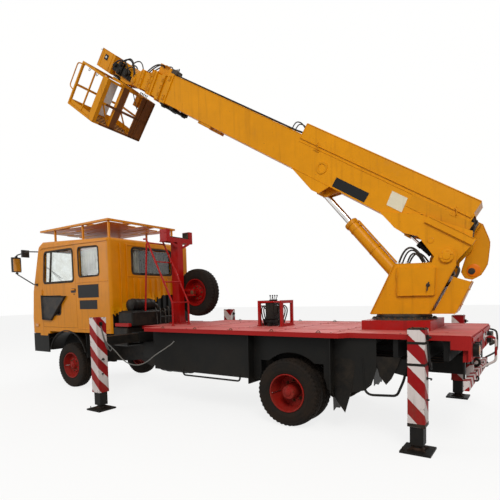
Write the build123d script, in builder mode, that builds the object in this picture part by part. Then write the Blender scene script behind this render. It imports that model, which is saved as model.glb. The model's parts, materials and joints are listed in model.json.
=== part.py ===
from build123d import *
from math import atan2, cos, degrees, hypot, radians, sin
import os

os.makedirs("parts", exist_ok=True)

# Cherry picker truck, millimetres. +X is forward, +Y is the left side, +Z is up.
# The origin is on the ground, at the middle of the overall length and width.

# ---- overall stations, forward of the rear axle ----
WHEELBASE = 5300
NOSE = 6860
TAIL = -2440
R = -(NOSE + TAIL) / 2
F = R + WHEELBASE

# ---- clearances ----
GAP = 5
SEAT = 0.3
PIN_GAP = 0.1

# ---- wheels ----
TYRE_R = 480
TYRE_W = 232
RIM_R = 272
RIM_WALL = 12
HUB_R = 95
FRONT_TRACK = 1840
TWIN_PITCH = 275
REAR_OUTER_Y = 1055
AXLE_R = 45
KINGPIN_Y = 735
KINGPIN_R = 22
LUG_NUTS = 8
LUG_PCD_R = 120

# ---- frame rails ----
RAIL_Y = 380
RAIL_W = 80
RAIL_H = 240
RAIL_WALL = 9
RAIL_BOTTOM = 800
RAIL_TOP = RAIL_BOTTOM + RAIL_H
RAIL_REAR = -2150
RAIL_FRONT = 6430

# ---- deck ----
DECK_TOP = 1340
DECK_PLATE = 12
DECK_EDGE = 60
DECK_FRONT = 2800
DECK_REAR = -2280
DECK_HALF = 1200
DECK_NARROW_HALF = 1060
DECK_STEP = -790
STEP_RUN = 90
BEARER_W = 60

# ---- cab ----
CAB_REAR = 3800
CAB_FRONT = 6560
CAB_HALF = 1095
CAB_WALL = 60
CAB_FLOOR = 1200
CAB_BROW = 2080
ROOF_REAR = 3040
ROOF_FRONT = 3150
ROOF_NOSE = 6080
DOOR_REAR = 4900
DOOR_FRONT = 6060
DOOR_BOTTOM = 1290
DOOR_TOP = 2985
SILL = 2230
GLASS = 6
HINGE_R = 10

# ---- outriggers ----
REACH_OUT = 1850
REACH_IN = 1190
LEG = 190
LEG_TOP = 1420
FRONT_LEG_TOP = 1545
LEG_BOTTOM = 300
LEG_WALL = 8
JACK = 150
PAD = 340
PAD_H = 25
BEAM = 150
BEAM_Z = 1150
SLEEVE_WALL = 10
FRONT_LEG_X = 3200
REAR_LEG_X = -1750
SLEEVE_HALF = 1050

# ---- turret ----
SLEW_X = -1300
SLEW = 4
BASE_TOP = 1470
RING_TOP = 1550
RING_R = 370
TURRET_HALF = 300
TURRET_PLATE = 25
PIVOT_Q = -580
PIVOT_Z = 2300
PIVOT_R = 50

# ---- boom ----
LIFT = 32.5
BOOM_LOW = 110
BOOM_HIGH = 600
BOOM_HALF = 220
BOOM_WALL = 8
BOOM_REAR = 0
BOOM_END = 5780
HOUSING_HIGH = 765
HOUSING_FRONT = 2760
HOUSING_SIDE = 8
SEAM = 540
SECTION_GAP = 14
SECOND_HIGH = 520
SECOND_END = 6200
THIRD_HIGH = 455
THIRD_END = 6500
SECTION_REAR = 350

# ---- lift cylinder ----
LIFT_LUG_S = 2080
LIFT_LUG_T = 0
LIFT_BASE_Q = -20
LIFT_BASE_Z = 1970
BARREL_R = 92
BARREL_LEN = 1225
ROD_R = 48
ROD_LEN = 1290
EYE_PIN_R = 35

# ---- levelling cylinder ----
LEVEL_LUG_S = 620
LEVEL_LUG_T = 30
LEVEL_BASE_Q = -400
LEVEL_BASE_Z = 2320
LEVEL_BARREL_R = 38
LEVEL_BARREL_LEN = 285
LEVEL_ROD_R = 18
LEVEL_PIN_R = 16

# ---- basket ----
HEAD_S = 6700
HEAD_T = 230
BASKET_TILT = 5
BASKET_W = 1240
BASKET_D = 860
BASKET_H = 850
BASKET_TOP = -195
BASKET_REAR = 43
TUBE = 40
POST = 80

# ---- local planes ----
side = Vector(sin(radians(SLEW)), -cos(radians(SLEW)), 0)
ahead = Vector(cos(radians(SLEW)), sin(radians(SLEW)), 0)
slew_centre = Vector(R + SLEW_X, 0, 0)
turret_plane = Plane(origin=slew_centre, x_dir=ahead, z_dir=side)
pivot = slew_centre + ahead * PIVOT_Q + Vector(0, 0, PIVOT_Z)
boom_dir = ahead * cos(radians(LIFT)) + Vector(0, 0, sin(radians(LIFT)))
boom_plane = Plane(origin=pivot, x_dir=boom_dir, z_dir=side)
head_pin = boom_plane.from_local_coords(Vector(HEAD_S, HEAD_T, 0))
basket_lift = radians(LIFT + BASKET_TILT)
basket_dir = ahead * cos(basket_lift) + Vector(0, 0, sin(basket_lift))
basket_plane = Plane(origin=head_pin, x_dir=basket_dir, z_dir=side)
lift_lug = boom_plane.from_local_coords(Vector(LIFT_LUG_S, LIFT_LUG_T, 0))
lift_base = turret_plane.from_local_coords(Vector(LIFT_BASE_Q, LIFT_BASE_Z, 0))
lift_dir = (lift_lug - lift_base).normalized()
lift_length = (lift_lug - lift_base).length
lift_plane = Plane(origin=lift_base, x_dir=lift_dir, z_dir=side)
level_lug = boom_plane.from_local_coords(Vector(LEVEL_LUG_S, LEVEL_LUG_T, 0))
level_base = turret_plane.from_local_coords(Vector(LEVEL_BASE_Q, LEVEL_BASE_Z, 0))
level_dir = (level_lug - level_base).normalized()
level_length = (level_lug - level_base).length
level_plane = Plane(origin=level_base, x_dir=level_dir, z_dir=side)

SIDES = (("left", 1), ("right", -1))

# ======================================================================
# Frame, axles and drive line
# ======================================================================
CROSS_X = (RAIL_REAR + 60, REAR_LEG_X + 420, -700, 700, 1700, 2700, 3560, 6300)

with BuildPart() as chassis_frame:
    with BuildSketch(Plane.YZ.offset(R + RAIL_REAR)) as rails:
        for name, s in SIDES:
            with Locations((s * RAIL_Y, RAIL_BOTTOM + RAIL_H / 2)):
                Rectangle(RAIL_W, RAIL_H)
            with Locations((s * (RAIL_Y - RAIL_WALL), RAIL_BOTTOM + RAIL_H / 2)):
                Rectangle(RAIL_W, RAIL_H - 2 * RAIL_WALL, mode=Mode.SUBTRACT)
    extrude(amount=RAIL_FRONT - RAIL_REAR)
    for x in CROSS_X:
        with Locations((R + x, 0, RAIL_BOTTOM + RAIL_H / 2)):
            Box(70, 2 * RAIL_Y + RAIL_W - 2 * RAIL_WALL, RAIL_H - 90)
    for x, top in ((CAB_REAR + 200, CAB_FLOOR), (F - R + 900, 1150)):
        for name, s in SIDES:
            with Locations((R + x, s * RAIL_Y, (RAIL_TOP + top - SEAT) / 2)):
                Box(120, RAIL_W, top - SEAT - RAIL_TOP)
chassis_frame.part.label = "chassis_frame"
export_step(chassis_frame.part, "parts/chassis_frame.step")

with BuildPart() as engine_block:
    with Locations((F - 250, 0, 955)):
        Box(1050, 2 * RAIL_Y - RAIL_W - 40, 400)
    with Locations((F - 1150, 0, 900)):
        Cylinder(170, 760, rotation=(0, 90, 0))
    for x in (F - 650, F + 150):
        with Locations((x, 0, 960)):
            Box(120, 2 * (RAIL_Y - RAIL_W / 2 - SEAT), 90)
engine_block.part.label = "engine_block"
export_step(engine_block.part, "parts/engine_block.step")

SPRING_W = 75
SPRING_H = 60
with BuildPart() as front_axle:
    with BuildSketch(Plane.XZ.offset(KINGPIN_Y - 70)):
        with Locations((F, TYRE_R - 10)):
            Rectangle(90, 80)
    extrude(amount=-2 * (KINGPIN_Y - 70))
    for name, s in SIDES:
        with Locations((F, s * (KINGPIN_Y - 35), TYRE_R - 10)):
            Box(90, 70 + 2 * KINGPIN_R, 100)
        with Locations((F, s * KINGPIN_Y, TYRE_R - 10)):
            Cylinder(KINGPIN_R + PIN_GAP, 300, mode=Mode.SUBTRACT)
        with Locations((F, s * RAIL_Y, TYRE_R + 30 + SPRING_H / 2)):
            Box(1300, SPRING_W, SPRING_H)
        for dx in (-600, 600):
            with Locations((F + dx, s * RAIL_Y, (TYRE_R + 30 + RAIL_BOTTOM) / 2)):
                Box(90, 40, RAIL_BOTTOM - TYRE_R - 30)
front_axle.part.label = "front_axle"
export_step(front_axle.part, "parts/front_axle.step")

REAR_INNER_Y = REAR_OUTER_Y - TWIN_PITCH
REAR_TUBE_END = REAR_INNER_Y - TYRE_W / 2 + 40
with BuildPart() as rear_axle:
    with BuildSketch(Plane.XZ.offset(REAR_TUBE_END)):
        with Locations((R, TYRE_R)):
            Circle(75)
    extrude(amount=-2 * REAR_TUBE_END)
    with Locations((R, 0, TYRE_R)):
        Sphere(210)
    with BuildSketch(Plane.XZ.offset(REAR_OUTER_Y)):
        with Locations((R, TYRE_R)):
            Circle(AXLE_R)
    extrude(amount=-2 * REAR_OUTER_Y)
    for name, s in SIDES:
        with Locations((R, s * (RAIL_Y + 70), TYRE_R + 100)):
            Box(1400, SPRING_W, 100)
        for dx in (-640, 640):
            with Locations((R + dx, s * (RAIL_Y + RAIL_W / 2 + 30 + SEAT), RAIL_BOTTOM - 60)):
                Box(80, 60, 260)
rear_axle.part.label = "rear_axle"
export_step(rear_axle.part, "parts/rear_axle.step")

SHAFT_R = 55
SHAFT_TOP = F - 1530
with BuildPart() as drive_shaft:
    with BuildSketch(Plane.YZ.offset(R + 210 + SEAT)):
        with Locations((0, TYRE_R)):
            Circle(90)
    with BuildSketch(Plane.YZ.offset(R + 330)):
        with Locations((0, TYRE_R + 15)):
            Circle(SHAFT_R)
    with BuildSketch(Plane.YZ.offset(SHAFT_TOP - 100)):
        with Locations((0, 775)):
            Circle(SHAFT_R)
    with BuildSketch(Plane.YZ.offset(SHAFT_TOP - SEAT)):
        with Locations((0, 775)):
            Circle(90)
    loft(ruled=True)
drive_shaft.part.label = "drive_shaft"
export_step(drive_shaft.part, "parts/drive_shaft.step")


def rim_section(face, s, hub_out, hub_in):
    """Half-section of a dished disc wheel and its hub, beside the axle line."""
    lip = face - s * 25
    back = face - s * (TYRE_W - 25)
    disc = face - s * 118
    with BuildSketch(Plane.YZ) as section:
        with BuildLine():
            Polyline(
                (lip, RIM_R), (lip, RIM_R - RIM_WALL), (disc + s * 30, RIM_R - 36),
                (disc, RIM_R - 45), (disc, LUG_PCD_R + 50), (disc + s * 28, LUG_PCD_R + 28),
                (disc + s * 28, HUB_R), (hub_out, HUB_R - 18), (hub_out, AXLE_R + PIN_GAP),
                (hub_in, AXLE_R + PIN_GAP), (hub_in, HUB_R), (disc - s * 14, HUB_R),
                (disc - s * 14, RIM_R - 60), (back, RIM_R - 30), (back, RIM_R), (lip, RIM_R),
            )
        make_face()
    return section.sketch


def twin_section(s, outer, inner):
    """Half-section of the shared hub and both rims of a twin wheel."""
    lip = s * (outer - 25)
    web = s * (REAR_OUTER_Y - TWIN_PITCH / 2)
    with BuildSketch(Plane.YZ) as section:
        with BuildLine():
            Polyline(
                (lip, RIM_R), (lip, RIM_R - RIM_WALL), (web + s * 60, RIM_R - 40),
                (web + s * 12, RIM_R - 50), (web + s * 12, HUB_R + 20), (s * (outer - 70), HUB_R),
                (s * (outer - 70), AXLE_R + PIN_GAP), (s * (REAR_TUBE_END + 5), AXLE_R + PIN_GAP),
                (s * (REAR_TUBE_END + 5), HUB_R + 20), (web - s * 12, HUB_R + 20),
                (web - s * 12, RIM_R - 50), (s * (inner - TYRE_W + 40), RIM_R - 30),
                (s * (inner - TYRE_W + 25), RIM_R), (lip, RIM_R),
            )
        make_face()
    return section.sketch


def tyre_section(face, s):
    """Half-section of one tyre: beads, sidewalls, shoulders and crown."""
    mid = face - s * TYRE_W / 2
    half = TYRE_W / 2
    with BuildSketch(Plane.YZ) as section:
        with BuildLine():
            Polyline(
                (mid - half + 22, RIM_R + SEAT), (mid - half, RIM_R + 60), (mid - half, TYRE_R - 60),
                (mid - half + 25, TYRE_R - 14), (mid, TYRE_R), (mid + half - 25, TYRE_R - 14),
                (mid + half, TYRE_R - 60), (mid + half, RIM_R + 60), (mid + half - 22, RIM_R + SEAT),
                (mid - half + 22, RIM_R + SEAT),
            )
        make_face()
    return section.sketch


# Steering knuckles with kingpins, stub axles and brake drums
DRUM_R = 200
FRONT_FACE = FRONT_TRACK / 2 + TYRE_W / 2
for name, s in SIDES:
    with BuildPart() as knuckle:
        with BuildSketch(Plane.XY.offset(-105)):
            with Locations((0, s * KINGPIN_Y)):
                Circle(KINGPIN_R)
        extrude(amount=210)
        for z in (-85, 85):
            with Locations((0, s * (KINGPIN_Y + 25), z)):
                Box(90, 100, 40)
        with Locations((0, s * (KINGPIN_Y + 62), 0)):
            Box(110, 30, 210)
        with BuildSketch(Plane.XZ.offset(-s * (KINGPIN_Y + 70))):
            Circle(AXLE_R)
        extrude(amount=-s * (FRONT_FACE - 60 - KINGPIN_Y - 70))
    body = Pos(F, 0, TYRE_R) * knuckle.part
    body.label = f"knuckle_{name}"
    export_step(body, f"parts/knuckle_{name}.step")

    with BuildPart() as rim:
        revolve(rim_section(s * FRONT_FACE, s, s * (FRONT_FACE - 45), s * (KINGPIN_Y + 90)), Axis.Y)
        with BuildSketch(Plane.XZ.offset(-s * (FRONT_FACE - 90))):
            with PolarLocations(LUG_PCD_R, LUG_NUTS):
                Circle(14)
        extrude(amount=s * 14)
    body = Pos(F, 0, TYRE_R) * rim.part
    body.label = f"front_rim_{name}"
    export_step(body, f"parts/front_rim_{name}.step")

    with BuildPart() as tyre:
        revolve(tyre_section(s * FRONT_FACE, s), Axis.Y)
    body = Pos(F, 0, TYRE_R) * tyre.part
    body.label = f"front_tyre_{name}"
    export_step(body, f"parts/front_tyre_{name}.step")

    outer = REAR_OUTER_Y + TYRE_W / 2
    inner = REAR_INNER_Y + TYRE_W / 2
    with BuildPart() as twin_rim:
        revolve(twin_section(s, outer, inner), Axis.Y)
        with BuildSketch(Plane.XZ.offset(-s * (REAR_OUTER_Y - TWIN_PITCH / 2 + 11))):
            with PolarLocations(LUG_PCD_R + 25, LUG_NUTS):
                Circle(14)
        extrude(amount=-s * 25)
    body = Pos(R, 0, TYRE_R) * twin_rim.part
    body.label = f"rear_rim_{name}"
    export_step(body, f"parts/rear_rim_{name}.step")

    with BuildPart() as twin_tyre:
        revolve(tyre_section(s * outer, s), Axis.Y)
        revolve(tyre_section(s * inner, s), Axis.Y)
    body = Pos(R, 0, TYRE_R) * twin_tyre.part
    body.label = f"rear_tyre_{name}"
    export_step(body, f"parts/rear_tyre_{name}.step")

# ======================================================================
# Cab
# ======================================================================
CAB_SIDE = (
    (CAB_REAR, CAB_FLOOR), (CAB_REAR, ROOF_REAR), (ROOF_NOSE, ROOF_FRONT), (ROOF_NOSE + 110, ROOF_FRONT - 60),
    (CAB_FRONT - 60, CAB_BROW), (CAB_FRONT, 1500), (CAB_FRONT, 1150), (F - R + 620, 1150),
    (F - R + 620, CAB_FLOOR), (CAB_REAR, CAB_FLOOR),
)
CAB_INSIDE = (
    (CAB_REAR + CAB_WALL, CAB_FLOOR + CAB_WALL), (CAB_REAR + CAB_WALL, ROOF_REAR - CAB_WALL),
    (ROOF_NOSE - 15, ROOF_FRONT - CAB_WALL), (ROOF_NOSE + 55, ROOF_FRONT - 60 - CAB_WALL),
    (CAB_FRONT - 60 - CAB_WALL, CAB_BROW), (CAB_FRONT - CAB_WALL, 1500),
    (CAB_FRONT - CAB_WALL, CAB_FLOOR + CAB_WALL), (CAB_REAR + CAB_WALL, CAB_FLOOR + CAB_WALL),
)
DOOR_HOLE = (
    (DOOR_REAR, DOOR_BOTTOM), (DOOR_REAR, DOOR_TOP), (DOOR_FRONT - 20, DOOR_TOP),
    (DOOR_FRONT + 90, SILL), (DOOR_FRONT + 90, 1750), (DOOR_FRONT + 90, DOOR_BOTTOM),
)
HINGE_X = DOOR_FRONT + 90
HINGE_Y = CAB_HALF + HINGE_R
HINGE_Z = (1500, 2050)
HINGE_HALF = 32
QUARTER = ((4130, 2330), (4130, 2900), (4780, 2920), (4780, 2330))


def side_face(points, y, dx=0):
    """Closed outline in the XZ plane at height y, measured from the rear axle."""
    with BuildSketch(Plane.XZ.offset(-y)) as outline:
        with BuildLine():
            Polyline(*[(R + dx + x, z) for x, z in points], close=True)
        make_face()
    return outline.sketch


with BuildPart() as cab_shell:
    extrude(side_face(CAB_SIDE, CAB_HALF), amount=2 * CAB_HALF)
    fillet(cab_shell.edges().filter_by(Axis.Z).group_by(Axis.X)[0], 60)
    roof_sides = [e for e in cab_shell.edges() if e.center().Z > ROOF_REAR - 20 and abs(e.center().Y) > CAB_HALF - 5]
    fillet(roof_sides, 60)
    extrude(side_face(CAB_INSIDE, CAB_HALF - CAB_WALL), amount=2 * (CAB_HALF - CAB_WALL), mode=Mode.SUBTRACT)
    extrude(side_face(DOOR_HOLE, CAB_HALF + 20), amount=2 * CAB_HALF + 40, mode=Mode.SUBTRACT)
    extrude(side_face(QUARTER, CAB_HALF + 20), amount=2 * CAB_HALF + 40, mode=Mode.SUBTRACT)
    for name, s in SIDES:
        for z in HINGE_Z:
            for dz in (-1, 1):
                with Locations((R + HINGE_X, s * HINGE_Y, z + dz * (HINGE_HALF + SEAT + 12))):
                    Cylinder(HINGE_R, 24)
                with Locations((R + HINGE_X + 30, s * (CAB_HALF + 4), z + dz * (HINGE_HALF + SEAT + 12))):
                    Box(60, 8, 24)
                with Locations((R + HINGE_X + 30, s * (CAB_HALF + 1), z + dz * (HINGE_HALF + SEAT + 12))):
                    Box(20, 12, 24)
    with Locations((R + CAB_REAR + CAB_WALL / 2, 0, 2620)):
        Box(CAB_WALL + 20, 1100, 520, mode=Mode.SUBTRACT)
    with Locations((R + (ROOF_NOSE + CAB_FRONT) / 2 + 20, 0, 2600)):
        Box(700, 2 * CAB_HALF - 260, 760, mode=Mode.SUBTRACT)
cab_shell.part.label = "cab_shell"
export_step(cab_shell.part, "parts/cab_shell.step")

with BuildPart() as cab_glass:
    extrude(side_face(
        ((4130 + SEAT, 2330 + SEAT), (4130 + SEAT, 2900 - SEAT), (4780 - SEAT, 2920 - SEAT),
         (4780 - SEAT, 2330 + SEAT)), CAB_HALF - 25), amount=GLASS)
    extrude(side_face(
        ((4130 + SEAT, 2330 + SEAT), (4130 + SEAT, 2900 - SEAT), (4780 - SEAT, 2920 - SEAT),
         (4780 - SEAT, 2330 + SEAT)), -(CAB_HALF - 25 - GLASS)), amount=GLASS)
    with Locations((R + CAB_REAR + CAB_WALL / 2, 0, 2620)):
        Box(GLASS, 1100 - 2 * SEAT, 520 - 2 * SEAT)
    extrude(side_face(
        ((6187, 2980 - SEAT), (6193, 2980 - SEAT), (6431, 2220 + SEAT), (6425, 2220 + SEAT)),
        CAB_HALF - 130 - SEAT), amount=2 * (CAB_HALF - 130 - SEAT))
cab_glass.part.label = "cab_glass"
export_step(cab_glass.part, "parts/cab_glass.step")

SEAT_Y = 480
CAB_DECK = CAB_FLOOR + CAB_WALL
with BuildPart() as cab_seats:
    for y, w in ((-SEAT_Y, 500), (SEAT_Y, 500), (0, 380)):
        with Locations((R + 5000, y, CAB_DECK + SEAT + 210)):
            Box(500, w, 420)
        with Locations((R + 4790, y, CAB_DECK + 700)):
            Box(110, w, 620)
        with Locations((R + 4790, y, CAB_DECK + 1099)):
            Box(90, 240, 180)
cab_seats.part.label = "cab_seats"
export_step(cab_seats.part, "parts/cab_seats.step")

with BuildPart() as dashboard:
    extrude(side_face(
        ((6240, CAB_DECK + 480), (6150, CAB_DECK + 620), (6180, CAB_DECK + 800), (6380, CAB_DECK + 840),
         (CAB_FRONT - CAB_WALL - 75, CAB_DECK + 760), (CAB_FRONT - CAB_WALL - 25, CAB_DECK + 300),
         (6380, CAB_DECK + 300)), CAB_HALF - CAB_WALL - SEAT), amount=2 * (CAB_HALF - CAB_WALL - SEAT))
    column = Plane(origin=(R + 5960, -SEAT_Y, CAB_DECK + 830), z_dir=(0.62, 0, -0.78))
    with BuildSketch(column):
        Circle(26)
    extrude(amount=480)
    with BuildSketch(column):
        Circle(215)
        Circle(193, mode=Mode.SUBTRACT)
        Rectangle(30, 400)
    extrude(amount=22)
dashboard.part.label = "dashboard"
export_step(dashboard.part, "parts/dashboard.step")

BUMPER_LOW = 735
BUMPER_HIGH = 1140
BUMPER_FRONT = 6700
with BuildPart() as front_bumper:
    with BuildSketch(Plane.XY.offset(BUMPER_LOW)):
        with BuildLine():
            Polyline(
                (R + 5980, CAB_HALF), (R + BUMPER_FRONT - 130, CAB_HALF), (R + BUMPER_FRONT, CAB_HALF - 190),
                (R + BUMPER_FRONT, -CAB_HALF + 190), (R + BUMPER_FRONT - 130, -CAB_HALF), (R + 5980, -CAB_HALF),
                (R + 5980, -CAB_HALF + 25), (R + BUMPER_FRONT - 170, -CAB_HALF + 25),
                (R + BUMPER_FRONT - 60, -CAB_HALF + 220), (R + BUMPER_FRONT - 60, CAB_HALF - 220),
                (R + BUMPER_FRONT - 170, CAB_HALF - 25), (R + 5980, CAB_HALF - 25), close=True)
        make_face()
    extrude(amount=BUMPER_HIGH - BUMPER_LOW)
    for name, s in SIDES:
        with Locations((R + (RAIL_FRONT + BUMPER_FRONT - 60) / 2 + SEAT, s * RAIL_Y, 920)):
            Box(BUMPER_FRONT - 60 - RAIL_FRONT, 70, 160)
        with Locations((R + BUMPER_FRONT, s * 760, 900)):
            Box(60, 330, 190, mode=Mode.SUBTRACT)
        with Locations((R + 6100, s * (CAB_HALF - 110), 800)):
            Box(240, 200, 30)
front_bumper.part.label = "front_bumper"
export_step(front_bumper.part, "parts/front_bumper.step")

TAIL_BAR_X = -2230
TAIL_BAR_Z = 780
with BuildPart() as lamps:
    for name, s in SIDES:
        with Locations((R + BUMPER_FRONT - 30 + 12, s * 760, 900)):
            Box(24 - SEAT, 330 - 4, 190 - 4)
        for y in (880, 700):
            with Locations((R + DECK_REAR - 30 - SEAT, s * y, 1170)):
                Cylinder(70, 60, rotation=(0, 90, 0))
lamps.part.label = "lamps"
export_step(lamps.part, "parts/lamps.step")

# Doors hang on vertical pins at the front edge
DOOR_T = CAB_WALL
DOOR_IN = (
    (DOOR_REAR + GAP, DOOR_BOTTOM + GAP), (DOOR_REAR + GAP, DOOR_TOP - GAP),
    (DOOR_FRONT - 20 - GAP, DOOR_TOP - GAP), (DOOR_FRONT + 90 - GAP, SILL),
    (DOOR_FRONT + 90 - GAP, DOOR_BOTTOM + GAP),
)
WINDOW = (
    (DOOR_REAR + 70, SILL + 20), (DOOR_REAR + 70, DOOR_TOP - 70), (DOOR_FRONT - 70, DOOR_TOP - 70),
    (DOOR_FRONT + 10, SILL + 20),
)
LOW_WINDOW = ((5480, 1560), (5420, 1960), (6060, 1960), (6060, 1560))
for name, s in SIDES:
    start = s * CAB_HALF
    with BuildPart() as door:
        extrude(side_face(DOOR_IN, start), amount=s * DOOR_T)
        extrude(side_face(WINDOW, start + s), amount=s * (DOOR_T + 2), mode=Mode.SUBTRACT)
        extrude(side_face(LOW_WINDOW, start + s), amount=s * (DOOR_T + 2), mode=Mode.SUBTRACT)
        for z in HINGE_Z:
            with Locations((R + HINGE_X, s * HINGE_Y, z)):
                Cylinder(HINGE_R, 2 * HINGE_HALF)
            with Locations((R + HINGE_X - 20, s * (CAB_HALF + 4), z)):
                Box(40, 8, 2 * HINGE_HALF)
        with Locations((R + DOOR_REAR + 95, s * (CAB_HALF + 22), 2080)):
            Box(130, 14, 30)
        for dx in (-55, 55):
            with Locations((R + DOOR_REAR + 95 + dx, s * (CAB_HALF + 10), 2080)):
                Box(18, 20, 26)
    door.part.label = f"door_{name}"
    export_step(door.part, f"parts/door_{name}.step")
    with BuildPart() as door_glass:
        extrude(side_face(WINDOW, start - s * 25), amount=s * GLASS)
        extrude(side_face(LOW_WINDOW, start - s * 25), amount=s * GLASS)
    door_glass.part.label = f"door_glass_{name}"
    export_step(door_glass.part, f"parts/door_glass_{name}.step")

MIRROR_Y = 1290
MIRROR_X = NOSE - 60
ARM_ROOT = CAB_FRONT - 298
ARM_RUN = MIRROR_X - ARM_ROOT
with BuildPart() as mirrors:
    for name, s in SIDES:
        arm = ((ARM_ROOT, 980, 2960), (ARM_ROOT + 0.2937 * ARM_RUN, 1230, 2960), (MIRROR_X, MIRROR_Y, 2900),
               (MIRROR_X, MIRROR_Y, 2480), (ARM_ROOT + 68 + 0.0558 * ARM_RUN, 1150, 2230),
               (ARM_ROOT + 68, CAB_HALF + 14, 2230))
        with BuildLine() as arm_line:
            FilletPolyline(*[(R + x, s * y, z) for x, y, z in arm], radius=60)
        with BuildSketch(Plane(origin=arm_line.line @ 0, z_dir=arm_line.line % 0)) as arm_tube:
            Circle(13)
        add(sweep(arm_tube.sketch, arm_line.line, mode=Mode.PRIVATE))
        with Locations((R + ARM_ROOT + 68, s * (CAB_HALF + SEAT + 9), 2230)):
            Box(50, 18, 50)
        with Locations((R + MIRROR_X, s * (MIRROR_Y + 10), 2690)):
            Box(60, 190, 330)
        with Locations((R + ARM_ROOT + 0.5539 * ARM_RUN, s * (MIRROR_Y - 80), 2925)):
            Box(50, 160, 160)
mirrors.part.label = "mirrors"
export_step(mirrors.part, "parts/mirrors.step")

# Roof rack: boards on hoops above the roof
RACK_TOP = 3440
RACK_REAR = 4010
RACK_FRONT = 6400
RACK_HALF = 930
with BuildPart() as roof_rack:
    for y in (-RACK_HALF + 30, -330, 330, RACK_HALF - 30):
        with Locations((R + (RACK_REAR + RACK_FRONT) / 2, y, RACK_TOP - 20)):
            Box(RACK_FRONT - RACK_REAR, 60, 40)
    for x in (RACK_REAR + 30, 4800, 5600, RACK_FRONT - 30):
        with Locations((R + x, 0, RACK_TOP - 20)):
            Box(60, 2 * RACK_HALF, 40)
    for x in (RACK_REAR + 60, 4900, 5900):
        roof = ROOF_REAR + (ROOF_FRONT - ROOF_REAR) * (x + 18 - CAB_REAR) / (ROOF_NOSE - CAB_REAR) + SEAT
        for name, s in SIDES:
            with Locations((R + x, s * (RACK_HALF - 60), (RACK_TOP - 20 + roof) / 2)):
                Box(36, 36, RACK_TOP - 20 - roof)
roof_rack.part.label = "roof_rack"
export_step(roof_rack.part, "parts/roof_rack.step")

# ======================================================================
# Deck and what stands on it
# ======================================================================
TREAD_HALF = 740
DECK_LINE = (
    (DECK_REAR, DECK_NARROW_HALF), (DECK_STEP - STEP_RUN, DECK_NARROW_HALF), (DECK_STEP, DECK_HALF),
    (DECK_FRONT, DECK_HALF), (DECK_FRONT, TREAD_HALF), (CAB_REAR - 40, TREAD_HALF),
)
DECK_EDGES = [(R + x, y) for x, y in DECK_LINE] + [(R + x, -y) for x, y in reversed(DECK_LINE)]
BEARER_X = (DECK_REAR + 60, -2020, -1450, -700, 100, 900, 1700, 2500, DECK_FRONT - 40, CAB_REAR - 80)
with BuildPart() as deck:
    with BuildSketch(Plane.XY.offset(DECK_TOP - DECK_EDGE)):
        with BuildLine():
            Polyline(*DECK_EDGES, close=True)
        make_face()
    extrude(amount=DECK_EDGE)
    with BuildSketch(Plane.XY.offset(DECK_TOP - DECK_EDGE)):
        with BuildLine():
            Polyline(*DECK_EDGES, close=True)
        make_face()
        offset(amount=-40, kind=Kind.INTERSECTION)
    extrude(amount=DECK_EDGE - DECK_PLATE, mode=Mode.SUBTRACT)
    for x in BEARER_X:
        half = TREAD_HALF - 60 if x > DECK_FRONT else DECK_NARROW_HALF - 60
        with Locations((R + x, 0, (DECK_TOP - DECK_PLATE + RAIL_TOP) / 2)):
            Box(BEARER_W, 2 * half, DECK_TOP - DECK_PLATE - RAIL_TOP)
    with Locations((R + DECK_REAR + 15, 0, 1180)):
        Box(30, 2 * DECK_NARROW_HALF, 240)
    for name, s in SIDES:
        with Locations((R + DECK_REAR + 110, s * (DECK_NARROW_HALF - 15), 1235)):
            Box(220, 30, 110)
deck.part.label = "deck"
export_step(deck.part, "parts/deck.step")

STAND_Y = 90
STAND_W = 390
with BuildPart() as deck_stand:
    for x in (560, 990):
        with BuildSketch(Plane.YZ.offset(R + x - 20)):
            with Locations((STAND_Y, DECK_TOP + 215)):
                Rectangle(STAND_W, 430)
                Rectangle(STAND_W - 100, 330, mode=Mode.SUBTRACT)
        extrude(amount=40)
    for s in (-1, 1):
        with Locations((R + 775, STAND_Y + s * (STAND_W / 2 - 25), DECK_TOP + 405)):
            Cylinder(14, 430, rotation=(0, 90, 0))
deck_stand.part.label = "deck_stand"
export_step(deck_stand.part, "parts/deck_stand.step")

REST_X = 3090
REST_TOP = 3040
REST_BAR = 90
REST_HALF = 370
POST_X = 180
POST_Y = 150
EAR_W = 100
EAR_H = 150
with BuildPart() as boom_rest:
    with Locations((R + REST_X, 0, (DECK_TOP + REST_TOP) / 2)):
        Box(POST_X, POST_Y, REST_TOP - DECK_TOP)
    with Locations((R + REST_X, 0, REST_TOP - REST_BAR / 2)):
        Box(POST_X, 2 * REST_HALF, REST_BAR)
    for s in (-1, 1):
        with Locations((R + REST_X, s * (REST_HALF - EAR_W / 2), REST_TOP + EAR_H / 2)):
            Box(POST_X, EAR_W, EAR_H)
    with Locations((R + REST_X, 0, DECK_TOP + 10)):
        Box(POST_X + 140, POST_Y + 130, 20)
boom_rest.part.label = "boom_rest"
export_step(boom_rest.part, "parts/boom_rest.step")

SPARE_X = 2790
SPARE_Y = -266
SPARE_Z = 1957
with BuildPart() as spare_tyre:
    revolve(tyre_section(TYRE_W / 2, 1), Axis.Y)
body = Pos(R + SPARE_X, SPARE_Y, SPARE_Z) * spare_tyre.part
body.label = "spare_tyre"
export_step(body, "parts/spare_tyre.step")

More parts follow.
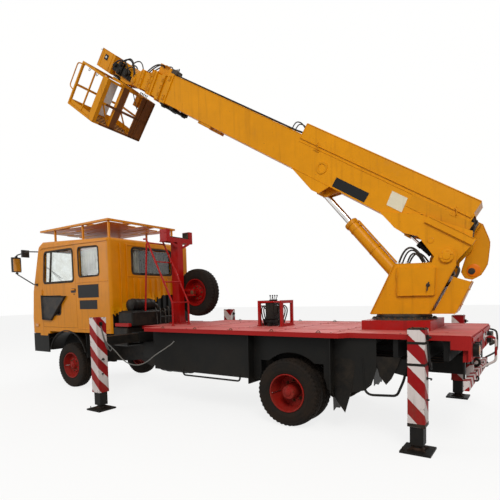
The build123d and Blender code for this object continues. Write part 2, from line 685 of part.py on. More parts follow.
# The carrier's two bars lie on the post's side and hold the stub through the hub
ARM_FACE = -POST_Y / 2 - SPARE_Y - SEAT
ARM_W = 44
with BuildPart() as spare_rim:
    revolve(rim_section(TYRE_W / 2, 1, TYRE_W / 2 - 60, TYRE_W / 2 - 125), Axis.Y)
    with BuildSketch(Plane.XZ.offset(-ARM_FACE)):
        Circle(AXLE_R + 3)
    extrude(amount=ARM_FACE - TYRE_W / 2 + 125)
    for z in (-50, 50):
        with Locations(((REST_X - SPARE_X) / 2 + 10, ARM_FACE - ARM_W / 2, z)):
            Box(REST_X - SPARE_X + 140, ARM_W, 40)
body = Pos(R + SPARE_X, SPARE_Y, SPARE_Z) * spare_rim.part
body.label = "spare_rim"
export_step(body, "parts/spare_rim.step")

LADDER_X = 2630
LADDER_Y = 435
LADDER_W = 430
LADDER_KNEE = 1770
LADDER_RUN = 600
LADDER_TOP = 2930
with BuildPart() as ladder:
    for s in (-1, 1):
        rail_y = LADDER_Y + s * LADDER_W / 2
        with BuildLine() as rail:
            FilletPolyline(
                (R + LADDER_X, rail_y, DECK_TOP), (R + LADDER_X, rail_y, LADDER_KNEE),
                (R + LADDER_X + LADDER_RUN, rail_y, LADDER_TOP), radius=60)
        with BuildSketch(Plane(origin=rail.line @ 0, z_dir=rail.line % 0)) as rail_tube:
            Circle(17)
        add(sweep(rail_tube.sketch, rail.line, mode=Mode.PRIVATE))
    for t in (0, 1 / 3, 2 / 3, 0.985):
        with Locations((R + LADDER_X + t * LADDER_RUN, LADDER_Y,
                        LADDER_KNEE + t * (LADDER_TOP - LADDER_KNEE))):
            Cylinder(12, LADDER_W, rotation=(90, 0, 0))
ladder.part.label = "ladder"
export_step(ladder.part, "parts/ladder.step")

# ======================================================================
# Under the body
# ======================================================================
with BuildPart() as tanks:
    with Locations((R + 2440, 735, 765)):
        Cylinder(245, 640, rotation=(0, 90, 0))
    for x in (2250, 2630):
        with Locations((R + x, 470 + SEAT, 860)):
            Box(50, 100, 140)
    with Locations((R + 3020, 640, 900)):
        Box(380, 440 - SEAT * 2, 300)
    with Locations((R + 2150, -700, 810)):
        Box(760, 560 - SEAT * 2, 420)
    for name, s in SIDES:
        with Locations((R + 1050, s * 620, 880)):
            Cylinder(140, 620, rotation=(0, 90, 0))
        with Locations((R + 1050, s * 455, 880)):
            Box(60, 70 - SEAT * 2, 140)
tanks.part.label = "tanks"
export_step(tanks.part, "parts/tanks.step")

FLAP = 14
SKIRT = 8
SKIRT_Y = DECK_NARROW_HALF - 60 + SEAT
SKIRT_TOP = DECK_TOP - DECK_PLATE - SEAT
SKIRTS = (
    ((-1215, SKIRT_TOP), (-1215, 880), (-1150, 680), (-1060, 600), (-900, 560), (-500, 560), (-500, SKIRT_TOP)),
    ((500, SKIRT_TOP), (500, 600), (2760, 600), (2760, SKIRT_TOP)),
    ((-510, SKIRT_TOP), (-510, 900), (510, 900), (510, SKIRT_TOP)),
)
GUARD = ((2080, 640), (2080, 540), (900, 540), (900, 640))
with BuildPart() as mudguards:
    for name, s in SIDES:
        for points in SKIRTS:
            extrude(side_face(points, s * SKIRT_Y), amount=-s * SKIRT)
        with Locations((R, s * (SKIRT_Y + SKIRT / 2), TYRE_R)):
            Cylinder(TYRE_R + 75, 2 * SKIRT, rotation=(90, 0, 0), mode=Mode.SUBTRACT)
        with BuildLine() as guard:
            FilletPolyline(*[(R + x, s * (SKIRT_Y + SKIRT / 2), z) for x, z in GUARD], radius=50)
        with BuildSketch(Plane(origin=guard.line @ 0, z_dir=guard.line % 0)) as guard_tube:
            Circle(14)
        add(sweep(guard_tube.sketch, guard.line, mode=Mode.PRIVATE))
    for name, s in SIDES:
        for x in (-650, 640):
            with Locations((R + x, s * 900, (550 + DECK_TOP - DECK_PLATE - SEAT) / 2)):
                Box(FLAP, 500, DECK_TOP - DECK_PLATE - SEAT - 550)
        with Locations((F - 620, s * 850, 930)):
            Box(FLAP, 420, 500)
        with Locations((F - 620, s * (RAIL_Y + RAIL_W / 2 + SEAT + 150), 1000)):
            Box(30, 300, 40)
mudguards.part.label = "mudguards"
export_step(mudguards.part, "parts/mudguards.step")

with BuildPart() as tail_bar:
    with Locations((R + TAIL_BAR_X, 0, TAIL_BAR_Z)):
        Box(60, 2100, 110)
    for name, s in SIDES:
        with Locations((R + (TAIL_BAR_X + RAIL_REAR) / 2 - SEAT / 2, s * RAIL_Y, 830)):
            Box(RAIL_REAR - TAIL_BAR_X - SEAT, 80, 190)
    with BuildLine() as hoop:
        FilletPolyline(
            (R + DECK_REAR - SEAT, -260, 1220), (R + TAIL + 16, -260, 1220), (R + TAIL + 16, -260, 900),
            (R + TAIL_BAR_X - 30, -260, 800), radius=60)
    with BuildSketch(Plane(origin=hoop.line @ 0, z_dir=hoop.line % 0)) as hoop_tube:
        Circle(16)
    add(sweep(hoop_tube.sketch, hoop.line, mode=Mode.PRIVATE))
tail_bar.part.label = "tail_bar"
export_step(tail_bar.part, "parts/tail_bar.step")

# ======================================================================
# Outriggers: sleeves across the frame, sliding beams with leg boxes, jacks
# ======================================================================
SLEEVE = BEAM + 2 * GAP + 2 * SLEEVE_WALL
BEAM_LEN = REACH_IN - LEG / 2 - 40
with BuildPart() as outrigger_sleeves:
    for x in (FRONT_LEG_X, REAR_LEG_X):
        with Locations((R + x, 0, BEAM_Z)):
            Box(SLEEVE, 2 * SLEEVE_HALF, SLEEVE)
            Box(SLEEVE - 2 * SLEEVE_WALL, 2 * SLEEVE_HALF, SLEEVE - 2 * SLEEVE_WALL, mode=Mode.SUBTRACT)
        for name, s in SIDES:
            with Locations((R + x, s * RAIL_Y, (RAIL_TOP + BEAM_Z - SLEEVE / 2) / 2)):
                Box(SLEEVE + 60, RAIL_W, BEAM_Z - SLEEVE / 2 - RAIL_TOP)
            with Locations((R + x, s * (SLEEVE_HALF - 60), BEAM_Z - BEAM / 2 - GAP / 2 - SEAT / 2)):
                Box(BEAM, 100, GAP - SEAT)
outrigger_sleeves.part.label = "outrigger_sleeves"
export_step(outrigger_sleeves.part, "parts/outrigger_sleeves.step")

LEGS = (
    ("front_left", FRONT_LEG_X, 1, REACH_OUT), ("front_right", FRONT_LEG_X, -1, REACH_OUT),
    ("rear_left", REAR_LEG_X, 1, REACH_IN), ("rear_right", REAR_LEG_X, -1, REACH_OUT),
)
for name, x, s, reach in LEGS:
    leg_top = FRONT_LEG_TOP if x == FRONT_LEG_X else LEG_TOP
    with BuildPart() as leg:
        with Locations((R + x, s * (reach - LEG / 2 - BEAM_LEN / 2), BEAM_Z)):
            Box(BEAM, BEAM_LEN, BEAM)
            Box(BEAM - 2 * LEG_WALL, BEAM_LEN, BEAM - 2 * LEG_WALL, mode=Mode.SUBTRACT)
        with Locations((R + x, s * reach, (leg_top + LEG_BOTTOM) / 2)):
            Box(LEG, LEG, leg_top - LEG_BOTTOM)
        with Locations((R + x, s * reach, (leg_top + LEG_BOTTOM) / 2 - LEG_WALL)):
            Box(LEG - 2 * LEG_WALL, LEG - 2 * LEG_WALL, leg_top - LEG_BOTTOM, mode=Mode.SUBTRACT)
    leg.part.label = f"leg_{name}"
    export_step(leg.part, f"parts/leg_{name}.step")
    with BuildPart() as jack:
        with Locations((R + x, s * reach, PAD_H / 2)):
            Box(PAD, PAD, PAD_H)
        with Locations((R + x, s * reach, PAD_H + 30)):
            Cylinder(55, 60)
        with Locations((R + x, s * reach, (PAD_H + 60 + 1180) / 2)):
            Box(JACK, JACK, 1180 - PAD_H - 60)
        with Locations((R + x, s * reach, (1180 + 150) / 2)):
            Box(JACK - 24, JACK - 24, 1180 - 150, mode=Mode.SUBTRACT)
        with Locations((R + x, s * reach, 1130)):
            Box(LEG - 2 * LEG_WALL - 2 * SEAT, LEG - 2 * LEG_WALL - 2 * SEAT, 60)
    jack.part.label = f"jack_{name}"
    export_step(jack.part, f"parts/jack_{name}.step")

# ======================================================================
# Turret
# ======================================================================
with BuildPart() as turret_base:
    with Locations((R + SLEW_X, 0, (DECK_TOP + BASE_TOP) / 2)):
        Box(900, 980, BASE_TOP - DECK_TOP)
turret_base.part.label = "turret_base"
export_step(turret_base.part, "parts/turret_base.step")

with BuildPart() as slew_ring:
    with Locations((R + SLEW_X, 0, (BASE_TOP + RING_TOP) / 2)):
        Cylinder(RING_R, RING_TOP - BASE_TOP)
        Cylinder(RING_R - 90, RING_TOP - BASE_TOP, mode=Mode.SUBTRACT)
slew_ring.part.label = "slew_ring"
export_step(slew_ring.part, "parts/slew_ring.step")

FLOOR_Z = RING_TOP + SEAT
TURRET_SIDE = (
    (400, FLOOR_Z), (70, 2235), (-400, 2225), (-440, 2340), (-500, 2400), (-650, 2400), (-700, 2320),
    (-690, 2180), (-370, FLOOR_Z),
)
INNER_HALF = TURRET_HALF - TURRET_PLATE
EAR_GAP = 12
with BuildPart() as turret:
    for z0 in (-TURRET_HALF, INNER_HALF):
        with BuildSketch(turret_plane.offset(z0)):
            with BuildLine():
                Polyline(*TURRET_SIDE, close=True)
            make_face()
        extrude(amount=TURRET_PLATE)
    for outline in (
        ((400, FLOOR_Z), (380, FLOOR_Z + 41), (-680, FLOOR_Z + 41), (-680, FLOOR_Z)),
        ((400, FLOOR_Z), (230, 1905), (205, 1895), (370, FLOOR_Z)),
        ((-370, FLOOR_Z), (-620, 2050), (-590, 2060), (-340, FLOOR_Z)),
        ((-420, FLOOR_Z + 20), (-660, 2030), (-860, 1960), (-690, FLOOR_Z + 20)),
    ):
        with BuildSketch(turret_plane.offset(-INNER_HALF)):
            with BuildLine():
                Polyline(*outline, close=True)
            make_face()
        extrude(amount=2 * INNER_HALF)
    for z in (-70, 45):
        with BuildSketch(turret_plane.offset(z)):
            with BuildLine():
                Polyline((-130, 1830), (-105, 1990), (-60, 2040), (20, 2040), (65, 1990), (90, 1830), close=True)
            make_face()
            with Locations((LIFT_BASE_Q, LIFT_BASE_Z)):
                Circle(EYE_PIN_R + PIN_GAP, mode=Mode.SUBTRACT)
        extrude(amount=25)
    with BuildSketch(turret_plane.offset(-INNER_HALF)):
        with BuildLine():
            Polyline((-130, 1800), (90, 1800), (90, 1860), (-130, 1860), close=True)
        make_face()
    extrude(amount=2 * INNER_HALF)
    for z in (-60, 40):
        with BuildSketch(turret_plane.offset(z)):
            with BuildLine():
                Polyline(
                    (-330, 2100), (-350, 2300), (-375, 2350), (-425, 2350), (-440, 2300), (-470, 2100), close=True)
            make_face()
            with Locations((LEVEL_BASE_Q, LEVEL_BASE_Z)):
                Circle(LEVEL_PIN_R + PIN_GAP, mode=Mode.SUBTRACT)
        extrude(amount=20)
    with BuildSketch(turret_plane.offset(-INNER_HALF)):
        with Locations((-400, 2085)):
            Rectangle(160, 40)
    extrude(amount=2 * INNER_HALF)
    with BuildSketch(turret_plane.offset(-TURRET_HALF - 60)):
        with Locations((PIVOT_Q, PIVOT_Z)):
            Circle(PIVOT_R + PIN_GAP)
    extrude(amount=2 * TURRET_HALF + 120, mode=Mode.SUBTRACT)
    with BuildSketch(turret_plane.offset(-TURRET_HALF - 30)):
        with BuildLine():
            Polyline((30, 2190), (-455, 2160), (-440, 1800), (30, 1800), close=True)
        make_face()
    extrude(amount=30)
turret.part.label = "turret"
export_step(turret.part, "parts/turret.step")

# ======================================================================
# Boom
# ======================================================================


def across(s):
    """Plane square to the boom at station s: x is to the left, y is away from its underside."""
    return Plane(origin=boom_plane.from_local_coords(Vector(s, 0, 0)), x_dir=-side, z_dir=boom_dir)


def boom_side(points, z0):
    """Closed side outline in the boom's own plane, at z0 to the right of its middle."""
    with BuildSketch(boom_plane.offset(z0)) as outline:
        with BuildLine():
            Polyline(*points, close=True)
        make_face()
    return outline.sketch


HOUSING_HALF = BOOM_HALF + HOUSING_SIDE
FOOT = (
    (1080, BOOM_LOW), (780, 15), (640, 10), (450, 60), (120, -80), (40, -120), (-60, -115), (-120, -60),
    (-170, 250), (-90, BOOM_LOW + 300), (600, BOOM_LOW + 200),
)
FOOT_PLATE = 26
FOOT_IN = INNER_HALF - EAR_GAP - FOOT_PLATE
with BuildPart() as boom_base:
    with BuildSketch(across(BOOM_REAR)):
        with Locations((0, (BOOM_LOW + BOOM_HIGH) / 2)):
            Rectangle(2 * BOOM_HALF, BOOM_HIGH - BOOM_LOW)
            Rectangle(2 * (BOOM_HALF - BOOM_WALL), BOOM_HIGH - BOOM_LOW - 2 * BOOM_WALL, mode=Mode.SUBTRACT)
    extrude(amount=BOOM_END - BOOM_REAR)
    with BuildSketch(across(BOOM_END - 130)):
        with Locations((0, (BOOM_LOW + BOOM_HIGH) / 2)):
            Rectangle(2 * BOOM_HALF + 30, BOOM_HIGH - BOOM_LOW + 30)
            Rectangle(2 * (BOOM_HALF - BOOM_WALL), BOOM_HIGH - BOOM_LOW - 2 * BOOM_WALL, mode=Mode.SUBTRACT)
    extrude(amount=130)
    with BuildSketch(across(BOOM_REAR + 20)):
        with Locations((0, (SEAM + HOUSING_HIGH) / 2)):
            Rectangle(2 * HOUSING_HALF, HOUSING_HIGH - SEAM)
        with Locations((0, (SEAM + HOUSING_HIGH) / 2 - HOUSING_SIDE)):
            Rectangle(2 * BOOM_HALF, HOUSING_HIGH - SEAM, mode=Mode.SUBTRACT)
    extrude(amount=HOUSING_FRONT - BOOM_REAR - 20)
    for s0 in (BOOM_REAR + 20, HOUSING_FRONT - HOUSING_SIDE):
        with BuildSketch(across(s0)):
            with Locations((0, (BOOM_HIGH + HOUSING_HIGH) / 2)):
                Rectangle(2 * BOOM_HALF, HOUSING_HIGH - BOOM_HIGH)
        extrude(amount=HOUSING_SIDE)
    for z0 in (-FOOT_IN - FOOT_PLATE, FOOT_IN):
        extrude(boom_side(FOOT, z0), amount=FOOT_PLATE)
    for z0 in (-FOOT_IN - FOOT_PLATE, BOOM_HALF - 1):
        extrude(boom_side(
            ((900, BOOM_LOW + 30), (880, BOOM_LOW + 90), (-80, BOOM_LOW + 250), (-80, BOOM_LOW + 30)), z0),
            amount=FOOT_IN + FOOT_PLATE - BOOM_HALF + 1)
    for z0 in (-75, 50):
        extrude(boom_side(
            ((LIFT_LUG_S - 260, BOOM_LOW + 4), (LIFT_LUG_S - 80, LIFT_LUG_T - 50),
             (LIFT_LUG_S + 60, LIFT_LUG_T - 60), (LIFT_LUG_S + 120, LIFT_LUG_T),
             (LIFT_LUG_S + 170, BOOM_LOW + 4)), z0), amount=25)
    for z0 in (-55, 35):
        extrude(boom_side(
            ((LEVEL_LUG_S - 90, BOOM_LOW + 4), (LEVEL_LUG_S - 40, -10), (LEVEL_LUG_S + 40, -10),
             (LEVEL_LUG_S + 120, BOOM_LOW + 4)), z0), amount=20)
    for z0 in (-BOOM_HALF, BOOM_HALF - 16):
        extrude(boom_side(
            ((LIFT_LUG_S + 620, BOOM_LOW + 4), (LIFT_LUG_S + 110, -50), (LIFT_LUG_S - 20, -45),
             (LIFT_LUG_S - 130, BOOM_LOW + 4)), z0), amount=16)
    for z0 in (-90, 75):
        with BuildSketch(boom_plane.offset(z0)):
            with Locations((LIFT_LUG_S, LIFT_LUG_T)):
                Circle(EYE_PIN_R)
        extrude(amount=15)
    for z0 in (-65, 55):
        with BuildSketch(boom_plane.offset(z0)):
            with Locations((LEVEL_LUG_S, LEVEL_LUG_T)):
                Circle(LEVEL_PIN_R)
        extrude(amount=10)
    with BuildSketch(boom_plane.offset(-TURRET_HALF - 20)):
        Circle(PIVOT_R)
    extrude(amount=2 * TURRET_HALF + 40)
    with Locations(boom_plane.offset(-BOOM_HALF - 32).location):
        with Locations((150, 295, 0)):
            Box(660, 90, 66)
    with Locations(across(BOOM_END - 100).location):
        with Locations((0, BOOM_LOW + BOOM_WALL + (SECTION_GAP - SEAT) / 2, 0)):
            Box(300, SECTION_GAP - SEAT, 200)
    NOSE_OUT = TURRET_HALF + GAP
    extrude(boom_side(
        ((-90, 590), (-300, 430), (-440, 160), (-450, 0), (-390, -110), (-300, -140), (-210, -90),
         (-150, 120), (-90, 300), (380, 300), (420, 590)), NOSE_OUT), amount=14)
    extrude(boom_side(((-80, 330), (-80, 580), (360, 580), (360, 330)), BOOM_HALF - 1),
            amount=NOSE_OUT - BOOM_HALF + 2)
boom_base.part.label = "boom_base"
export_step(boom_base.part, "parts/boom_base.step")

SECOND_HALF = BOOM_HALF - BOOM_WALL - SECTION_GAP
SECOND_LOW = BOOM_LOW + BOOM_WALL + SECTION_GAP
SECOND_WALL = 7
with BuildPart() as boom_second:
    with BuildSketch(across(SECTION_REAR)):
        with Locations((0, (SECOND_LOW + SECOND_HIGH) / 2)):
            Rectangle(2 * SECOND_HALF, SECOND_HIGH - SECOND_LOW)
            Rectangle(2 * (SECOND_HALF - SECOND_WALL), SECOND_HIGH - SECOND_LOW - 2 * SECOND_WALL,
                      mode=Mode.SUBTRACT)
    extrude(amount=SECOND_END - SECTION_REAR)
    for s0, s1 in ((BOOM_END + 60, BOOM_END + 160), (SECOND_END - 130, SECOND_END)):
        with BuildSketch(across(s0)):
            with Locations((0, (SECOND_LOW + SECOND_HIGH) / 2)):
                Rectangle(2 * SECOND_HALF + 40, SECOND_HIGH - SECOND_LOW + 50)
                Rectangle(2 * (SECOND_HALF - SECOND_WALL), SECOND_HIGH - SECOND_LOW - 2 * SECOND_WALL,
                          mode=Mode.SUBTRACT)
        extrude(amount=s1 - s0)
    with Locations(across(SECOND_END - 100).location):
        with Locations((0, SECOND_LOW + SECOND_WALL + (SECTION_GAP - SEAT) / 2, 0)):
            Box(280, SECTION_GAP - SEAT, 200)
    with Locations(across(BOOM_END + 260).location):
        with Locations((0, SECOND_HIGH + 85, 0)):
            Box(200, 180, 300)
    for s0 in (BOOM_END + 40, BOOM_END + 190):
        with BuildSketch(boom_plane.offset(-SECOND_HALF + 30)):
            with Locations((s0, SECOND_LOW - 24)):
                Circle(30)
        extrude(amount=2 * SECOND_HALF - 60)
boom_second.part.label = "boom_second"
export_step(boom_second.part, "parts/boom_second.step")

THIRD_HALF = SECOND_HALF - SECOND_WALL - SECTION_GAP
THIRD_LOW = SECOND_LOW + SECOND_WALL + SECTION_GAP
THIRD_WALL = 6
HEAD_PIN_R = 32
with BuildPart() as boom_third:
    with BuildSketch(across(SECTION_REAR + 150)):
        with Locations((0, (THIRD_LOW + THIRD_HIGH) / 2)):
            Rectangle(2 * THIRD_HALF, THIRD_HIGH - THIRD_LOW)
            Rectangle(2 * (THIRD_HALF - THIRD_WALL), THIRD_HIGH - THIRD_LOW - 2 * THIRD_WALL,
                      mode=Mode.SUBTRACT)
    extrude(amount=THIRD_END - SECTION_REAR - 150)
    with BuildSketch(across(THIRD_END - 90)):
        with Locations((0, (THIRD_LOW + THIRD_HIGH) / 2)):
            Rectangle(2 * THIRD_HALF + 30, THIRD_HIGH - THIRD_LOW + 40)
    extrude(amount=90)
    for z0 in (-135, 110):
        extrude(boom_side(
            ((THIRD_END - 2, THIRD_LOW - 15), (THIRD_END - 2, THIRD_HIGH + 15), (THIRD_END + 60, THIRD_HIGH + 10),
             (HEAD_S + 70, HEAD_T + 60), (HEAD_S + 75, HEAD_T - 40), (HEAD_S + 30, HEAD_T - 75)), z0), amount=25)
    with BuildSketch(boom_plane.offset(-140)):
        with Locations((HEAD_S, HEAD_T)):
            Circle(HEAD_PIN_R)
    extrude(amount=280)
boom_third.part.label = "boom_third"
export_step(boom_third.part, "parts/boom_third.step")

# ======================================================================
# Lift and levelling cylinders
# ======================================================================
CYLINDERS = (
    ("lift", lift_plane, lift_length, BARREL_R, BARREL_LEN, ROD_R, ROD_LEN, EYE_PIN_R, 45),
    ("level", level_plane, level_length, LEVEL_BARREL_R, LEVEL_BARREL_LEN, LEVEL_ROD_R,
     level_length - 125, LEVEL_PIN_R, 28),
)
for name, plane, length, barrel_r, barrel_len, rod_r, rod_len, pin_r, eye_half in CYLINDERS:
    axis_start = Plane(origin=plane.from_local_coords(Vector(2 * pin_r + 25, 0, 0)), x_dir=side, z_dir=plane.x_dir)
    gland = Plane(origin=plane.from_local_coords(Vector(barrel_len - 60, 0, 0)), x_dir=side, z_dir=plane.x_dir)
    with BuildPart() as barrel:
        with BuildSketch(axis_start):
            Circle(barrel_r)
        extrude(amount=barrel_len - 2 * pin_r - 25)
        with BuildSketch(gland):
            Circle(barrel_r + 8)
        extrude(amount=60)
        with BuildSketch(plane.offset(-eye_half + 5)):
            Circle(pin_r * 2)
            with Locations((pin_r + 15, 0)):
                Rectangle(2 * pin_r + 30, 2 * pin_r)
        extrude(amount=2 * eye_half - 10)
        with BuildSketch(plane.offset(-eye_half)):
            Circle(pin_r - 2)
        extrude(amount=2 * eye_half)
        with BuildSketch(Plane(origin=plane.from_local_coords(Vector(pin_r + 45, 0, 0)), x_dir=side,
                               z_dir=plane.x_dir)):
            Circle(rod_r + 4)
        extrude(amount=barrel_len, mode=Mode.SUBTRACT)
        with BuildSketch(gland):
            Circle(barrel_r - 5)
            Circle(rod_r + SEAT, mode=Mode.SUBTRACT)
        extrude(amount=60)
        with BuildSketch(plane.offset(-eye_half - 26)):
            Circle(pin_r)
        extrude(amount=2 * eye_half + 52)
    barrel.part.label = f"{name}_barrel"
    export_step(barrel.part, f"parts/{name}_barrel.step")
    with BuildPart() as rod:
        with BuildSketch(Plane(origin=plane.from_local_coords(Vector(length - rod_len, 0, 0)), x_dir=side,
                               z_dir=plane.x_dir)):
            Circle(rod_r)
        extrude(amount=rod_len - pin_r - 8)
        with BuildSketch(plane.offset(-eye_half + 5)):
            with Locations((length, 0)):
                Circle(pin_r + 13)
        extrude(amount=2 * eye_half - 10)
    rod.part.label = f"{name}_rod"
    export_step(rod.part, f"parts/{name}_rod.step")

# ======================================================================
# Basket and its head
# ======================================================================
HEAD_ARM_TOP = 200
SPINDLE_S = 500
HEAD_BOX_S = 936
HEAD_LOW = -145
SPINDLE_R = 45
with BuildPart(basket_plane) as basket_head:
    with BuildSketch(basket_plane.offset(-104)):
        Circle(95)
    extrude(amount=208)
    with BuildSketch(basket_plane.offset(-100)):
        with BuildLine():
            Polyline(
                (0, -80), (20, 90), (200, HEAD_ARM_TOP), (430, HEAD_ARM_TOP), (560, 120), (720, 120), (720, -60),
                (610, -60), (570, HEAD_LOW), (200, HEAD_LOW), close=True)
        make_face()
    extrude(amount=200)
    with BuildSketch(basket_plane.offset(-105)):
        Circle(HEAD_PIN_R + PIN_GAP)
    extrude(amount=210, mode=Mode.SUBTRACT)
    with Locations((HEAD_BOX_S, 27, 0)):
        Box(440, 345, 260)
    with Locations((620, 60, 70)):
        Cylinder(85, 150)
    with Locations((SPINDLE_S, (HEAD_LOW + BASKET_TOP + 6 + SEAT) / 2, 0)):
        Cylinder(SPINDLE_R, HEAD_LOW - BASKET_TOP - 6 - SEAT, rotation=(90, 0, 0))
basket_head.part.label = "basket_head"
export_step(basket_head.part, "parts/basket_head.step")

BASKET_FRONT = BASKET_REAR + BASKET_D
BASKET_LOW = BASKET_TOP - BASKET_H
MAST_Z = -160
with BuildPart(basket_plane) as basket:
    for t in (BASKET_TOP - TUBE / 2, BASKET_LOW + TUBE / 2):
        for s0 in (BASKET_REAR + TUBE / 2, BASKET_FRONT - TUBE / 2):
            with Locations((s0, t, 0)):
                Box(TUBE, TUBE, BASKET_W)
        for s1 in (-1, 1):
            with Locations(((BASKET_REAR + BASKET_FRONT) / 2, t, s1 * (BASKET_W - TUBE) / 2)):
                Box(BASKET_D, TUBE, TUBE)
    mid_t = (BASKET_TOP + BASKET_LOW) / 2
    for s0, z0, ds, dz in (
        (BASKET_REAR + POST / 2, -(BASKET_W - POST) / 2, POST, POST),
        (BASKET_REAR + POST / 2, MAST_Z, POST, 130),
        (BASKET_REAR + 15, (BASKET_W - 330) / 2, 30, 330),
        (BASKET_FRONT - TUBE / 2, -(BASKET_W - TUBE) / 2, TUBE, TUBE),
        (BASKET_FRONT - TUBE / 2, (BASKET_W - TUBE) / 2, TUBE, TUBE),
        (BASKET_FRONT - TUBE / 2, 0, TUBE, TUBE),
        ((BASKET_REAR + BASKET_FRONT) / 2, -(BASKET_W - TUBE) / 2, 24, 24),
    ):
        with Locations((s0, mid_t, z0)):
            Box(ds, BASKET_H, dz)
    with Locations((BASKET_REAR + TUBE / 2, mid_t - 20, 0)):
        Box(TUBE, TUBE, BASKET_W)
    with Locations((BASKET_FRONT - TUBE / 2, mid_t - 20, 0)):
        Box(TUBE, TUBE, BASKET_W)
    with Locations(((BASKET_REAR + BASKET_FRONT) / 2, mid_t - 20, (BASKET_W - TUBE) / 2)):
        Box(BASKET_D, TUBE, TUBE)
    with Locations(((BASKET_REAR + BASKET_FRONT) / 2, BASKET_LOW + 8, 0)):
        Box(BASKET_D, 16, BASKET_W)
    with Locations(((BASKET_REAR + BASKET_FRONT) / 2 + 20, BASKET_LOW + 18, 0)):
        Box(BASKET_D - 132, 4 + 2 * SEAT, BASKET_W - 92)
    with Locations(((BASKET_REAR + SPINDLE_S + 90) / 2, BASKET_TOP + 17, 0)):
        Box(SPINDLE_S + 90 - BASKET_REAR, 44, 240)
    with Locations((BASKET_REAR + POST / 2, BASKET_TOP + 17, MAST_Z / 2)):
        Box(POST, 44, 240 - MAST_Z)
    with Locations((SPINDLE_S, BASKET_TOP + 36, 0)):
        Cylinder(SPINDLE_R + PIN_GAP, 60, rotation=(90, 0, 0), mode=Mode.SUBTRACT)
    rear_bays = Plane(
        origin=basket_plane.from_local_coords(Vector(BASKET_REAR + 8, 0, 0)), x_dir=side, z_dir=basket_dir)
    for z0, z1 in ((-BASKET_W / 2 + POST - 4, MAST_Z - 60), (MAST_Z + 60, BASKET_W / 2 - 326)):
        with BuildSketch(rear_bays):
            with BuildLine():
                Polyline(
                    (z0, 20 - mid_t), (z0 + 34, 20 - mid_t), (z1, -BASKET_LOW - 20), (z1 - 34, -BASKET_LOW - 20),
                    close=True)
            make_face()
        extrude(amount=20)
    with Locations((BASKET_REAR + 200, BASKET_TOP - 40 - 110, (BASKET_W - 330) / 2)):
        Box(120, 200, 250)
    with Locations((BASKET_REAR + 85, BASKET_TOP - 40 - 110, (BASKET_W - 330) / 2)):
        Box(112, 60, 60)
with BuildPart() as grab_rail:
    with BuildLine() as grab:
        FilletPolyline(*[
            basket_plane.from_local_coords(Vector(x, t, (TUBE - BASKET_W) / 2)) for x, t in (
                (BASKET_FRONT - 20, BASKET_TOP - 50), (BASKET_FRONT + 150, BASKET_TOP - 80),
                (BASKET_FRONT + 150, BASKET_TOP - 540), (BASKET_FRONT - 20, BASKET_TOP - 570))], radius=60)
    with BuildSketch(Plane(origin=grab.line @ 0, z_dir=grab.line % 0)):
        Circle(11)
    sweep()
body = basket.part + grab_rail.part
body.label = "basket"
export_step(body, "parts/basket.step")
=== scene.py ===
import json
import math

import bpy
import numpy as np
from bpy.props import FloatProperty, FloatVectorProperty, IntProperty, PointerProperty
from mathutils import Matrix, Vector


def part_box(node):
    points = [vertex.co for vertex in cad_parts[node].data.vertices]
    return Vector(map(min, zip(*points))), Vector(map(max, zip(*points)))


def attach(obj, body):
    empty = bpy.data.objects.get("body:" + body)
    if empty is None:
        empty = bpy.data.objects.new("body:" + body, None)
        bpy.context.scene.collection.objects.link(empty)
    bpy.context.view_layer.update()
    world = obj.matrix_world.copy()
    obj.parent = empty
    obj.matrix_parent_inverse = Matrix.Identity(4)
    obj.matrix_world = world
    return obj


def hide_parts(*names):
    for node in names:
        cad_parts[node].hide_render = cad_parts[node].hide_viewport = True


bl_info = {
    "name": "Cherry Picker Truck",
    "version": (1, 0, 0),
    "blender": (4, 5, 0),
    "location": "View3D > Sidebar > Cherry Picker",
    "description": "Dresses the packed frame of a cherry picker truck with its surfaces, fittings and finishes",
    "category": "Add Mesh",
}

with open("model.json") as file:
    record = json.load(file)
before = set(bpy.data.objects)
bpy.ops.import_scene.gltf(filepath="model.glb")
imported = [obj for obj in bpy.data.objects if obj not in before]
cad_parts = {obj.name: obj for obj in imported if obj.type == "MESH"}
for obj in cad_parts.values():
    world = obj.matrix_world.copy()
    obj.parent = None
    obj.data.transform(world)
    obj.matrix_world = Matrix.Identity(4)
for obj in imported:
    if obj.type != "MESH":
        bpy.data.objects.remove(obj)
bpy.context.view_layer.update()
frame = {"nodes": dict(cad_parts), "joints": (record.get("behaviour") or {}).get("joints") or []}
JOINTS = {joint["name"]: joint for joint in frame["joints"]}
SIDES = (("left", 1.0), ("right", -1.0))
X, Y, Z = np.eye(3)


# ======================================================================
# Places read from the frame
# ======================================================================
def joint_place(name):
    """The point that a joint turns about, as an array in metres."""
    return np.array(JOINTS[name]["pos_m"], float)


def joint_axis(name):
    """A joint's unit axis."""
    axis = np.array(JOINTS[name]["axis"], float)
    return axis / np.linalg.norm(axis)


def corners(node):
    """The lowest and highest corner of a node, as arrays."""
    low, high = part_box(node)
    return np.array(low), np.array(high)


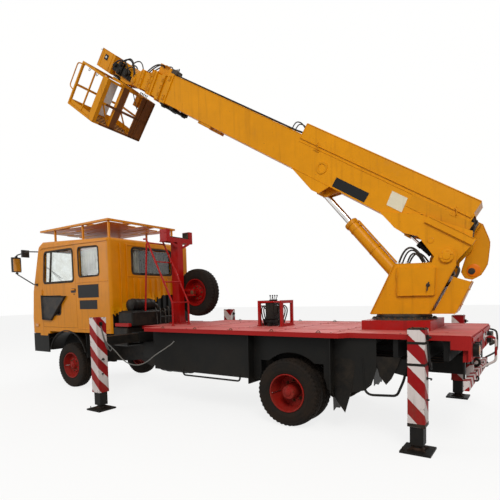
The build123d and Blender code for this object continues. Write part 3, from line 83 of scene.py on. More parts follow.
class Place:
    """An origin and three unit axes: a point (a, b, c) in it is origin + a*x + b*y + c*z."""

    def __init__(self, origin, x, z):
        self.origin = np.array(origin, float)
        self.x = np.array(x, float) / np.linalg.norm(x)
        self.z = np.array(z, float) / np.linalg.norm(z)
        self.y = np.cross(self.z, self.x)
        self.z = np.cross(self.x, self.y)

    def at(self, a, b=0.0, c=0.0):
        """One point of this place, in the frame."""
        return self.origin + a * self.x + b * self.y + c * self.z

    def all(self, points):
        """An array of this place's points, in the frame."""
        return self.origin + np.asarray(points, float) @ np.stack([self.x, self.y, self.z])

    def moved(self, a=0.0, b=0.0, c=0.0, s=1):
        """The same axes at another origin; with s = -1 the z is turned the other way."""
        return Place(self.at(a, b, c), self.x, self.z * s)

    def upright(self, a=0.0, b=0.0, c=0.0):
        """A place here whose z lies along this one's y."""
        return Place(self.at(a, b, c), self.x, self.y)

    def along(self, a=0.0, b=0.0, c=0.0):
        """A place here whose z lies along this one's x."""
        return Place(self.at(a, b, c), self.y, self.x)


WORLD = Place((0, 0, 0), X, Z)
SIDE = joint_axis("boom_lift")
BOOM = Place(joint_place("boom_lift"), joint_axis("second_section_slide"), SIDE)
LIFT = Place(joint_place("lift_barrel_swing"), joint_axis("lift_rod_slide"), SIDE)
LEVEL = Place(joint_place("level_barrel_swing"), joint_axis("level_rod_slide"), SIDE)
TURRET = Place(joint_place("slew") * (1, 1, 0), np.cross(Z, SIDE), SIDE)
BASKET_UP = joint_axis("basket_turn")
BASKET = Place(joint_place("basket_level"), np.cross(BASKET_UP, SIDE), SIDE)
REAR_X = joint_place("spin_rear_left")[0]
FRONT_X = joint_place("spin_front_left")[0]
AXLE_Z = joint_place("spin_rear_left")[2]


# ======================================================================
# Shapes: arrays of points and lists of faces
# ======================================================================
def surface(points, wrap_u=False, wrap_v=False, caps=False):
    """Faces over a (u, v, 3) grid of points. A wrap joins the last row or column to the first, and caps close
    both ends."""
    nu, nv = points.shape[:2]
    i, j = np.meshgrid(np.arange(nu if wrap_u else nu - 1), np.arange(nv if wrap_v else nv - 1), indexing="ij")
    i2, j2 = (i + 1) % nu, (j + 1) % nv
    faces = np.stack([i * nv + j, i2 * nv + j, i2 * nv + j2, i * nv + j2], -1).reshape(-1, 4).tolist()
    if caps:
        faces += [list(range(nv)), list(range(nu * nv - 1, (nu - 1) * nv - 1, -1))]
    return points.reshape(-1, 3), faces


def joined(*shapes):
    """Several shapes as one."""
    points, faces, start = [], [], 0
    for p, f in shapes:
        points.append(p)
        faces += [[k + start for k in face] for face in f]
        start += len(p)
    return np.concatenate(points), faces


def copies(shape, places):
    """A shape made in its own place, repeated at each Place of a list, as one array."""
    points, faces = shape
    axes = np.stack([np.stack([p.x, p.y, p.z]) for p in places])
    origins = np.stack([p.origin for p in places])
    moved = origins[:, None] + np.einsum("nk,pkd->pnd", points, axes)
    count = len(points)
    return moved.reshape(-1, 3), [[k + n * count for k in f] for n in range(len(places)) for f in faces]


def placed(shape, place):
    """A shape made in its own place, carried to one Place."""
    return place.all(shape[0]), shape[1]


def flipped(shape):
    """The same shape with its faces turned the other way."""
    return shape[0], [face[::-1] for face in shape[1]]


def block(place, size, chamfer=0.004):
    """A block about a place with chamfered edges: an eight-sided ring at four heights, drawn in at both ends."""
    hx, hy, hz = np.array(size, float) / 2
    c = min(chamfer, 0.9 * min(hx, hy, hz))
    ring = np.array([(hx - c, -hy), (hx, -hy + c), (hx, hy - c), (hx - c, hy), (-hx + c, hy), (-hx, hy - c),
                     (-hx, -hy + c), (-hx + c, -hy)])
    inner = np.sign(ring) * np.minimum(np.abs(ring), (hx - c, hy - c))
    rows = [np.c_[r, np.full(8, z)] for r, z in ((inner, -hz), (ring, -hz + c), (ring, hz - c), (inner, hz))]
    return placed(surface(np.array(rows)[::-1], wrap_v=True, caps=True), place)


def span(low, high, chamfer=0.004):
    """A chamfered block between two corners."""
    low, high = np.array(low, float), np.array(high, float)
    points, faces = block(WORLD, high - low, chamfer)
    return points + (low + high) / 2, faces


def prism(place, outline, low, high, chamfer=0.0):
    """An outline in a place's x and y carried from z = low to z = high, with the rim drawn in by the chamfer at
    both ends."""
    line = np.array(outline, float)
    centre = line.mean(0)
    reach = np.linalg.norm(line - centre, axis=1).mean()
    inner = centre + (line - centre) * (1 - chamfer / reach)
    turn = np.sum(line[:, 0] * np.roll(line[:, 1], -1) - np.roll(line[:, 0], -1) * line[:, 1])
    levels = ((line, low), (line, high))
    if chamfer:
        levels = ((inner, low), (line, low + chamfer), (line, high - chamfer), (inner, high))
    rows = np.array([np.c_[r, np.full(len(line), z)] for r, z in levels])
    shape = placed(surface(rows, wrap_v=True, caps=True), place)
    return flipped(shape) if turn > 0 else shape


def turned(place, profile, sides=32):
    """A surface of revolution about a place's z: each (radius, height) of the profile, at every angle."""
    r, h = np.array(profile, float).T
    a = np.linspace(0, 2 * math.pi, sides, endpoint=False)[:, None]
    points = np.stack([r * np.cos(a), r * np.sin(a), np.broadcast_to(h, (sides, len(r)))], -1)
    return placed(surface(points, wrap_u=True), place)


def lathe(place, profile, sides=32):
    """A solid of revolution about a place's z; its profile starts and ends off the axis, and flat caps close it."""
    r, h = np.array(profile, float).T
    a = np.linspace(0, 2 * math.pi, sides, endpoint=False)
    points = np.stack([r[:, None] * np.cos(a), r[:, None] * np.sin(a), np.repeat(h[:, None], sides, 1)], -1)
    shape = placed(surface(points, wrap_v=True, caps=True), place)
    return flipped(shape) if h[-1] > h[0] else shape


def carried(profile, path, normal=None, closed=False):
    """A closed profile carried along a path: at each point its x lies along the side and its y along the other
    side, both square to the path, and the side is the path's tangent crossed with a fixed normal."""
    path = np.array(path, float)
    profile = np.array(profile, float)
    tangent = np.roll(path, -1, 0) - np.roll(path, 1, 0) if closed else np.gradient(path, axis=0)
    tangent /= np.linalg.norm(tangent, axis=1)[:, None]
    if normal is None:
        normal = np.linalg.svd(path - path.mean(0))[2][-1]
        if np.abs(tangent @ normal).max() > 0.9:
            normal = np.linalg.svd(tangent[:1])[2][-1]
    across = np.cross(tangent, normal)
    across /= np.linalg.norm(across, axis=1)[:, None]
    other = np.cross(across, tangent)
    points = path[:, None] + profile[None, :, :1] * across[:, None] + profile[None, :, 1:] * other[:, None]
    return surface(points, wrap_u=closed, wrap_v=True, caps=not closed)


def ring_profile(radius, sides=10):
    """A circle as a profile."""
    a = np.linspace(0, 2 * math.pi, sides, endpoint=False)
    return np.c_[radius * np.cos(a), radius * np.sin(a)]


def box_profile(width, height, chamfer=0.003):
    """A rectangle with cut corners as a profile."""
    w, h, c = width / 2, height / 2, chamfer
    return np.array([(w, -h + c), (w, h - c), (w - c, h), (-w + c, h), (-w, h - c), (-w, -h + c),
                     (-w + c, -h), (w - c, -h)])


def rod(radius, sides, path, normal=None, closed=False):
    """A circle carried along a path."""
    return carried(ring_profile(radius, sides), path, normal, closed)


def bar(section, path, normal=None, closed=False):
    """A rectangle with cut corners, given by its width, height and chamfer, carried along a path."""
    return carried(box_profile(*section), path, normal, closed)


def bowed(start, bow, end, count):
    """Points of the quadratic curve (1 - t)^2 start + 2 t (1 - t) bow + t^2 end."""
    t = np.linspace(0, 1, count)[:, None]
    return (1 - t) ** 2 * start + 2 * t * (1 - t) * bow + t ** 2 * end


def rounded(points, radius, steps=5):
    """A path through straight runs whose corners are quadratic curves that start a radius from each corner."""
    p = np.array(points, float)
    path = [p[:1]]
    for before, corner, after in zip(p[:-2], p[1:-1], p[2:]):
        a = before - corner
        b = after - corner
        la, lb = np.linalg.norm(a), np.linalg.norm(b)
        start = corner + a / la * min(radius, la * 0.45)
        end = corner + b / lb * min(radius, lb * 0.45)
        path.append(bowed(start, corner, end, steps))
    path.append(p[-1:])
    return np.concatenate(path)


def flat_rounded(points, radius, height):
    """A path through points in x and y, with rounded corners, all at one height."""
    return rounded([(x, y, 0) for x, y in points], radius) + (0, 0, height)


def pipe(points, radius, bend=0.05, sides=10):
    """A round pipe along straight runs with rounded corners."""
    return rod(radius, sides, rounded(points, bend))


def arch(start, end, lift, count=18, sag=Z):
    """Points of a parabola from start to end that rises by lift along the sag direction."""
    t = np.linspace(0, 1, count)[:, None]
    return (1 - t) * np.array(start) + t * np.array(end) + 4 * t * (1 - t) * lift * np.array(sag)


def bolt(radius=0.011, height=0.009):
    """A hexagon head on a round washer, six and twelve sides carried up z."""
    a = np.radians(np.arange(0, 360, 60))
    hexagon = np.c_[np.cos(a), np.sin(a)]
    rows = [(1.0, height * 0.25), (1.0, height * 0.85), (0.82, height)]
    head = surface(np.array([np.c_[hexagon * radius * k, np.full(6, z)] for k, z in rows])[::-1],
                   wrap_v=True, caps=True)
    washer = lathe(WORLD, [(radius * 1.35, 0), (radius * 1.35, height * 0.2), (radius * 1.2, height * 0.27)], 12)
    return joined(head, washer)


def bolts(places, radius=0.011, height=0.009):
    """Bolts at each Place, standing along its z."""
    return copies(bolt(radius, height), places)


def facing(points, normal):
    """Places at each point whose z is the normal."""
    normal = np.array(normal, float)
    other = X if abs(normal[0]) < 0.9 * np.linalg.norm(normal) else Y
    return [Place(p, np.cross(other, normal), normal) for p in points]


SLOTS = {
    "tyre": "tyre", "rubber": "rubber", "hose rubber": "rubber", "grey hose": "rubber", "blind": "rubber",
    "curtain": "rubber", "cab paint": "yellow_paint", "boom paint": "yellow_paint", "cover paint": "yellow_paint",
    "basket paint": "yellow_paint", "brown paint": "yellow_paint", "orange cap": "yellow_paint",
    "deck top": "red_paint", "red paint": "red_paint", "wheel paint": "red_paint", "black paint": "black_paint",
    "oily black": "dark_iron", "rusty black": "dark_iron", "iron": "dark_iron", "rusty": "dark_iron",
    "bright": "dark_iron", "plastic": "black_plastic", "placard": "black_plastic", "cream plate": "black_plastic",
    "white plate": "black_plastic", "amber lens": "lamp_glass", "clear lens": "lamp_glass",
    "mirror glass": "chrome", "near stripes": "hazard_paint", "far stripes": "hazard_paint",
}


def piece(name, shape, body, material, slot=None, smooth=35.0, replaces=()):
    """Makes one mesh object from a shape or a list of them, with its material and body, and hides the nodes that it
    stands for; the slot, which goes by the material unless it is given, is looked up but not kept on the object."""
    points, faces = joined(*shape) if isinstance(shape, list) else shape
    mesh = bpy.data.meshes.new(name)
    mesh.from_pydata(np.asarray(points, float).tolist(), [], faces)
    mesh.validate()
    mesh.materials.append(finish(material))
    made = bpy.data.objects.new(name, mesh)
    bpy.context.scene.collection.objects.link(made)
    if smooth:
        mesh.shade_smooth()
        mesh.set_sharp_from_angle(angle=math.radians(smooth))
    slot = slot or SLOTS[material]
    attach(made, body)
    if replaces:
        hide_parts(*replaces)
    return made


# ======================================================================
# Sizes and colours that a user would change
# ======================================================================
def size(name, text, value, low=0.0):
    """A length that a user would change."""
    return FloatProperty(name=name, description=text, default=value, min=low, unit="LENGTH")


def colour(name, text, value):
    """A colour that a user would change."""
    return FloatVectorProperty(name=name, description=text, default=value, size=3, min=0, max=1, subtype="COLOR")


class TruckSizes(bpy.types.PropertyGroup):
    """Sizes of the fittings that the frame doesn't hold."""

    tread_depth: size("Tread depth", "Depth of the grooves in the tyres", 0.013)
    tread_pitch: IntProperty(name="Tread pitches", description="Shoulder blocks round a tyre", default=44, min=8)
    bolt_radius: size("Bolt radius", "Half the width of a bolt head", 0.012)
    hose_radius: size("Hose radius", "Half the thickness of a hydraulic hose", 0.011)
    seal_width: size("Seal width", "Width of the rubber seals round the windows", 0.03)
    stripe_pitch: size("Stripe pitch", "Height of one red and one white stripe", 0.368)


class TruckColours(bpy.types.PropertyGroup):
    """Colours of the paints and rubbers."""

    yellow: colour("Yellow", "Paint of the cab and the boom", (0.66, 0.235, 0.006))
    boom_yellow: colour("Boom yellow", "Paint of the boom, turret and basket", (0.7, 0.275, 0.005))
    red: colour("Red", "Paint of the deck sides, ladder and wheels", (0.36, 0.013, 0.012))
    deck_red: colour("Deck red", "Scuffed paint on top of the deck", (0.56, 0.105, 0.1))
    wheel_red: colour("Wheel red", "Paint of the wheels", (0.28, 0.01, 0.009))
    # This black is also painted into the torn hole of the cab's rear wall, as its shade.
    black: colour("Chassis black", "Paint of the frame rails and tanks", (0.005, 0.005, 0.0045))
    stripe_red: colour("Stripe red", "Dark stripes on the outriggers", (0.3, 0.011, 0.014))
    stripe_white: colour("Stripe white", "Pale stripes on the outriggers", (0.74, 0.66, 0.64))
    rubber: colour("Rubber", "Tyres, seals and flaps", (0.01, 0.008, 0.0065))
    dust: colour("Dust", "Road dust that settles on everything", (0.19, 0.135, 0.085))


# ======================================================================
# Finishes: shared effects are node groups, placed in each material
# ======================================================================
PAINT_SHINE, GRIME_SHINE = 0.16, 0.14


def object_point(tree):
    """The Object coordinates of the point that is shaded."""
    return tree.nodes.new("ShaderNodeTexCoord").outputs["Object"]


def face_normal(tree):
    """The normal of the surface."""
    return tree.nodes.new("ShaderNodeNewGeometry").outputs["Normal"]


def put(tree, kind, inputs=None, **settings):
    """Adds a node with its settings; an input is a value, or a socket to link."""
    node = tree.nodes.new(kind)
    for key, value in settings.items():
        setattr(node, key, value)
    for key, value in (inputs or {}).items():
        if isinstance(value, bpy.types.NodeSocket):
            tree.links.new(value, node.inputs[key])
        else:
            node.inputs[key].default_value = value
    return node


def split(tree, vector):
    """The X, Y and Z of a vector."""
    return put(tree, "ShaderNodeSeparateXYZ", {0: vector}).outputs


def noise(tree, where, scale, detail=4.0, rough=0.55, distortion=0.0):
    """The value of a noise at some coordinates."""
    return put(tree, "ShaderNodeTexNoise", {"Vector": where, "Scale": scale, "Detail": detail, "Roughness": rough,
                                            "Distortion": distortion}).outputs[0]


def stretched(tree, where, scale, turn=(0, 0, 0)):
    """Coordinates scaled, and turned, by a mapping node."""
    return put(tree, "ShaderNodeMapping", {"Vector": where, "Scale": scale, "Rotation": turn}).outputs[0]


def ramp(tree, value, low, high):
    """0 below low, 1 above high and smooth between."""
    return put(tree, "ShaderNodeMapRange", {"Value": value, "From Min": low, "From Max": high},
               interpolation_type="SMOOTHSTEP").outputs[0]


def math_of(tree, kind, a, b=0.0):
    """One Math node on two sockets or values."""
    return put(tree, "ShaderNodeMath", {0: a, 1: b}, operation=kind).outputs[0]


def plus(tree, a, b):
    """The sum of two sockets or values."""
    return math_of(tree, "ADD", a, b)


def minus(tree, a, b):
    """The first socket or value less the second."""
    return math_of(tree, "SUBTRACT", a, b)


def times(tree, a, b):
    """The product of two sockets or values."""
    return math_of(tree, "MULTIPLY", a, b)


def mix_of(tree, factor, a, b):
    """A colour between a and b."""
    node = tree.nodes.new("ShaderNodeMix")
    node.data_type = "RGBA"
    for index, value in ((0, factor), (6, a), (7, b)):
        if isinstance(value, bpy.types.NodeSocket):
            tree.links.new(value, node.inputs[index])
        else:
            node.inputs[index].default_value = value if index == 0 else (*value[:3], 1.0)
    return node.outputs[2]


def group(name, inputs, outputs):
    """A new node group with named sockets, with its inputs' and its outputs' sockets."""
    tree = bpy.data.node_groups.new(name, "ShaderNodeTree")
    for label, kind, value in inputs:
        socket = tree.interface.new_socket(label, in_out="INPUT", socket_type="NodeSocket" + kind)
        if value is not None:
            socket.default_value = value
    for label, kind in outputs:
        tree.interface.new_socket(label, in_out="OUTPUT", socket_type="NodeSocket" + kind)
    return tree, tree.nodes.new("NodeGroupInput").outputs, tree.nodes.new("NodeGroupOutput").inputs


def worn_paint_group():
    """Old paint: broad fading, dust low down and on top faces, rain streaks, rust chips and scratches."""
    tree, given, made = group("Worn Paint", [("Paint", "Color", (0.8, 0.4, 0.0, 1)),
                                             ("Dust", "Color", (0.2, 0.15, 0.1, 1)),
                                             ("Rust", "Color", (0.07, 0.025, 0.01, 1)), ("Chips", "Float", 0.3),
                                             ("Streaks", "Float", 0.4), ("Dust Amount", "Float", 0.4),
                                             ("Grain", "Float", 30.0), ("Gloss", "Float", 0.35)],
                              [("Color", "Color"), ("Roughness", "Float"), ("Height", "Float")])
    where = object_point(tree)
    broad = noise(tree, where, 1.1, 3.0)
    patchy = noise(tree, where, 6.5, 5.0, 0.6)
    tint = plus(tree, times(tree, broad, 0.6), times(tree, patchy, 0.4))
    faded = put(tree, "ShaderNodeHueSaturation",
                {"Hue": 0.5, "Saturation": plus(tree, 0.93, times(tree, tint, 0.2)),
                 "Value": plus(tree, 0.72, times(tree, tint, 0.52)), "Color": given["Paint"]}).outputs[0]
    run = noise(tree, stretched(tree, where, (14.0, 14.0, 0.9)), 1.0, 5.0, 0.65)
    streak = times(tree, ramp(tree, run, 0.5, 0.72), given["Streaks"])
    dark = put(tree, "ShaderNodeVectorMath", {0: given["Paint"], 1: (0.42, 0.38, 0.34)},
               operation="MULTIPLY").outputs[0]
    colour_now = mix_of(tree, streak, faded, dark)
    upward = split(tree, face_normal(tree))
    height = split(tree, where)["Z"]
    low = ramp(tree, minus(tree, 1.7, height), 0.0, 1.6)
    top = ramp(tree, upward["Z"], 0.55, 1.0)
    settle = math_of(tree, "MAXIMUM", times(tree, low, 0.75), times(tree, top, 0.6))
    cloud = ramp(tree, noise(tree, where, 3.3, 6.0, 0.68), 0.3, 0.75)
    dusty = times(tree, times(tree, settle, cloud), given["Dust Amount"])
    colour_now = mix_of(tree, dusty, colour_now, given["Dust"])
    fleck = noise(tree, where, given["Grain"], 6.0, 0.7, 0.4)
    spread = ramp(tree, patchy, 0.42, 0.7)
    edge = tree.nodes.new("ShaderNodeBevel")
    edge.samples = 3
    edge.inputs["Radius"].default_value = 0.012
    flat = face_normal(tree)
    same = put(tree, "ShaderNodeVectorMath", {0: edge.outputs[0], 1: flat},
               operation="DOT_PRODUCT").outputs["Value"]
    corner = ramp(tree, minus(tree, 1.0, same), 0.02, 0.2)
    reach = plus(tree, times(tree, corner, 0.16), times(tree, spread, 0.06))
    reach = times(tree, reach, given["Chips"])
    chip = ramp(tree, plus(tree, fleck, reach), 0.685, 0.715)
    colour_now = mix_of(tree, chip, colour_now, given["Rust"])
    tree.links.new(colour_now, made["Color"])
    rough = plus(tree, given["Gloss"], times(tree, tint, 0.18))
    rough = plus(tree, rough, times(tree, dusty, 0.45))
    tree.links.new(plus(tree, rough, times(tree, chip, 0.35)), made["Roughness"])
    orange_peel = noise(tree, where, 160.0, 2.0)
    dents = noise(tree, where, 2.6, 2.0)
    bump = plus(tree, times(tree, orange_peel, 0.06), times(tree, dents, 0.9))
    tree.links.new(minus(tree, bump, times(tree, chip, 0.35)), made["Height"])
    return tree


def stripes_group():
    """Slanted stripes: 1 on a stripe, 0 between, worn through at their edges."""
    tree, given, made = group("Slanted Stripes", [("Pitch", "Float", 0.45), ("Slant", "Float", 1.2),
                                                  ("Cross", "Float", -1.0), ("Start", "Float", 0.0)],
                              [("Mask", "Float")])
    where = object_point(tree)
    part = split(tree, where)
    across = plus(tree, part["X"], times(tree, part["Y"], given["Cross"]))
    line = plus(tree, part["Z"], times(tree, across, given["Slant"]))
    line = plus(tree, line, given["Start"])
    ragged = times(tree, minus(tree, noise(tree, where, 40.0), 0.5), 0.012)
    phase = math_of(tree, "FRACT", math_of(tree, "DIVIDE", plus(tree, line, ragged), given["Pitch"]))
    away = math_of(tree, "ABSOLUTE", minus(tree, phase, 0.5))
    tree.links.new(ramp(tree, away, 0.242, 0.256), made["Mask"])
    return tree


def grime_group():
    """Dust and grease on rubber and iron: colour, roughness and a fine grain."""
    tree, given, made = group("Grime", [("Base", "Color", (0.02, 0.02, 0.02, 1)),
                                        ("Dust", "Color", (0.2, 0.15, 0.1, 1)), ("Amount", "Float", 0.5),
                                        ("Grain", "Float", 120.0), ("Rough", "Float", 0.6)],
                              [("Color", "Color"), ("Roughness", "Float"), ("Height", "Float")])
    where = object_point(tree)
    cloud = ramp(tree, noise(tree, where, 4.5, 7.0, 0.7), 0.35, 0.78)
    fine = noise(tree, where, given["Grain"], 3.0)
    dusty = times(tree, times(tree, cloud, given["Amount"]), plus(tree, 0.55, times(tree, fine, 0.9)))
    tree.links.new(mix_of(tree, dusty, given["Base"], given["Dust"]), made["Color"])
    tree.links.new(plus(tree, given["Rough"], times(tree, dusty, 0.3)), made["Roughness"])
    tree.links.new(plus(tree, fine, times(tree, cloud, 0.6)), made["Height"])
    return tree


GROUPS = {}


def shared(name):
    """A shared effect, built once."""
    makers = {"Worn Paint": worn_paint_group, "Slanted Stripes": stripes_group, "Grime": grime_group}
    if name not in GROUPS:
        GROUPS[name] = makers[name]()
    return GROUPS[name]


def placed_group(tree, name, **inputs):
    """A shared effect placed in a material, with its inputs by name."""
    node = tree.nodes.new("ShaderNodeGroup")
    node.node_tree = shared(name)
    for key, value in inputs.items():
        socket = node.inputs[key.replace("_", " ")]
        if isinstance(value, bpy.types.NodeSocket):
            tree.links.new(value, socket)
        else:
            socket.default_value = (*value, 1.0) if hasattr(value, "__len__") else value
    return node.outputs


def blank_material(name):
    """A material with only a Principled surface."""
    made = bpy.data.materials.new(name)
    made.use_nodes = True
    tree = made.node_tree
    return made, tree, tree.nodes["Principled BSDF"]


def preset(face, **values):
    """Sets inputs of the surface by name."""
    for key, value in values.items():
        face.inputs[key.replace("_", " ")].default_value = value


def surfaced(tree, surface_node, effect, distance, strength=1.0):
    """Links an effect's colour, roughness and height to the surface."""
    tree.links.new(effect["Color"], surface_node.inputs["Base Color"])
    tree.links.new(effect["Roughness"], surface_node.inputs["Roughness"])
    bump = put(tree, "ShaderNodeBump", {"Height": effect["Height"], "Distance": distance, "Strength": strength})
    tree.links.new(bump.outputs[0], surface_node.inputs["Normal"])


def paint(name, colour_now, chips=0.5, streaks=0.4, dust=0.5, gloss=0.3, grain=34.0, coat=0.06):
    """Worn vehicle paint."""
    made, tree, face = blank_material(name)
    effect = placed_group(tree, "Worn Paint", Paint=tuple(colour_now), Dust=tuple(colours().dust), Chips=chips,
                          Streaks=streaks, Dust_Amount=dust, Gloss=gloss, Grain=grain)
    surfaced(tree, face, effect, 0.004)
    preset(face, Coat_Weight=coat, Coat_Roughness=0.22, Specular_IOR_Level=PAINT_SHINE)
    return made


def paint_with_painted_hole_shade(name, colour_now, chips, streaks, dust, gloss):
    """The cab's paint; below a ragged line on its rear wall the sheet is torn away, and black is painted there as
    the shade of the hole behind it.
    """
    made = paint(name, colour_now, chips, streaks, dust, gloss)
    tree, face = made.node_tree, made.node_tree.nodes["Principled BSDF"]
    worn = face.inputs["Base Color"].links[0].from_socket
    where = object_point(tree)
    part = split(tree, where)
    edge = minus(tree, 1.8, times(tree, part["Y"], 0.27))
    edge = plus(tree, edge, times(tree, noise(tree, where, 7.0, 4.0), 0.12))
    below = math_of(tree, "LESS_THAN", part["Z"], math_of(tree, "MINIMUM", edge, 1.93))
    behind = math_of(tree, "LESS_THAN", part["X"], REAR_X + 3.806)
    # Painted shade: on the rear wall, black below the ragged line stands for the dark hole behind the torn sheet.
    black = mix_of(tree, times(tree, below, behind), worn, tuple(colours().black))
    tree.links.new(black, face.inputs["Base Color"])
    return made


def grimy(name, colour_now, amount=0.5, grain=120.0, rough=0.6, metal=0.0, bump=0.001, dust=None):
    """Rubber, iron or plastic under dust."""
    made, tree, face = blank_material(name)
    effect = placed_group(tree, "Grime", Base=tuple(colour_now), Dust=tuple(dust or colours().dust), Amount=amount,
                          Grain=grain, Rough=rough)
    surfaced(tree, face, effect, bump)
    preset(face, Specular_IOR_Level=GRIME_SHINE, Metallic=metal)
    return made


def striped(name, start, slant, cross=1.0, pitch=None, inner=0.0):
    """Hazard stripes under worn paint; what lies nearer the middle than the inner width is black."""
    made, tree, face = blank_material(name)
    mask = placed_group(tree, "Slanted Stripes", Pitch=pitch or sizes().stripe_pitch, Slant=slant,
                        Cross=cross, Start=start)["Mask"]
    both = mix_of(tree, mask, tuple(colours().stripe_white), tuple(colours().stripe_red))
    if inner:
        where = object_point(tree)
        off = math_of(tree, "ABSOLUTE", split(tree, where)["Y"])
        both = mix_of(tree, math_of(tree, "LESS_THAN", off, inner), both, tuple(colours().black))
    effect = placed_group(tree, "Worn Paint", Paint=both, Dust=tuple(colours().dust), Chips=1.0, Streaks=0.35,
                          Dust_Amount=0.35, Gloss=0.42, Grain=26.0)
    surfaced(tree, face, effect, 0.003)
    preset(face, Specular_IOR_Level=PAINT_SHINE)
    return made


DECK_EDGE_LOW = 1.2795


def deck_paint(name):
    """Red deck plate: scuffed pink by feet and loads, with raised lozenges and dust in patches; its bearers are
    black, and only the panels at its rear end stay red."""
    made, tree, face = blank_material(name)
    effect = placed_group(tree, "Worn Paint", Paint=tuple(colours().deck_red), Dust=(0.3, 0.2, 0.16), Chips=0.9,
                          Streaks=0.0, Dust_Amount=0.75, Gloss=0.5, Grain=18.0)
    where = object_point(tree)
    long = noise(tree, stretched(tree, where, (0.7, 5.0, 1.0)), 1.6, 6.0, 0.7)
    up = split(tree, face_normal(tree))[2]
    scuff = times(tree, ramp(tree, long, 0.42, 0.74), ramp(tree, up, 0.6, 0.95))
    mixed = mix_of(tree, times(tree, scuff, 0.55), effect["Color"], (0.66, 0.2, 0.17))
    side_red = mix_of(tree, ramp(tree, up, 0.3, 0.8), tuple(colours().red), mixed)
    part = split(tree, where)
    under = math_of(tree, "LESS_THAN", part["Z"], DECK_EDGE_LOW)
    ahead = math_of(tree, "GREATER_THAN", part["X"], REAR_X - 2.07)
    side_red = mix_of(tree, times(tree, under, ahead), side_red, tuple(colours().black))
    tree.links.new(side_red, face.inputs["Base Color"])
    tree.links.new(effect["Roughness"], face.inputs["Roughness"])
    preset(face, Specular_IOR_Level=PAINT_SHINE)
    lozenge = put(tree, "ShaderNodeTexWave", {"Vector": stretched(tree, where, (1, 1, 0), (0, 0, 0.785)),
                                              "Scale": 12.0, "Distortion": 0.0}).outputs[1]
    bump = put(tree, "ShaderNodeBump", {"Height": plus(tree, effect["Height"], times(tree, lozenge, 0.15)),
                                        "Distance": 0.003})
    tree.links.new(bump.outputs[0], face.inputs["Normal"])
    return made


def window_glass(name):
    """Tinted glass with a dusty film in patches."""
    made, tree, face = blank_material(name)
    where = object_point(tree)
    film = ramp(tree, noise(tree, where, 3.0, 6.0, 0.7), 0.35, 0.85)
    tree.links.new(mix_of(tree, film, (0.93, 0.96, 0.95), (0.72, 0.72, 0.66)), face.inputs["Base Color"])
    tree.links.new(plus(tree, 0.03, times(tree, film, 0.12)), face.inputs["Roughness"])
    preset(face, Transmission_Weight=1.0, IOR=1.45)
    return made


def polished(name, colour_now, rough=0.12):
    """Chromed or bright steel with a film of oil."""
    made, tree, face = blank_material(name)
    effect = placed_group(tree, "Grime", Base=tuple(colour_now), Dust=(0.1, 0.08, 0.06), Amount=0.35,
                          Grain=60.0, Rough=rough)
    surfaced(tree, face, effect, 0.0004)
    preset(face, Metallic=1.0)
    return made


def lens(name, colour_now, ahead=None):
    """A moulded lamp lens with fine ribs; a second colour is for the lamps in the truck's front half."""
    made, tree, face = blank_material(name)
    where = object_point(tree)
    ribs = put(tree, "ShaderNodeTexWave", {"Vector": where, "Scale": 28.0, "Distortion": 0.0},
               bands_direction="DIAGONAL").outputs[1]
    cloud = noise(tree, where, 22.0, 4.0)
    dark = tuple(0.45 * c for c in colour_now)
    tint = mix_of(tree, cloud, dark, tuple(colour_now))
    if ahead:
        front = math_of(tree, "GREATER_THAN", split(tree, where)["X"], 0.0)
        tint = mix_of(tree, front, tint, tuple(ahead))
    tree.links.new(tint, face.inputs["Base Color"])
    tree.links.new(plus(tree, 0.1, times(tree, cloud, 0.2)), face.inputs["Roughness"])
    bump = put(tree, "ShaderNodeBump", {"Height": ribs, "Distance": 0.002})
    tree.links.new(bump.outputs[0], face.inputs["Normal"])
    preset(face, Coat_Weight=0.6)
    return made


def woven(name, colour_now, pitch=260.0):
    """Seat cloth: two crossed waves for the weave, with soft fading."""
    made, tree, face = blank_material(name)
    where = object_point(tree)
    warp = put(tree, "ShaderNodeTexWave", {"Vector": where, "Scale": pitch, "Distortion": 0.4},
               bands_direction="X").outputs[1]
    weft = put(tree, "ShaderNodeTexWave", {"Vector": where, "Scale": pitch, "Distortion": 0.4},
               bands_direction="Z").outputs[1]
    faded = ramp(tree, noise(tree, where, 5.0, 5.0), 0.3, 0.8)
    pale = tuple(min(1.0, 2.0 * c + 0.006) for c in colour_now)
    tree.links.new(mix_of(tree, faded, tuple(colour_now), pale), face.inputs["Base Color"])
    bump = put(tree, "ShaderNodeBump", {"Height": times(tree, warp, weft), "Distance": 0.0015})
    tree.links.new(bump.outputs[0], face.inputs["Normal"])
    preset(face, Roughness=0.9, Sheen_Weight=0.3)
    return made


def sizes():
    """The scene's values of the sizes."""
    return bpy.context.scene.truck_sizes


def colours():
    """The scene's values of the colours."""
    return bpy.context.scene.truck_colours


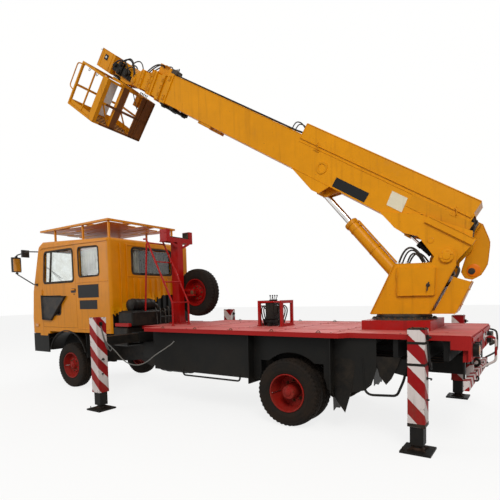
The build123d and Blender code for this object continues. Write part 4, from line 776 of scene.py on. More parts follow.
def finishes():
    """Each finish by name, with the function that makes it and the values that it takes."""
    c = colours()
    return {
        # The cab's paint carries painted shade: black in the torn hole low on its rear wall.
        "cab paint": (paint_with_painted_hole_shade, c.yellow, 0.55, 0.35, 0.2, 0.26),
        "boom paint": (paint, c.boom_yellow, 0.62, 0.26, 0.14, 0.3, 30.0),
        "basket paint": (paint, tuple(v * 0.95 for v in c.boom_yellow), 1.25, 0.5, 0.25, 0.45, 40.0, 0.02),
        "cover paint": (paint, tuple(v * 0.9 for v in c.boom_yellow), 0.5, 0.6, 0.12, 0.33, 30.0),
        # Brown of the basket's rear plates: partly rust, partly painted shade that darkens the basket's rear side.
        "brown paint": (paint, (0.17, 0.062, 0.018), 1.3, 0.6, 0.5, 0.55, 30.0, 0.0),
        "red paint": (paint, c.red, 0.9, 0.45, 0.18, 0.38),
        "wheel paint": (paint, c.wheel_red, 1.0, 0.5, 0.25, 0.42, 44.0, 0.0),
        "black paint": (paint, c.black, 0.3, 0.2, 0.07, 0.5, 30.0, 0.0),
        "oily black": (grimy, (0.006, 0.0055, 0.005), 0.12, 60.0, 0.45, 0.2, 0.002),
        "rusty black": (grimy, (0.016, 0.012, 0.01), 0.45, 60.0, 0.6, 0.1, 0.002, (0.11, 0.05, 0.025)),
        "iron": (grimy, (0.045, 0.04, 0.036), 0.6, 70.0, 0.5, 0.6, 0.002),
        "rusty": (grimy, (0.085, 0.045, 0.025), 0.7, 50.0, 0.75, 0.1, 0.003, (0.16, 0.075, 0.035)),
        "bright": (polished, (0.55, 0.54, 0.52), 0.3),
        "chrome": (polished, (0.78, 0.77, 0.75), 0.1),
        "mirror glass": (polished, (0.85, 0.87, 0.88), 0.03),
        "tyre": (grimy, c.rubber, 0.42, 90.0, 0.78, 0.0, 0.0012, (0.05, 0.03, 0.018)),
        "rubber": (grimy, c.rubber, 0.5, 80.0, 0.7, 0.0, 0.0015),
        "hose rubber": (grimy, (0.02, 0.02, 0.021), 0.35, 150.0, 0.5, 0.0, 0.0006),
        "grey hose": (grimy, (0.16, 0.165, 0.16), 0.4, 150.0, 0.5, 0.0, 0.0006),
        "plastic": (grimy, (0.022, 0.022, 0.023), 0.3, 400.0, 0.5, 0.0, 0.0008),
        "dash plastic": (grimy, (0.045, 0.043, 0.042), 0.25, 500.0, 0.62, 0.0, 0.0008),
        "seat cloth": (woven, (0.05, 0.05, 0.055)),
        "curtain": (woven, (0.13, 0.12, 0.07)),
        "blind": (woven, (0.01, 0.01, 0.007)),
        "glass": (window_glass,),
        "placard": (paint, (0.01, 0.01, 0.011), 0.35, 0.2, 0.3, 0.45, 60.0, 0.0),
        "cream plate": (paint, (0.72, 0.66, 0.5), 0.7, 0.5, 0.4, 0.45, 60.0, 0.0),
        "white plate": (paint, (0.6, 0.62, 0.62), 0.6, 0.4, 0.3, 0.4, 60.0, 0.0),
        "orange cap": (paint, (0.8, 0.2, 0.02), 0.5, 0.3, 0.4, 0.4),
        "amber lens": (lens, (0.85, 0.3, 0.02)),
        "lamp lenses": (lens, (0.55, 0.02, 0.02), (0.72, 0.74, 0.74)),
        "clear lens": (lens, (0.72, 0.74, 0.74)),
        "deck top": (deck_paint,),
        "near stripes": (striped, -0.178, -1.0, 1.0, None, 1.753),
        "near rear stripes": (striped, -0.178, -1.0, 1.0, None, 1.093),
        "far stripes": (striped, 0.05, -1.0, -1.0, None, 1.753),
        "far rear stripes": (striped, 0.05, -1.0, -1.0, None, 1.093),
        "bar stripes": (striped, 0.0, 1.0, -1.0, 0.24),
    }


MADE = {}


def finish(name):
    """A finished material by its name, built once."""
    if name not in MADE:
        maker, *values = finishes()[name]
        MADE[name] = maker(name.title().replace(" ", ""), *values)
    return MADE[name]


def dress(node, material):
    """Gives a node of the frame its finish."""
    mesh = frame["nodes"][node].data
    mesh.materials.clear()
    mesh.materials.append(finish(material))


# ======================================================================
# Wheels
# ======================================================================
TYRE_R, TYRE_W = 0.48, 0.232
SHOULDER_R = 0.462
LUG_RING = 0.12


def tyre_shape(place):
    """A tyre about the place's z: the radius is a function of the turn and of the way round the section. Five ribs
    wander with a triangle wave, the grooves between them are flat-bottomed, and the shoulders are notched."""
    depth, pitches = sizes().tread_depth, sizes().tread_pitch
    turn = np.linspace(0, 2 * math.pi, pitches * 6, endpoint=False)[:, None]
    side_line = [(0.2725, 0.093), (0.283, 0.104), (0.29, 0.1045), (0.297, 0.1075), (0.318, 0.113), (0.33, 0.1158),
                 (0.336, 0.1158), (0.34, 0.115), (0.372, 0.1159), (0.405, 0.1157), (0.409, 0.114), (0.425, 0.1135),
                 (0.428, 0.115), (0.445, 0.11), (SHOULDER_R - 0.003, 0.1005)]
    edges = np.array([0.098, 0.092, 0.066, 0.062, 0.054, 0.05, 0.024, 0.02, 0.012, 0.008])
    deep = np.array([0.3, 0.0, 0.0, 1.0, 1.0, 0.0, 0.0, 1.0, 1.0, 0.0])
    across = np.concatenate([edges, -edges[::-1]])
    groove = np.concatenate([deep, deep[::-1]])
    crown = TYRE_R - 0.004 - 0.012 * (np.abs(across) / 0.098) ** 2.2
    radius = np.concatenate([[p[0] for p in side_line], crown, [p[0] for p in side_line[::-1]]])
    height = np.concatenate([[p[1] for p in side_line], across, [-p[1] for p in side_line[::-1]]])
    cut = np.concatenate([np.zeros(len(side_line)), groove, np.zeros(len(side_line))])
    wave = 2 * np.abs((turn * pitches / (2 * math.pi)) % 1 - 0.5) - 0.5
    inner = np.exp(-(height / 0.07) ** 4)
    notch = np.clip((np.cos(turn * pitches) - 0.35) * 6, 0, 1)
    on_shoulder = ((np.abs(height) > 0.064) & (np.abs(height) < 0.116) & (radius > 0.442)).astype(float)
    r = radius - depth * cut - depth * 0.85 * notch * on_shoulder * (1 - cut)
    h = height + 0.006 * wave * inner * (radius > 0.45)
    points = np.stack([r * np.cos(turn), r * np.sin(turn), np.broadcast_to(h, r.shape)], -1)
    return placed(flipped(surface(points, wrap_u=True, wrap_v=True)), place)


def wheel_places():
    """Each wheel: its name, body, rim and tyre nodes, and the middle of each tyre with z out of the truck."""
    made = []
    for side, s in SIDES:
        out = (0, s, 0)
        low, high = corners("front_tyre_" + side)
        made.append(("front_" + side, "wheel_front_" + side,
                     [Place((FRONT_X, (low + high)[1] / 2, AXLE_Z), X, out)]))
        low, high = corners("rear_tyre_" + side)
        far, near = (high[1], low[1]) if s > 0 else (low[1], high[1])
        made.append(("rear_" + side, "wheel_rear_" + side,
                     [Place((REAR_X, y, AXLE_Z), X, out) for y in (far - s * TYRE_W / 2, near + s * TYRE_W / 2)]))
    return made


def spare_place():
    """The spare wheel's middle; it faces left."""
    low, high = corners("spare_tyre")
    return Place((low + high) / 2, X, Y)


class TRUCK_OT_tyres(bpy.types.Operator):
    """Tyres with zigzag ribs, notched shoulders and ringed side walls, in place of the plain ones"""

    bl_idname = "truck.tyres"
    bl_label = "Tyres"

    def execute(self, context):
        for name, body, places in wheel_places():
            node = name.replace("_", "_tyre_", 1)
            piece("tread_" + name, [tyre_shape(place) for place in places], body, "tyre",
                  smooth=30, replaces=[node])
        piece("tread_spare", tyre_shape(spare_place()), "truck", "tyre", smooth=30, replaces=["spare_tyre"])
        return {"FINISHED"}


def around(place, count, radius, height, start=0.0):
    """Places in a ring about z, each with its x along the radius."""
    angles = start + np.arange(count) * 2 * math.pi / count
    made = []
    for a in angles:
        out = math.cos(a) * place.x + math.sin(a) * place.y
        made.append(Place(place.at(radius * math.cos(a), radius * math.sin(a), height), out, place.z))
    return made


class TRUCK_OT_wheel_fittings(bpy.types.Operator):
    """Lock rings, nuts on studs, hub caps with their screws and valve stems"""

    bl_idname = "truck.wheel_fittings"
    bl_label = "Wheel fittings"

    def execute(self, context):
        ring = [(0.2715, 0.099), (0.2705, 0.107), (0.262, 0.1095), (0.2535, 0.106), (0.2515, 0.098), (0.256, 0.092)]
        for name, body, places in wheel_places() + [("spare", "truck", [spare_place()])]:
            outer = places[0]
            front = not name.startswith("rear")
            lock = turned(outer, ring + ring[:1], 72)
            piece("lock_ring_" + name, lock, body, "wheel paint")
            level = -0.002 if front else -0.126
            nut_ring = LUG_RING if front else LUG_RING + 0.025
            stud = joined(bolt(0.018, 0.024), lathe(WORLD, [(0.009, 0.02), (0.009, 0.04), (0.007, 0.043)], 8))
            studs = copies(stud, around(outer, 8, nut_ring, level + (0.012 if front else 0.0)))
            piece("wheel_nuts_" + name, studs, body, "rusty")
            if name == "spare":
                continue
            top = 0.071 if front else 0.046
            width = 0.07 if front else 0.088
            cap = lathe(WORLD, [(width, top - 0.004), (width, top + 0.006), (width * 0.82, top + 0.009),
                                (width * 0.55, top + 0.013), (width * 0.5, top + 0.024),
                                (width * 0.42, top + 0.028)], 32)
            screws = bolts(around(outer, 8, width * 0.86, top + 0.006, 0.2), 0.008, 0.007)
            piece("hub_cap_" + name, [placed(cap, outer), screws], body, "wheel paint")
            stem = pipe([outer.at(0.205, 0.02, level + 0.02), outer.at(0.222, 0.02, level + 0.055),
                         outer.at(0.236, 0.02, 0.09)], 0.005, 0.02, 8)
            piece("valve_" + name, stem, body, "bright")
        return {"FINISHED"}


# ======================================================================
# Cab
# ======================================================================
CAB_HALF = 1.095
CAB_REAR = REAR_X + 3.8
CAB_NOSE = REAR_X + 6.56


def fore(x, z):
    """A point of the cab's side from a station ahead of the rear axle and a height."""
    return (REAR_X + x, z)


DOOR_WINDOW = [fore(4.97, 2.25), fore(4.97, 2.915), fore(5.99, 2.915), fore(6.07, 2.25)]
LOW_WINDOW = [fore(5.48, 1.56), fore(5.42, 1.96), fore(6.06, 1.96), fore(6.06, 1.56)]
QUARTER_WINDOW = [fore(4.13, 2.33), fore(4.13, 2.9), fore(4.78, 2.92), fore(4.78, 2.33)]
REAR_WINDOW = [(-0.55, 2.36), (-0.55, 2.88), (0.55, 2.88), (0.55, 2.36)]


def closed_rounded(outline, radius):
    """A closed outline with quadratic corners, as (n, 2) points."""
    p = np.array(outline, float)
    flat = np.c_[np.vstack([p[-1:], p, p[:1]]), np.zeros(len(p) + 2)]
    return rounded(flat, radius)[1:-1, :2]


def seal(outline, place, width, thick, radius=0.07):
    """A rubber frame: a box profile carried round a closed outline in the place's own x and y."""
    line = closed_rounded(outline, radius)
    path = place.all(np.c_[line, np.zeros(len(line))])
    return bar((width, thick, min(width, thick) * 0.25), path, place.z, closed=True)


def plate(outline, place, thick, chamfer=0.002, radius=0.0):
    """A flat plate from the place's own plane out along its z."""
    line = closed_rounded(outline, radius) if radius else np.array(outline, float)
    return prism(place, line, 0, thick, chamfer)


def rectangle(x0, y0, x1, y1):
    """The four corners of a rectangle."""
    return [(x0, y0), (x1, y0), (x1, y1), (x0, y1)]


def left_right(s):
    """The place on the cab's side face, its z out of the side and its y up; side_outline turns points into it."""
    return Place((0, s * CAB_HALF, 0), X * -s, (0, s, 0))


def side_outline(points, s):
    """A side's outline written in forward and up, turned into the side place's own x and y."""
    return [(-s * x, z) for x, z in points]


class TRUCK_OT_cab_windows(bpy.types.Operator):
    """Rubber seals round every window, the door window's divider and wipers"""

    bl_idname = "truck.cab_windows"
    bl_label = "Cab windows"

    def execute(self, context):
        width = sizes().seal_width
        for side, s in SIDES:
            face = left_right(s)
            doors = [seal(side_outline(DOOR_WINDOW, s), face.moved(c=0.001), width * 1.5, 0.016),
                     seal(side_outline(LOW_WINDOW, s), face.moved(c=0.001), width, 0.014, 0.05)]
            divider = [fore(5.72, 2.9), fore(5.76, 2.9), fore(5.86, 2.26), fore(5.815, 2.26)]
            doors.append(plate(side_outline(divider, s), face.moved(c=-0.018), 0.022))
            piece("door_seals_" + side, doors, "door_" + side, "rubber")
            piece("quarter_seal_" + side, seal(side_outline(QUARTER_WINDOW, s), face.moved(c=0.001), width * 1.1,
                                               0.016), "truck", "rubber")
        back = Place((CAB_REAR, 0, 0), (0, -1, 0), (-1, 0, 0))
        piece("rear_window_seal", seal(REAR_WINDOW, back.moved(c=0.002), width * 1.5, 0.018), "truck", "rubber")
        foot = np.array((REAR_X + 6.428, 0, 2.22))
        up = np.array((REAR_X + 6.19, 0, 2.98)) - foot
        glass = Place(foot, Y, np.cross(Y, up))
        tall = np.linalg.norm(up)
        frame_line = rectangle(-0.965, 0.0, 0.965, tall)
        shapes = [seal(frame_line, glass.moved(c=0.012), width * 1.5, 0.02, 0.09)]
        for x in (-0.55, 0.35):
            arm = glass.all([(x, -0.07, 0.02), (x + 0.03, 0.06, 0.045), (x + 0.34, 0.3, 0.03)])
            shapes.append(rod(0.007, 8, arm))
            blade = glass.all([(x + 0.1, 0.17, 0.017), (x + 0.36, 0.33, 0.017), (x + 0.6, 0.47, 0.017)])
            shapes.append(bar((0.012, 0.02, 0.003), blade))
            shapes.append(lathe(glass.moved(x, -0.07, 0.005), [(0.022, 0), (0.022, 0.02), (0.014, 0.03)], 16))
        piece("windscreen_seal_and_wipers", shapes, "truck", "rubber")
        return {"FINISHED"}


class TRUCK_OT_cab_panels(bpy.types.Operator):
    """Pressed lines, gutters, arches, grille, steps, blank plates and the ribs of the rear wall"""

    bl_idname = "truck.cab_panels"
    bl_label = "Cab panels"

    def execute(self, context):
        paint_now, dark = [], []
        for _, s in SIDES:
            face = left_right(s)
            y = s * CAB_HALF
            gutter = [(REAR_X + 3.86, y + s * 0.006, 2.985), (REAR_X + 4.9, y + s * 0.006, 3.006),
                      (REAR_X + 6.06, y + s * 0.006, 3.02), (REAR_X + 6.12, y + s * 0.006, 2.985)]
            paint_now.append(bar((0.02, 0.026, 0.004), rounded(gutter, 0.04), Z))
            for z, reach in ((2.215, 0.006), (1.275, 0.006)):
                crease = [(REAR_X + 3.87, y + s * reach * 0.2, z), (REAR_X + 4.4, y + s * reach * 0.2, z),
                          (REAR_X + 4.88, y + s * reach * 0.2, z)]
                paint_now.append(bar((0.012, 0.022, 0.005), crease, Z))
            a = np.linspace(math.radians(14), math.radians(166), 26)
            arch_line = np.c_[FRONT_X + 0.64 * np.cos(a), np.full(26, y - s * 0.014), 0.665 + 0.56 * np.sin(a)]
            dark.append(bar((0.026, 0.05, 0.008), arch_line, (0, 1, 0)))
            inner = np.c_[FRONT_X + 0.615 * np.cos(a), 0.66 + 0.535 * np.sin(a)]
            rows = np.array([np.c_[inner[:, 0], np.full(26, y - s * d), inner[:, 1]]
                             for d in (0.02, 0.15, 0.29, 0.3)])
            rows[3, :, 2] -= 0.03
            thick = rows.copy()
            thick[:, :, 2] += 0.008
            loop = np.concatenate([rows, thick[::-1]])
            dark.append(surface(loop, wrap_u=True))
            wing = [fore(5.96, 1.2), fore(6.3, 1.2), fore(6.3, 1.1), fore(6.02, 1.1)]
            paint_now.append(plate(side_outline(wing, s), face.moved(c=-0.03), 0.032))
        for y0 in np.linspace(-0.86, 0.86, 12):
            low, high = (1.3, 2.27) if abs(y0) < 0.62 else (1.3, 2.94)
            rib = [(CAB_REAR + 0.002, y0, low), (CAB_REAR - 0.01, y0, low + 0.06),
                   (CAB_REAR - 0.01, y0, high - 0.06), (CAB_REAR + 0.002, y0, high)]
            paint_now.append(bar((0.06, 0.012, 0.005), rib, Y))
        for z in (2.31, 2.925):
            paint_now.append(span((CAB_REAR - 0.012, -0.66, z - 0.012), (CAB_REAR + 0.004, 0.66, z + 0.012), 0.004))
        torn = np.linspace(0, 1, 60)
        ragged = 1.195 - 0.035 * np.abs(np.sin(torn * 17)) - 0.03 * np.abs(np.sin(torn * 41 + 1.0))
        y_line = -1.03 + 2.06 * torn
        bulge = CAB_REAR - 0.008 - 0.02 * np.sin(torn * 9) ** 2
        rows = [np.c_[np.full(60, CAB_REAR - 0.004), y_line, np.full(60, 1.33)],
                np.c_[bulge, y_line, np.full(60, 1.27)], np.c_[bulge - 0.012, y_line, ragged + 0.02],
                np.c_[bulge - 0.008, y_line, ragged], np.c_[bulge - 0.003, y_line, ragged + 0.02],
                np.c_[bulge + 0.006, y_line, np.full(60, 1.27)]]
        paint_now.append(surface(np.array(rows), wrap_u=True))
        piece("cab_pressings", paint_now, "truck", "cab paint")
        piece("front_arch_liners", dark, "truck", "oily black", slot="rubber")
        front = Place((CAB_NOSE, 0, 0), Y, X)
        slats = [block(front.moved(0, z, 0.003), (1.5, 0.03, 0.016), 0.005) for z in np.linspace(1.4, 1.66, 6)]
        slats.append(seal(rectangle(-0.8, 1.36, 0.8, 1.7), front.moved(c=0.003), 0.03, 0.02, 0.05))
        piece("grille", slats, "truck", "plastic")
        steps = []
        for _, s in SIDES:
            y0, y1 = sorted((s * (CAB_HALF - 0.085), s * (CAB_HALF - 0.245)))
            steps.append(span((REAR_X + 6.02, y0, 1.01), (REAR_X + 6.26, y1, 1.03)))
        piece("cab_steps", steps, "truck", "black paint")
        return {"FINISHED"}


class TRUCK_OT_cab_fittings(bpy.types.Operator):
    """Handles, locks, blank plates, marker lamps and mirror glasses"""

    bl_idname = "truck.cab_fittings"
    bl_label = "Cab fittings"

    def execute(self, context):
        for side, s in SIDES:
            face = left_right(s)
            dish = [fore(4.905, 2.015), fore(4.905, 2.105), fore(5.075, 2.105), fore(5.075, 2.015)]
            shapes = [plate(side_outline(dish, s), face.moved(c=-0.001), 0.005, 0.002, 0.03)]
            lock = Place((REAR_X + 4.965, s * CAB_HALF, 1.985), X, (0, s, 0))
            shapes.append(lathe(lock, [(0.013, 0), (0.013, 0.008), (0.01, 0.011)], 16))
            piece("door_lock_" + side, shapes, "door_" + side, "plastic")
            plates = [plate(side_outline([fore(x0, z0), fore(x0, z1), fore(x1, z1), fore(x1, z0)], s),
                            face.moved(c=-0.001), 0.004)
                      for x0, z0, x1, z1 in ((4.16, 1.905, 4.83, 2.165), (4.22, 1.675, 4.79, 1.855))]
            piece("side_plates_" + side, plates, "truck", "placard")
            lamp = Place((REAR_X + 6.4, s * (CAB_HALF - 0.002), 1.33), X, (0, s, 0))
            outline = closed_rounded(rectangle(-0.06, -0.035, 0.06, 0.035), 0.02)
            piece("side_marker_" + side, prism(lamp, outline, 0, 0.022, 0.006), "truck", "amber lens")
            y0 = s * 1.3
            glass = span((REAR_X + 6.765, y0 - 0.082, 2.54), (REAR_X + 6.772, y0 + 0.082, 2.84), 0.003)
            piece("mirror_glass_" + side, glass, "truck", "mirror glass")
            rim = seal(rectangle(y0 - 0.09, 2.532, y0 + 0.09, 2.848), Place((REAR_X + 6.77, 0, 0), Y, X), 0.016,
                       0.014, 0.03)
            clamps = [block(WORLD.moved(REAR_X + 6.8, s * 1.29, z), (0.05, 0.05, 0.035), 0.008)
                      for z in (2.5, 2.87)]
            piece("mirror_rim_" + side, [rim, *clamps], "truck", "plastic")
            head = Place((REAR_X + 6.672, s * 0.76, 0.9), Y, X)
            shell = [lathe(head.moved(y), [(0.066, 0), (0.066, 0.006), (0.05, 0.014), (0.02, 0.018)], 28)
                     for y in (-0.075, 0.075)]
            piece("headlamp_" + side, shell, "truck", "clear lens")
            surround = seal(rectangle(-0.155, -0.085, 0.155, 0.085), head.moved(c=0.002), 0.016, 0.014, 0.02)
            piece("headlamp_frame_" + side, surround, "truck", "bright", slot="black_plastic")
        shapes = [lathe(Place((REAR_X + 6.13, y, 3.118), X, (0.5, 0, 0.86)),
                        [(0.032, 0), (0.032, 0.012), (0.024, 0.026), (0.012, 0.032)], 20) for y in (-0.72, 0.72)]
        piece("roof_markers", shapes, "truck", "amber lens")
        front = Place((CAB_NOSE - 0.004, 0, 0), Y, X)
        piece("front_plate", prism(front, rectangle(-0.26, 1.19, 0.26, 1.31), 0, 0.009, 0.002),
              "truck", "white plate")
        return {"FINISHED"}


# ======================================================================
# Turret and cylinders
# ======================================================================
TURRET_HALF = 0.3
TURRET_REAR_HALF = 0.262
TURRET_DOOR = -0.332
TURRET_FOOT = 1.556
HOUSING_HALF = 0.228
BOOM_HALF = 0.22
FLANK_LOW, FLANK_TOP = 0.113, 0.598
COVER_LOW, COVER_TOP = 0.545, 0.765
NEAR_FLANK = -0.2205
COLLAR_HALF, COLLAR_LOW, COLLAR_HIGH = 0.221, 0.118, 0.534
LIFT_R, LIFT_PORTS = 0.0915, (0.135, 1.15)
LEVEL_R, LEVEL_PORTS = 0.0375, (0.062, 0.225)


def hose(start, end, lift, radius, sag=Z, count=20):
    """A hose that bows out by lift between two ends."""
    return rod(radius, 10, arch(start, end, lift, count, sag))


def fitting(at, along, radius, length=0.05):
    """A crimped end and a hexagon nut on a hose."""
    place = Place(at, np.cross(along, X + 0.3 * Y), along)
    crimp = lathe(WORLD, [(radius * 1.25, 0), (radius * 1.4, length * 0.1), (radius * 1.4, length * 0.6),
                          (radius * 1.2, length * 0.65)], 12)
    nut = lathe(WORLD, [(radius * 1.8, length * 0.62), (radius * 1.8, length * 0.95), (radius * 1.5, length)], 6)
    return placed(joined(crimp, nut), place)


def ring(inner, outer, low, high, place, sides=40):
    """A flat ring with softened edges."""
    edge = min(0.003, (high - low) * 0.3)
    profile = [(inner, low), (inner, high - edge), (inner + edge, high), (outer - edge, high), (outer, high - edge),
               (outer, low), (inner, low)]
    return turned(place, profile, sides)


class TRUCK_OT_turret_details(bpy.types.Operator):
    """Slew ring bolts, door frame with its handle, edge flanges, pivot caps, motor and arcs of hose"""

    bl_idname = "truck.turret_details"
    bl_label = "Turret details"

    def execute(self, context):
        r = sizes().hose_radius
        centre = Place(TURRET.at(0, 1.47), TURRET.x, Z)
        flange = ring(0.365, 0.44, 0.0, 0.018, centre, 72)
        piece("slew_flange", flange, "truck", "iron")
        piece("slew_bolts", bolts(around(centre, 30, 0.415, 0.018), 0.014, 0.016), "truck", "rusty")
        lip = ring(0.368, 0.378, 0.04, 0.052, centre, 72)
        piece("slew_seal", lip, "truck", "rubber")
        low_edge, panels, dark = [], [], []
        for s in (-1, 1):
            z = s * TURRET_HALF
            rear = TURRET.all([(-0.69, 2.18, z), (-0.53, 1.865, z), (-0.372, 1.553, z)])
            front = TURRET.all([(0.398, 1.555, z), (0.235, 1.89, z), (0.072, 2.23, z)])
            for line in (rear, front):
                low_edge.append(bar((0.014, 0.03, 0.004), line, TURRET.z))
            foot = TURRET.all([(x, TURRET_FOOT, z) for x in (0.39, 0.0, -0.365)])
            low_edge.append(rod(0.009, 8, foot, TURRET.z))
            top = TURRET.all([(0.066, 2.232, z * 0.985), (-0.16, 2.229, z * 0.985), (-0.392, 2.226, z * 0.985)])
            low_edge.append(bar((0.012, 0.012, 0.003), top, TURRET.z))
            cap = TURRET.moved(-0.58, 2.3, s * 0.322, s)
            panels.append(lathe(cap, [(0.088, -0.02), (0.088, 0.004), (0.082, 0.01), (0.05, 0.012),
                                      (0.046, 0.02), (0.03, 0.022)], 36))
            panels.append(bolts(around(cap, 6, 0.068, 0.009, 0.3), 0.01, 0.009))
        door_line = ((0.03, 2.19), (-0.455, 2.16), (-0.44, 1.8), (0.03, 1.8))
        door = TURRET.all([(x, y, TURRET_DOOR) for x, y in door_line])
        low_edge.append(bar((0.01, 0.016, 0.003), rounded(np.vstack([door, door[:2]]), 0.02)[3:-3], TURRET.z))
        piece("turret_edges", low_edge, "turret", "cover paint")
        piece("turret_pivot_caps", panels, "turret", "boom paint")
        handle = TURRET.moved(-0.361, 1.934, -0.33, -1)
        knob = lathe(handle, [(0.026, 0), (0.026, 0.008), (0.014, 0.016), (0.014, 0.026)], 20)
        grip = pipe(TURRET.all([(-0.375, 1.975, -0.362), (-0.361, 1.934, -0.366), (-0.352, 1.86, -0.36)]), 0.009,
                    0.02)
        hinges = [lathe(TURRET.upright(0.03, h, -0.335), [(0.01, -0.035), (0.01, 0.035)], 12) for h in (2.08, 1.88)]
        piece("turret_door_handle", [knob, grip], "turret", "plastic")
        piece("turret_door_hinges", hinges, "turret", "cover paint")
        rear_lines = []
        for z in (-TURRET_REAR_HALF, TURRET_REAR_HALF):
            line = TURRET.all([(-0.69, 1.572, z), (-0.778, 1.772, z), (-0.862, 1.962, z)])
            rear_lines.append(bar((0.012, 0.02, 0.003), line, TURRET.z))
        top_line = TURRET.all([(-0.862, 1.963, s * TURRET_REAR_HALF) for s in (-1, 0, 1)])
        rear_lines.append(bar((0.012, 0.02, 0.003), top_line))
        piece("turret_rear_frame", rear_lines, "turret", "cover paint")
        leaning = TURRET.at(-0.17, 0.39) - TURRET.origin
        rear_face = Place(TURRET.at(-0.775, 1.765, 0), TURRET.z, np.cross(TURRET.z, leaning))
        hatch = prism(rear_face, closed_rounded(rectangle(-0.17, -0.13, 0.17, 0.13), 0.02), -0.012, 0.01, 0.003)
        held = rear_face.all([(x, y, 0.01) for x in (-0.15, 0.15) for y in (-0.11, 0.11)])
        piece("turret_rear_hatch", [hatch, bolts(facing(held, rear_face.z), 0.008, 0.007)], "turret", "boom paint")
        motor = TURRET.upright(-0.575, 2.085, 0.0)
        dark.append(block(motor, (0.15, 0.3, 0.06), 0.008))
        for z in (-0.1, 0.0, 0.1):
            stack = [(0.04, 0.02), (0.04, 0.055), (0.03, 0.062), (0.022, 0.092), (0.016, 0.095)]
            dark.append(lathe(motor.moved(0.0, z, 0.0), stack, 20))
            dark.append(lathe(motor.moved(-0.05, z + 0.03, 0.0), [(0.02, 0.02), (0.02, 0.045), (0.013, 0.048)], 6))
        piece("turret_valves", dark, "turret", "oily black")
        arcs, ends = [], []
        for q0, q1, lift, z, fat in ((0.035, -0.33, 0.245, -0.215, 1.25), (-0.075, -0.3, 0.165, -0.2, 1.1),
                                     (0.0, -0.31, 0.215, -0.15, 1.0), (-0.04, -0.345, 0.19, 0.12, 1.1)):
            start, end = TURRET.at(q0, 2.215, z), TURRET.at(q1, 2.2, z + 0.02)
            arcs.append(hose(start, end, lift, r * fat, TURRET.y + 0.1 * TURRET.x, 24))
            ends += [fitting(start, TURRET.y, r * fat), fitting(end, TURRET.y, r * fat)]
        for z in (-0.12, -0.06, 0.02, 0.08):
            line = TURRET.all([(-0.6, 2.1, z), (-0.66, 2.19, z), (-0.72, 2.14, z - 0.01),
                               (-0.66, 2.0, z - 0.02), (-0.52, 1.9, z)])
            arcs.append(rod(r, 8, rounded(line, 0.06)))
        piece("turret_hoses", arcs, "turret", "hose rubber")
        piece("turret_hose_ends", ends, "turret", "bright")
        return {"FINISHED"}


class TRUCK_OT_cylinder_details(bpy.types.Operator):
    """Oil pipe with its clamps, ports, end caps and glands of both cylinders"""

    bl_idname = "truck.cylinder_details"
    bl_label = "Cylinder details"

    def execute(self, context):
        shapes = []
        for x0 in (0.24, 0.66, 1.08):
            ring_place = LIFT.along(x0)
            shapes.append(turned(ring_place, [(LIFT_R, -0.012), (0.0965, -0.01), (0.0965, 0.01), (LIFT_R, 0.012)],
                                 40))
            shapes.append(block(Place(LIFT.at(x0, 0.098, -0.044), LIFT.x, LIFT.z - 2.0 * LIFT.y),
                                (0.036, 0.044, 0.02), 0.004))
        pipe_line = LIFT.all([(0.135, 0.07, -0.03), (0.135, 0.112, -0.05), (1.15, 0.112, -0.05),
                              (1.15, 0.08, -0.036)])
        shapes.append(pipe(pipe_line, 0.013, 0.03))
        for x0 in LIFT_PORTS:
            shapes.append(lathe(Place(LIFT.at(x0), LIFT.x, LIFT.y - 0.45 * LIFT.z),
                                [(0.026, 0.07), (0.026, 0.1), (0.019, 0.106)], 16))
        head = LIFT.along(1.225)
        shapes.append(lathe(head, [(0.1, -0.058), (0.103, -0.05), (0.103, -0.012), (0.096, 0.0), (0.07, 0.002),
                                   (0.064, 0.01), (0.0485, 0.012)], 44))
        base = LIFT.along(0.095)
        shapes.append(turned(base, [(0.06, -0.012), (0.086, -0.004), (0.0955, 0.006), (0.0955, 0.022),
                                    (LIFT_R, 0.026)], 44))
        piece("lift_barrel_fittings", shapes, "lift_barrel", "cover paint")
        piece("lift_gland_bolts", bolts(around(head.moved(0, 0, 0.001), 10, 0.084, 0.0), 0.008, 0.008),
              "lift_barrel", "rusty")
        length = np.linalg.norm(joint_place("lift_barrel_swing") - BOOM.at(2.08, 0.0))
        eye = LIFT.moved(length)
        rims = [ring(0.02, 0.046, 0.0, 0.004, eye.moved(0, 0, s * 0.04, s)) for s in (-1, 1)]
        neck = lathe(Place(eye.origin, LIFT.y, LIFT.x), [(0.05, -0.06), (0.05, -0.044), (0.044, -0.038)], 32)
        piece("lift_rod_eye_rims", [neck, *rims], "lift_rod", "iron")
        shapes = []
        for x0 in LEVEL_PORTS:
            shapes.append(turned(LEVEL.along(x0), [(LEVEL_R, -0.008), (0.042, -0.006), (0.042, 0.006),
                                                   (LEVEL_R, 0.008)], 28))
            shapes.append(lathe(LEVEL.upright(x0 + 0.018), [(0.016, 0.03), (0.016, 0.054), (0.012, 0.058)], 12))
        shapes.append(lathe(LEVEL.along(0.285), [(0.047, -0.055), (0.048, -0.01), (0.04, 0.001), (0.019, 0.004)],
                            28))
        piece("level_barrel_fittings", shapes, "level_barrel", "black paint")
        r = sizes().hose_radius * 0.8
        lines = [hose(LEVEL.at(0.08, 0.056), LEVEL.at(0.243, 0.056), 0.06 + 0.03 * k, r,
                      LEVEL.y + (k - 0.5) * 1.2 * LEVEL.z) for k in (0, 1)]
        piece("level_hoses", lines, "level_barrel", "hose rubber")
        return {"FINISHED"}


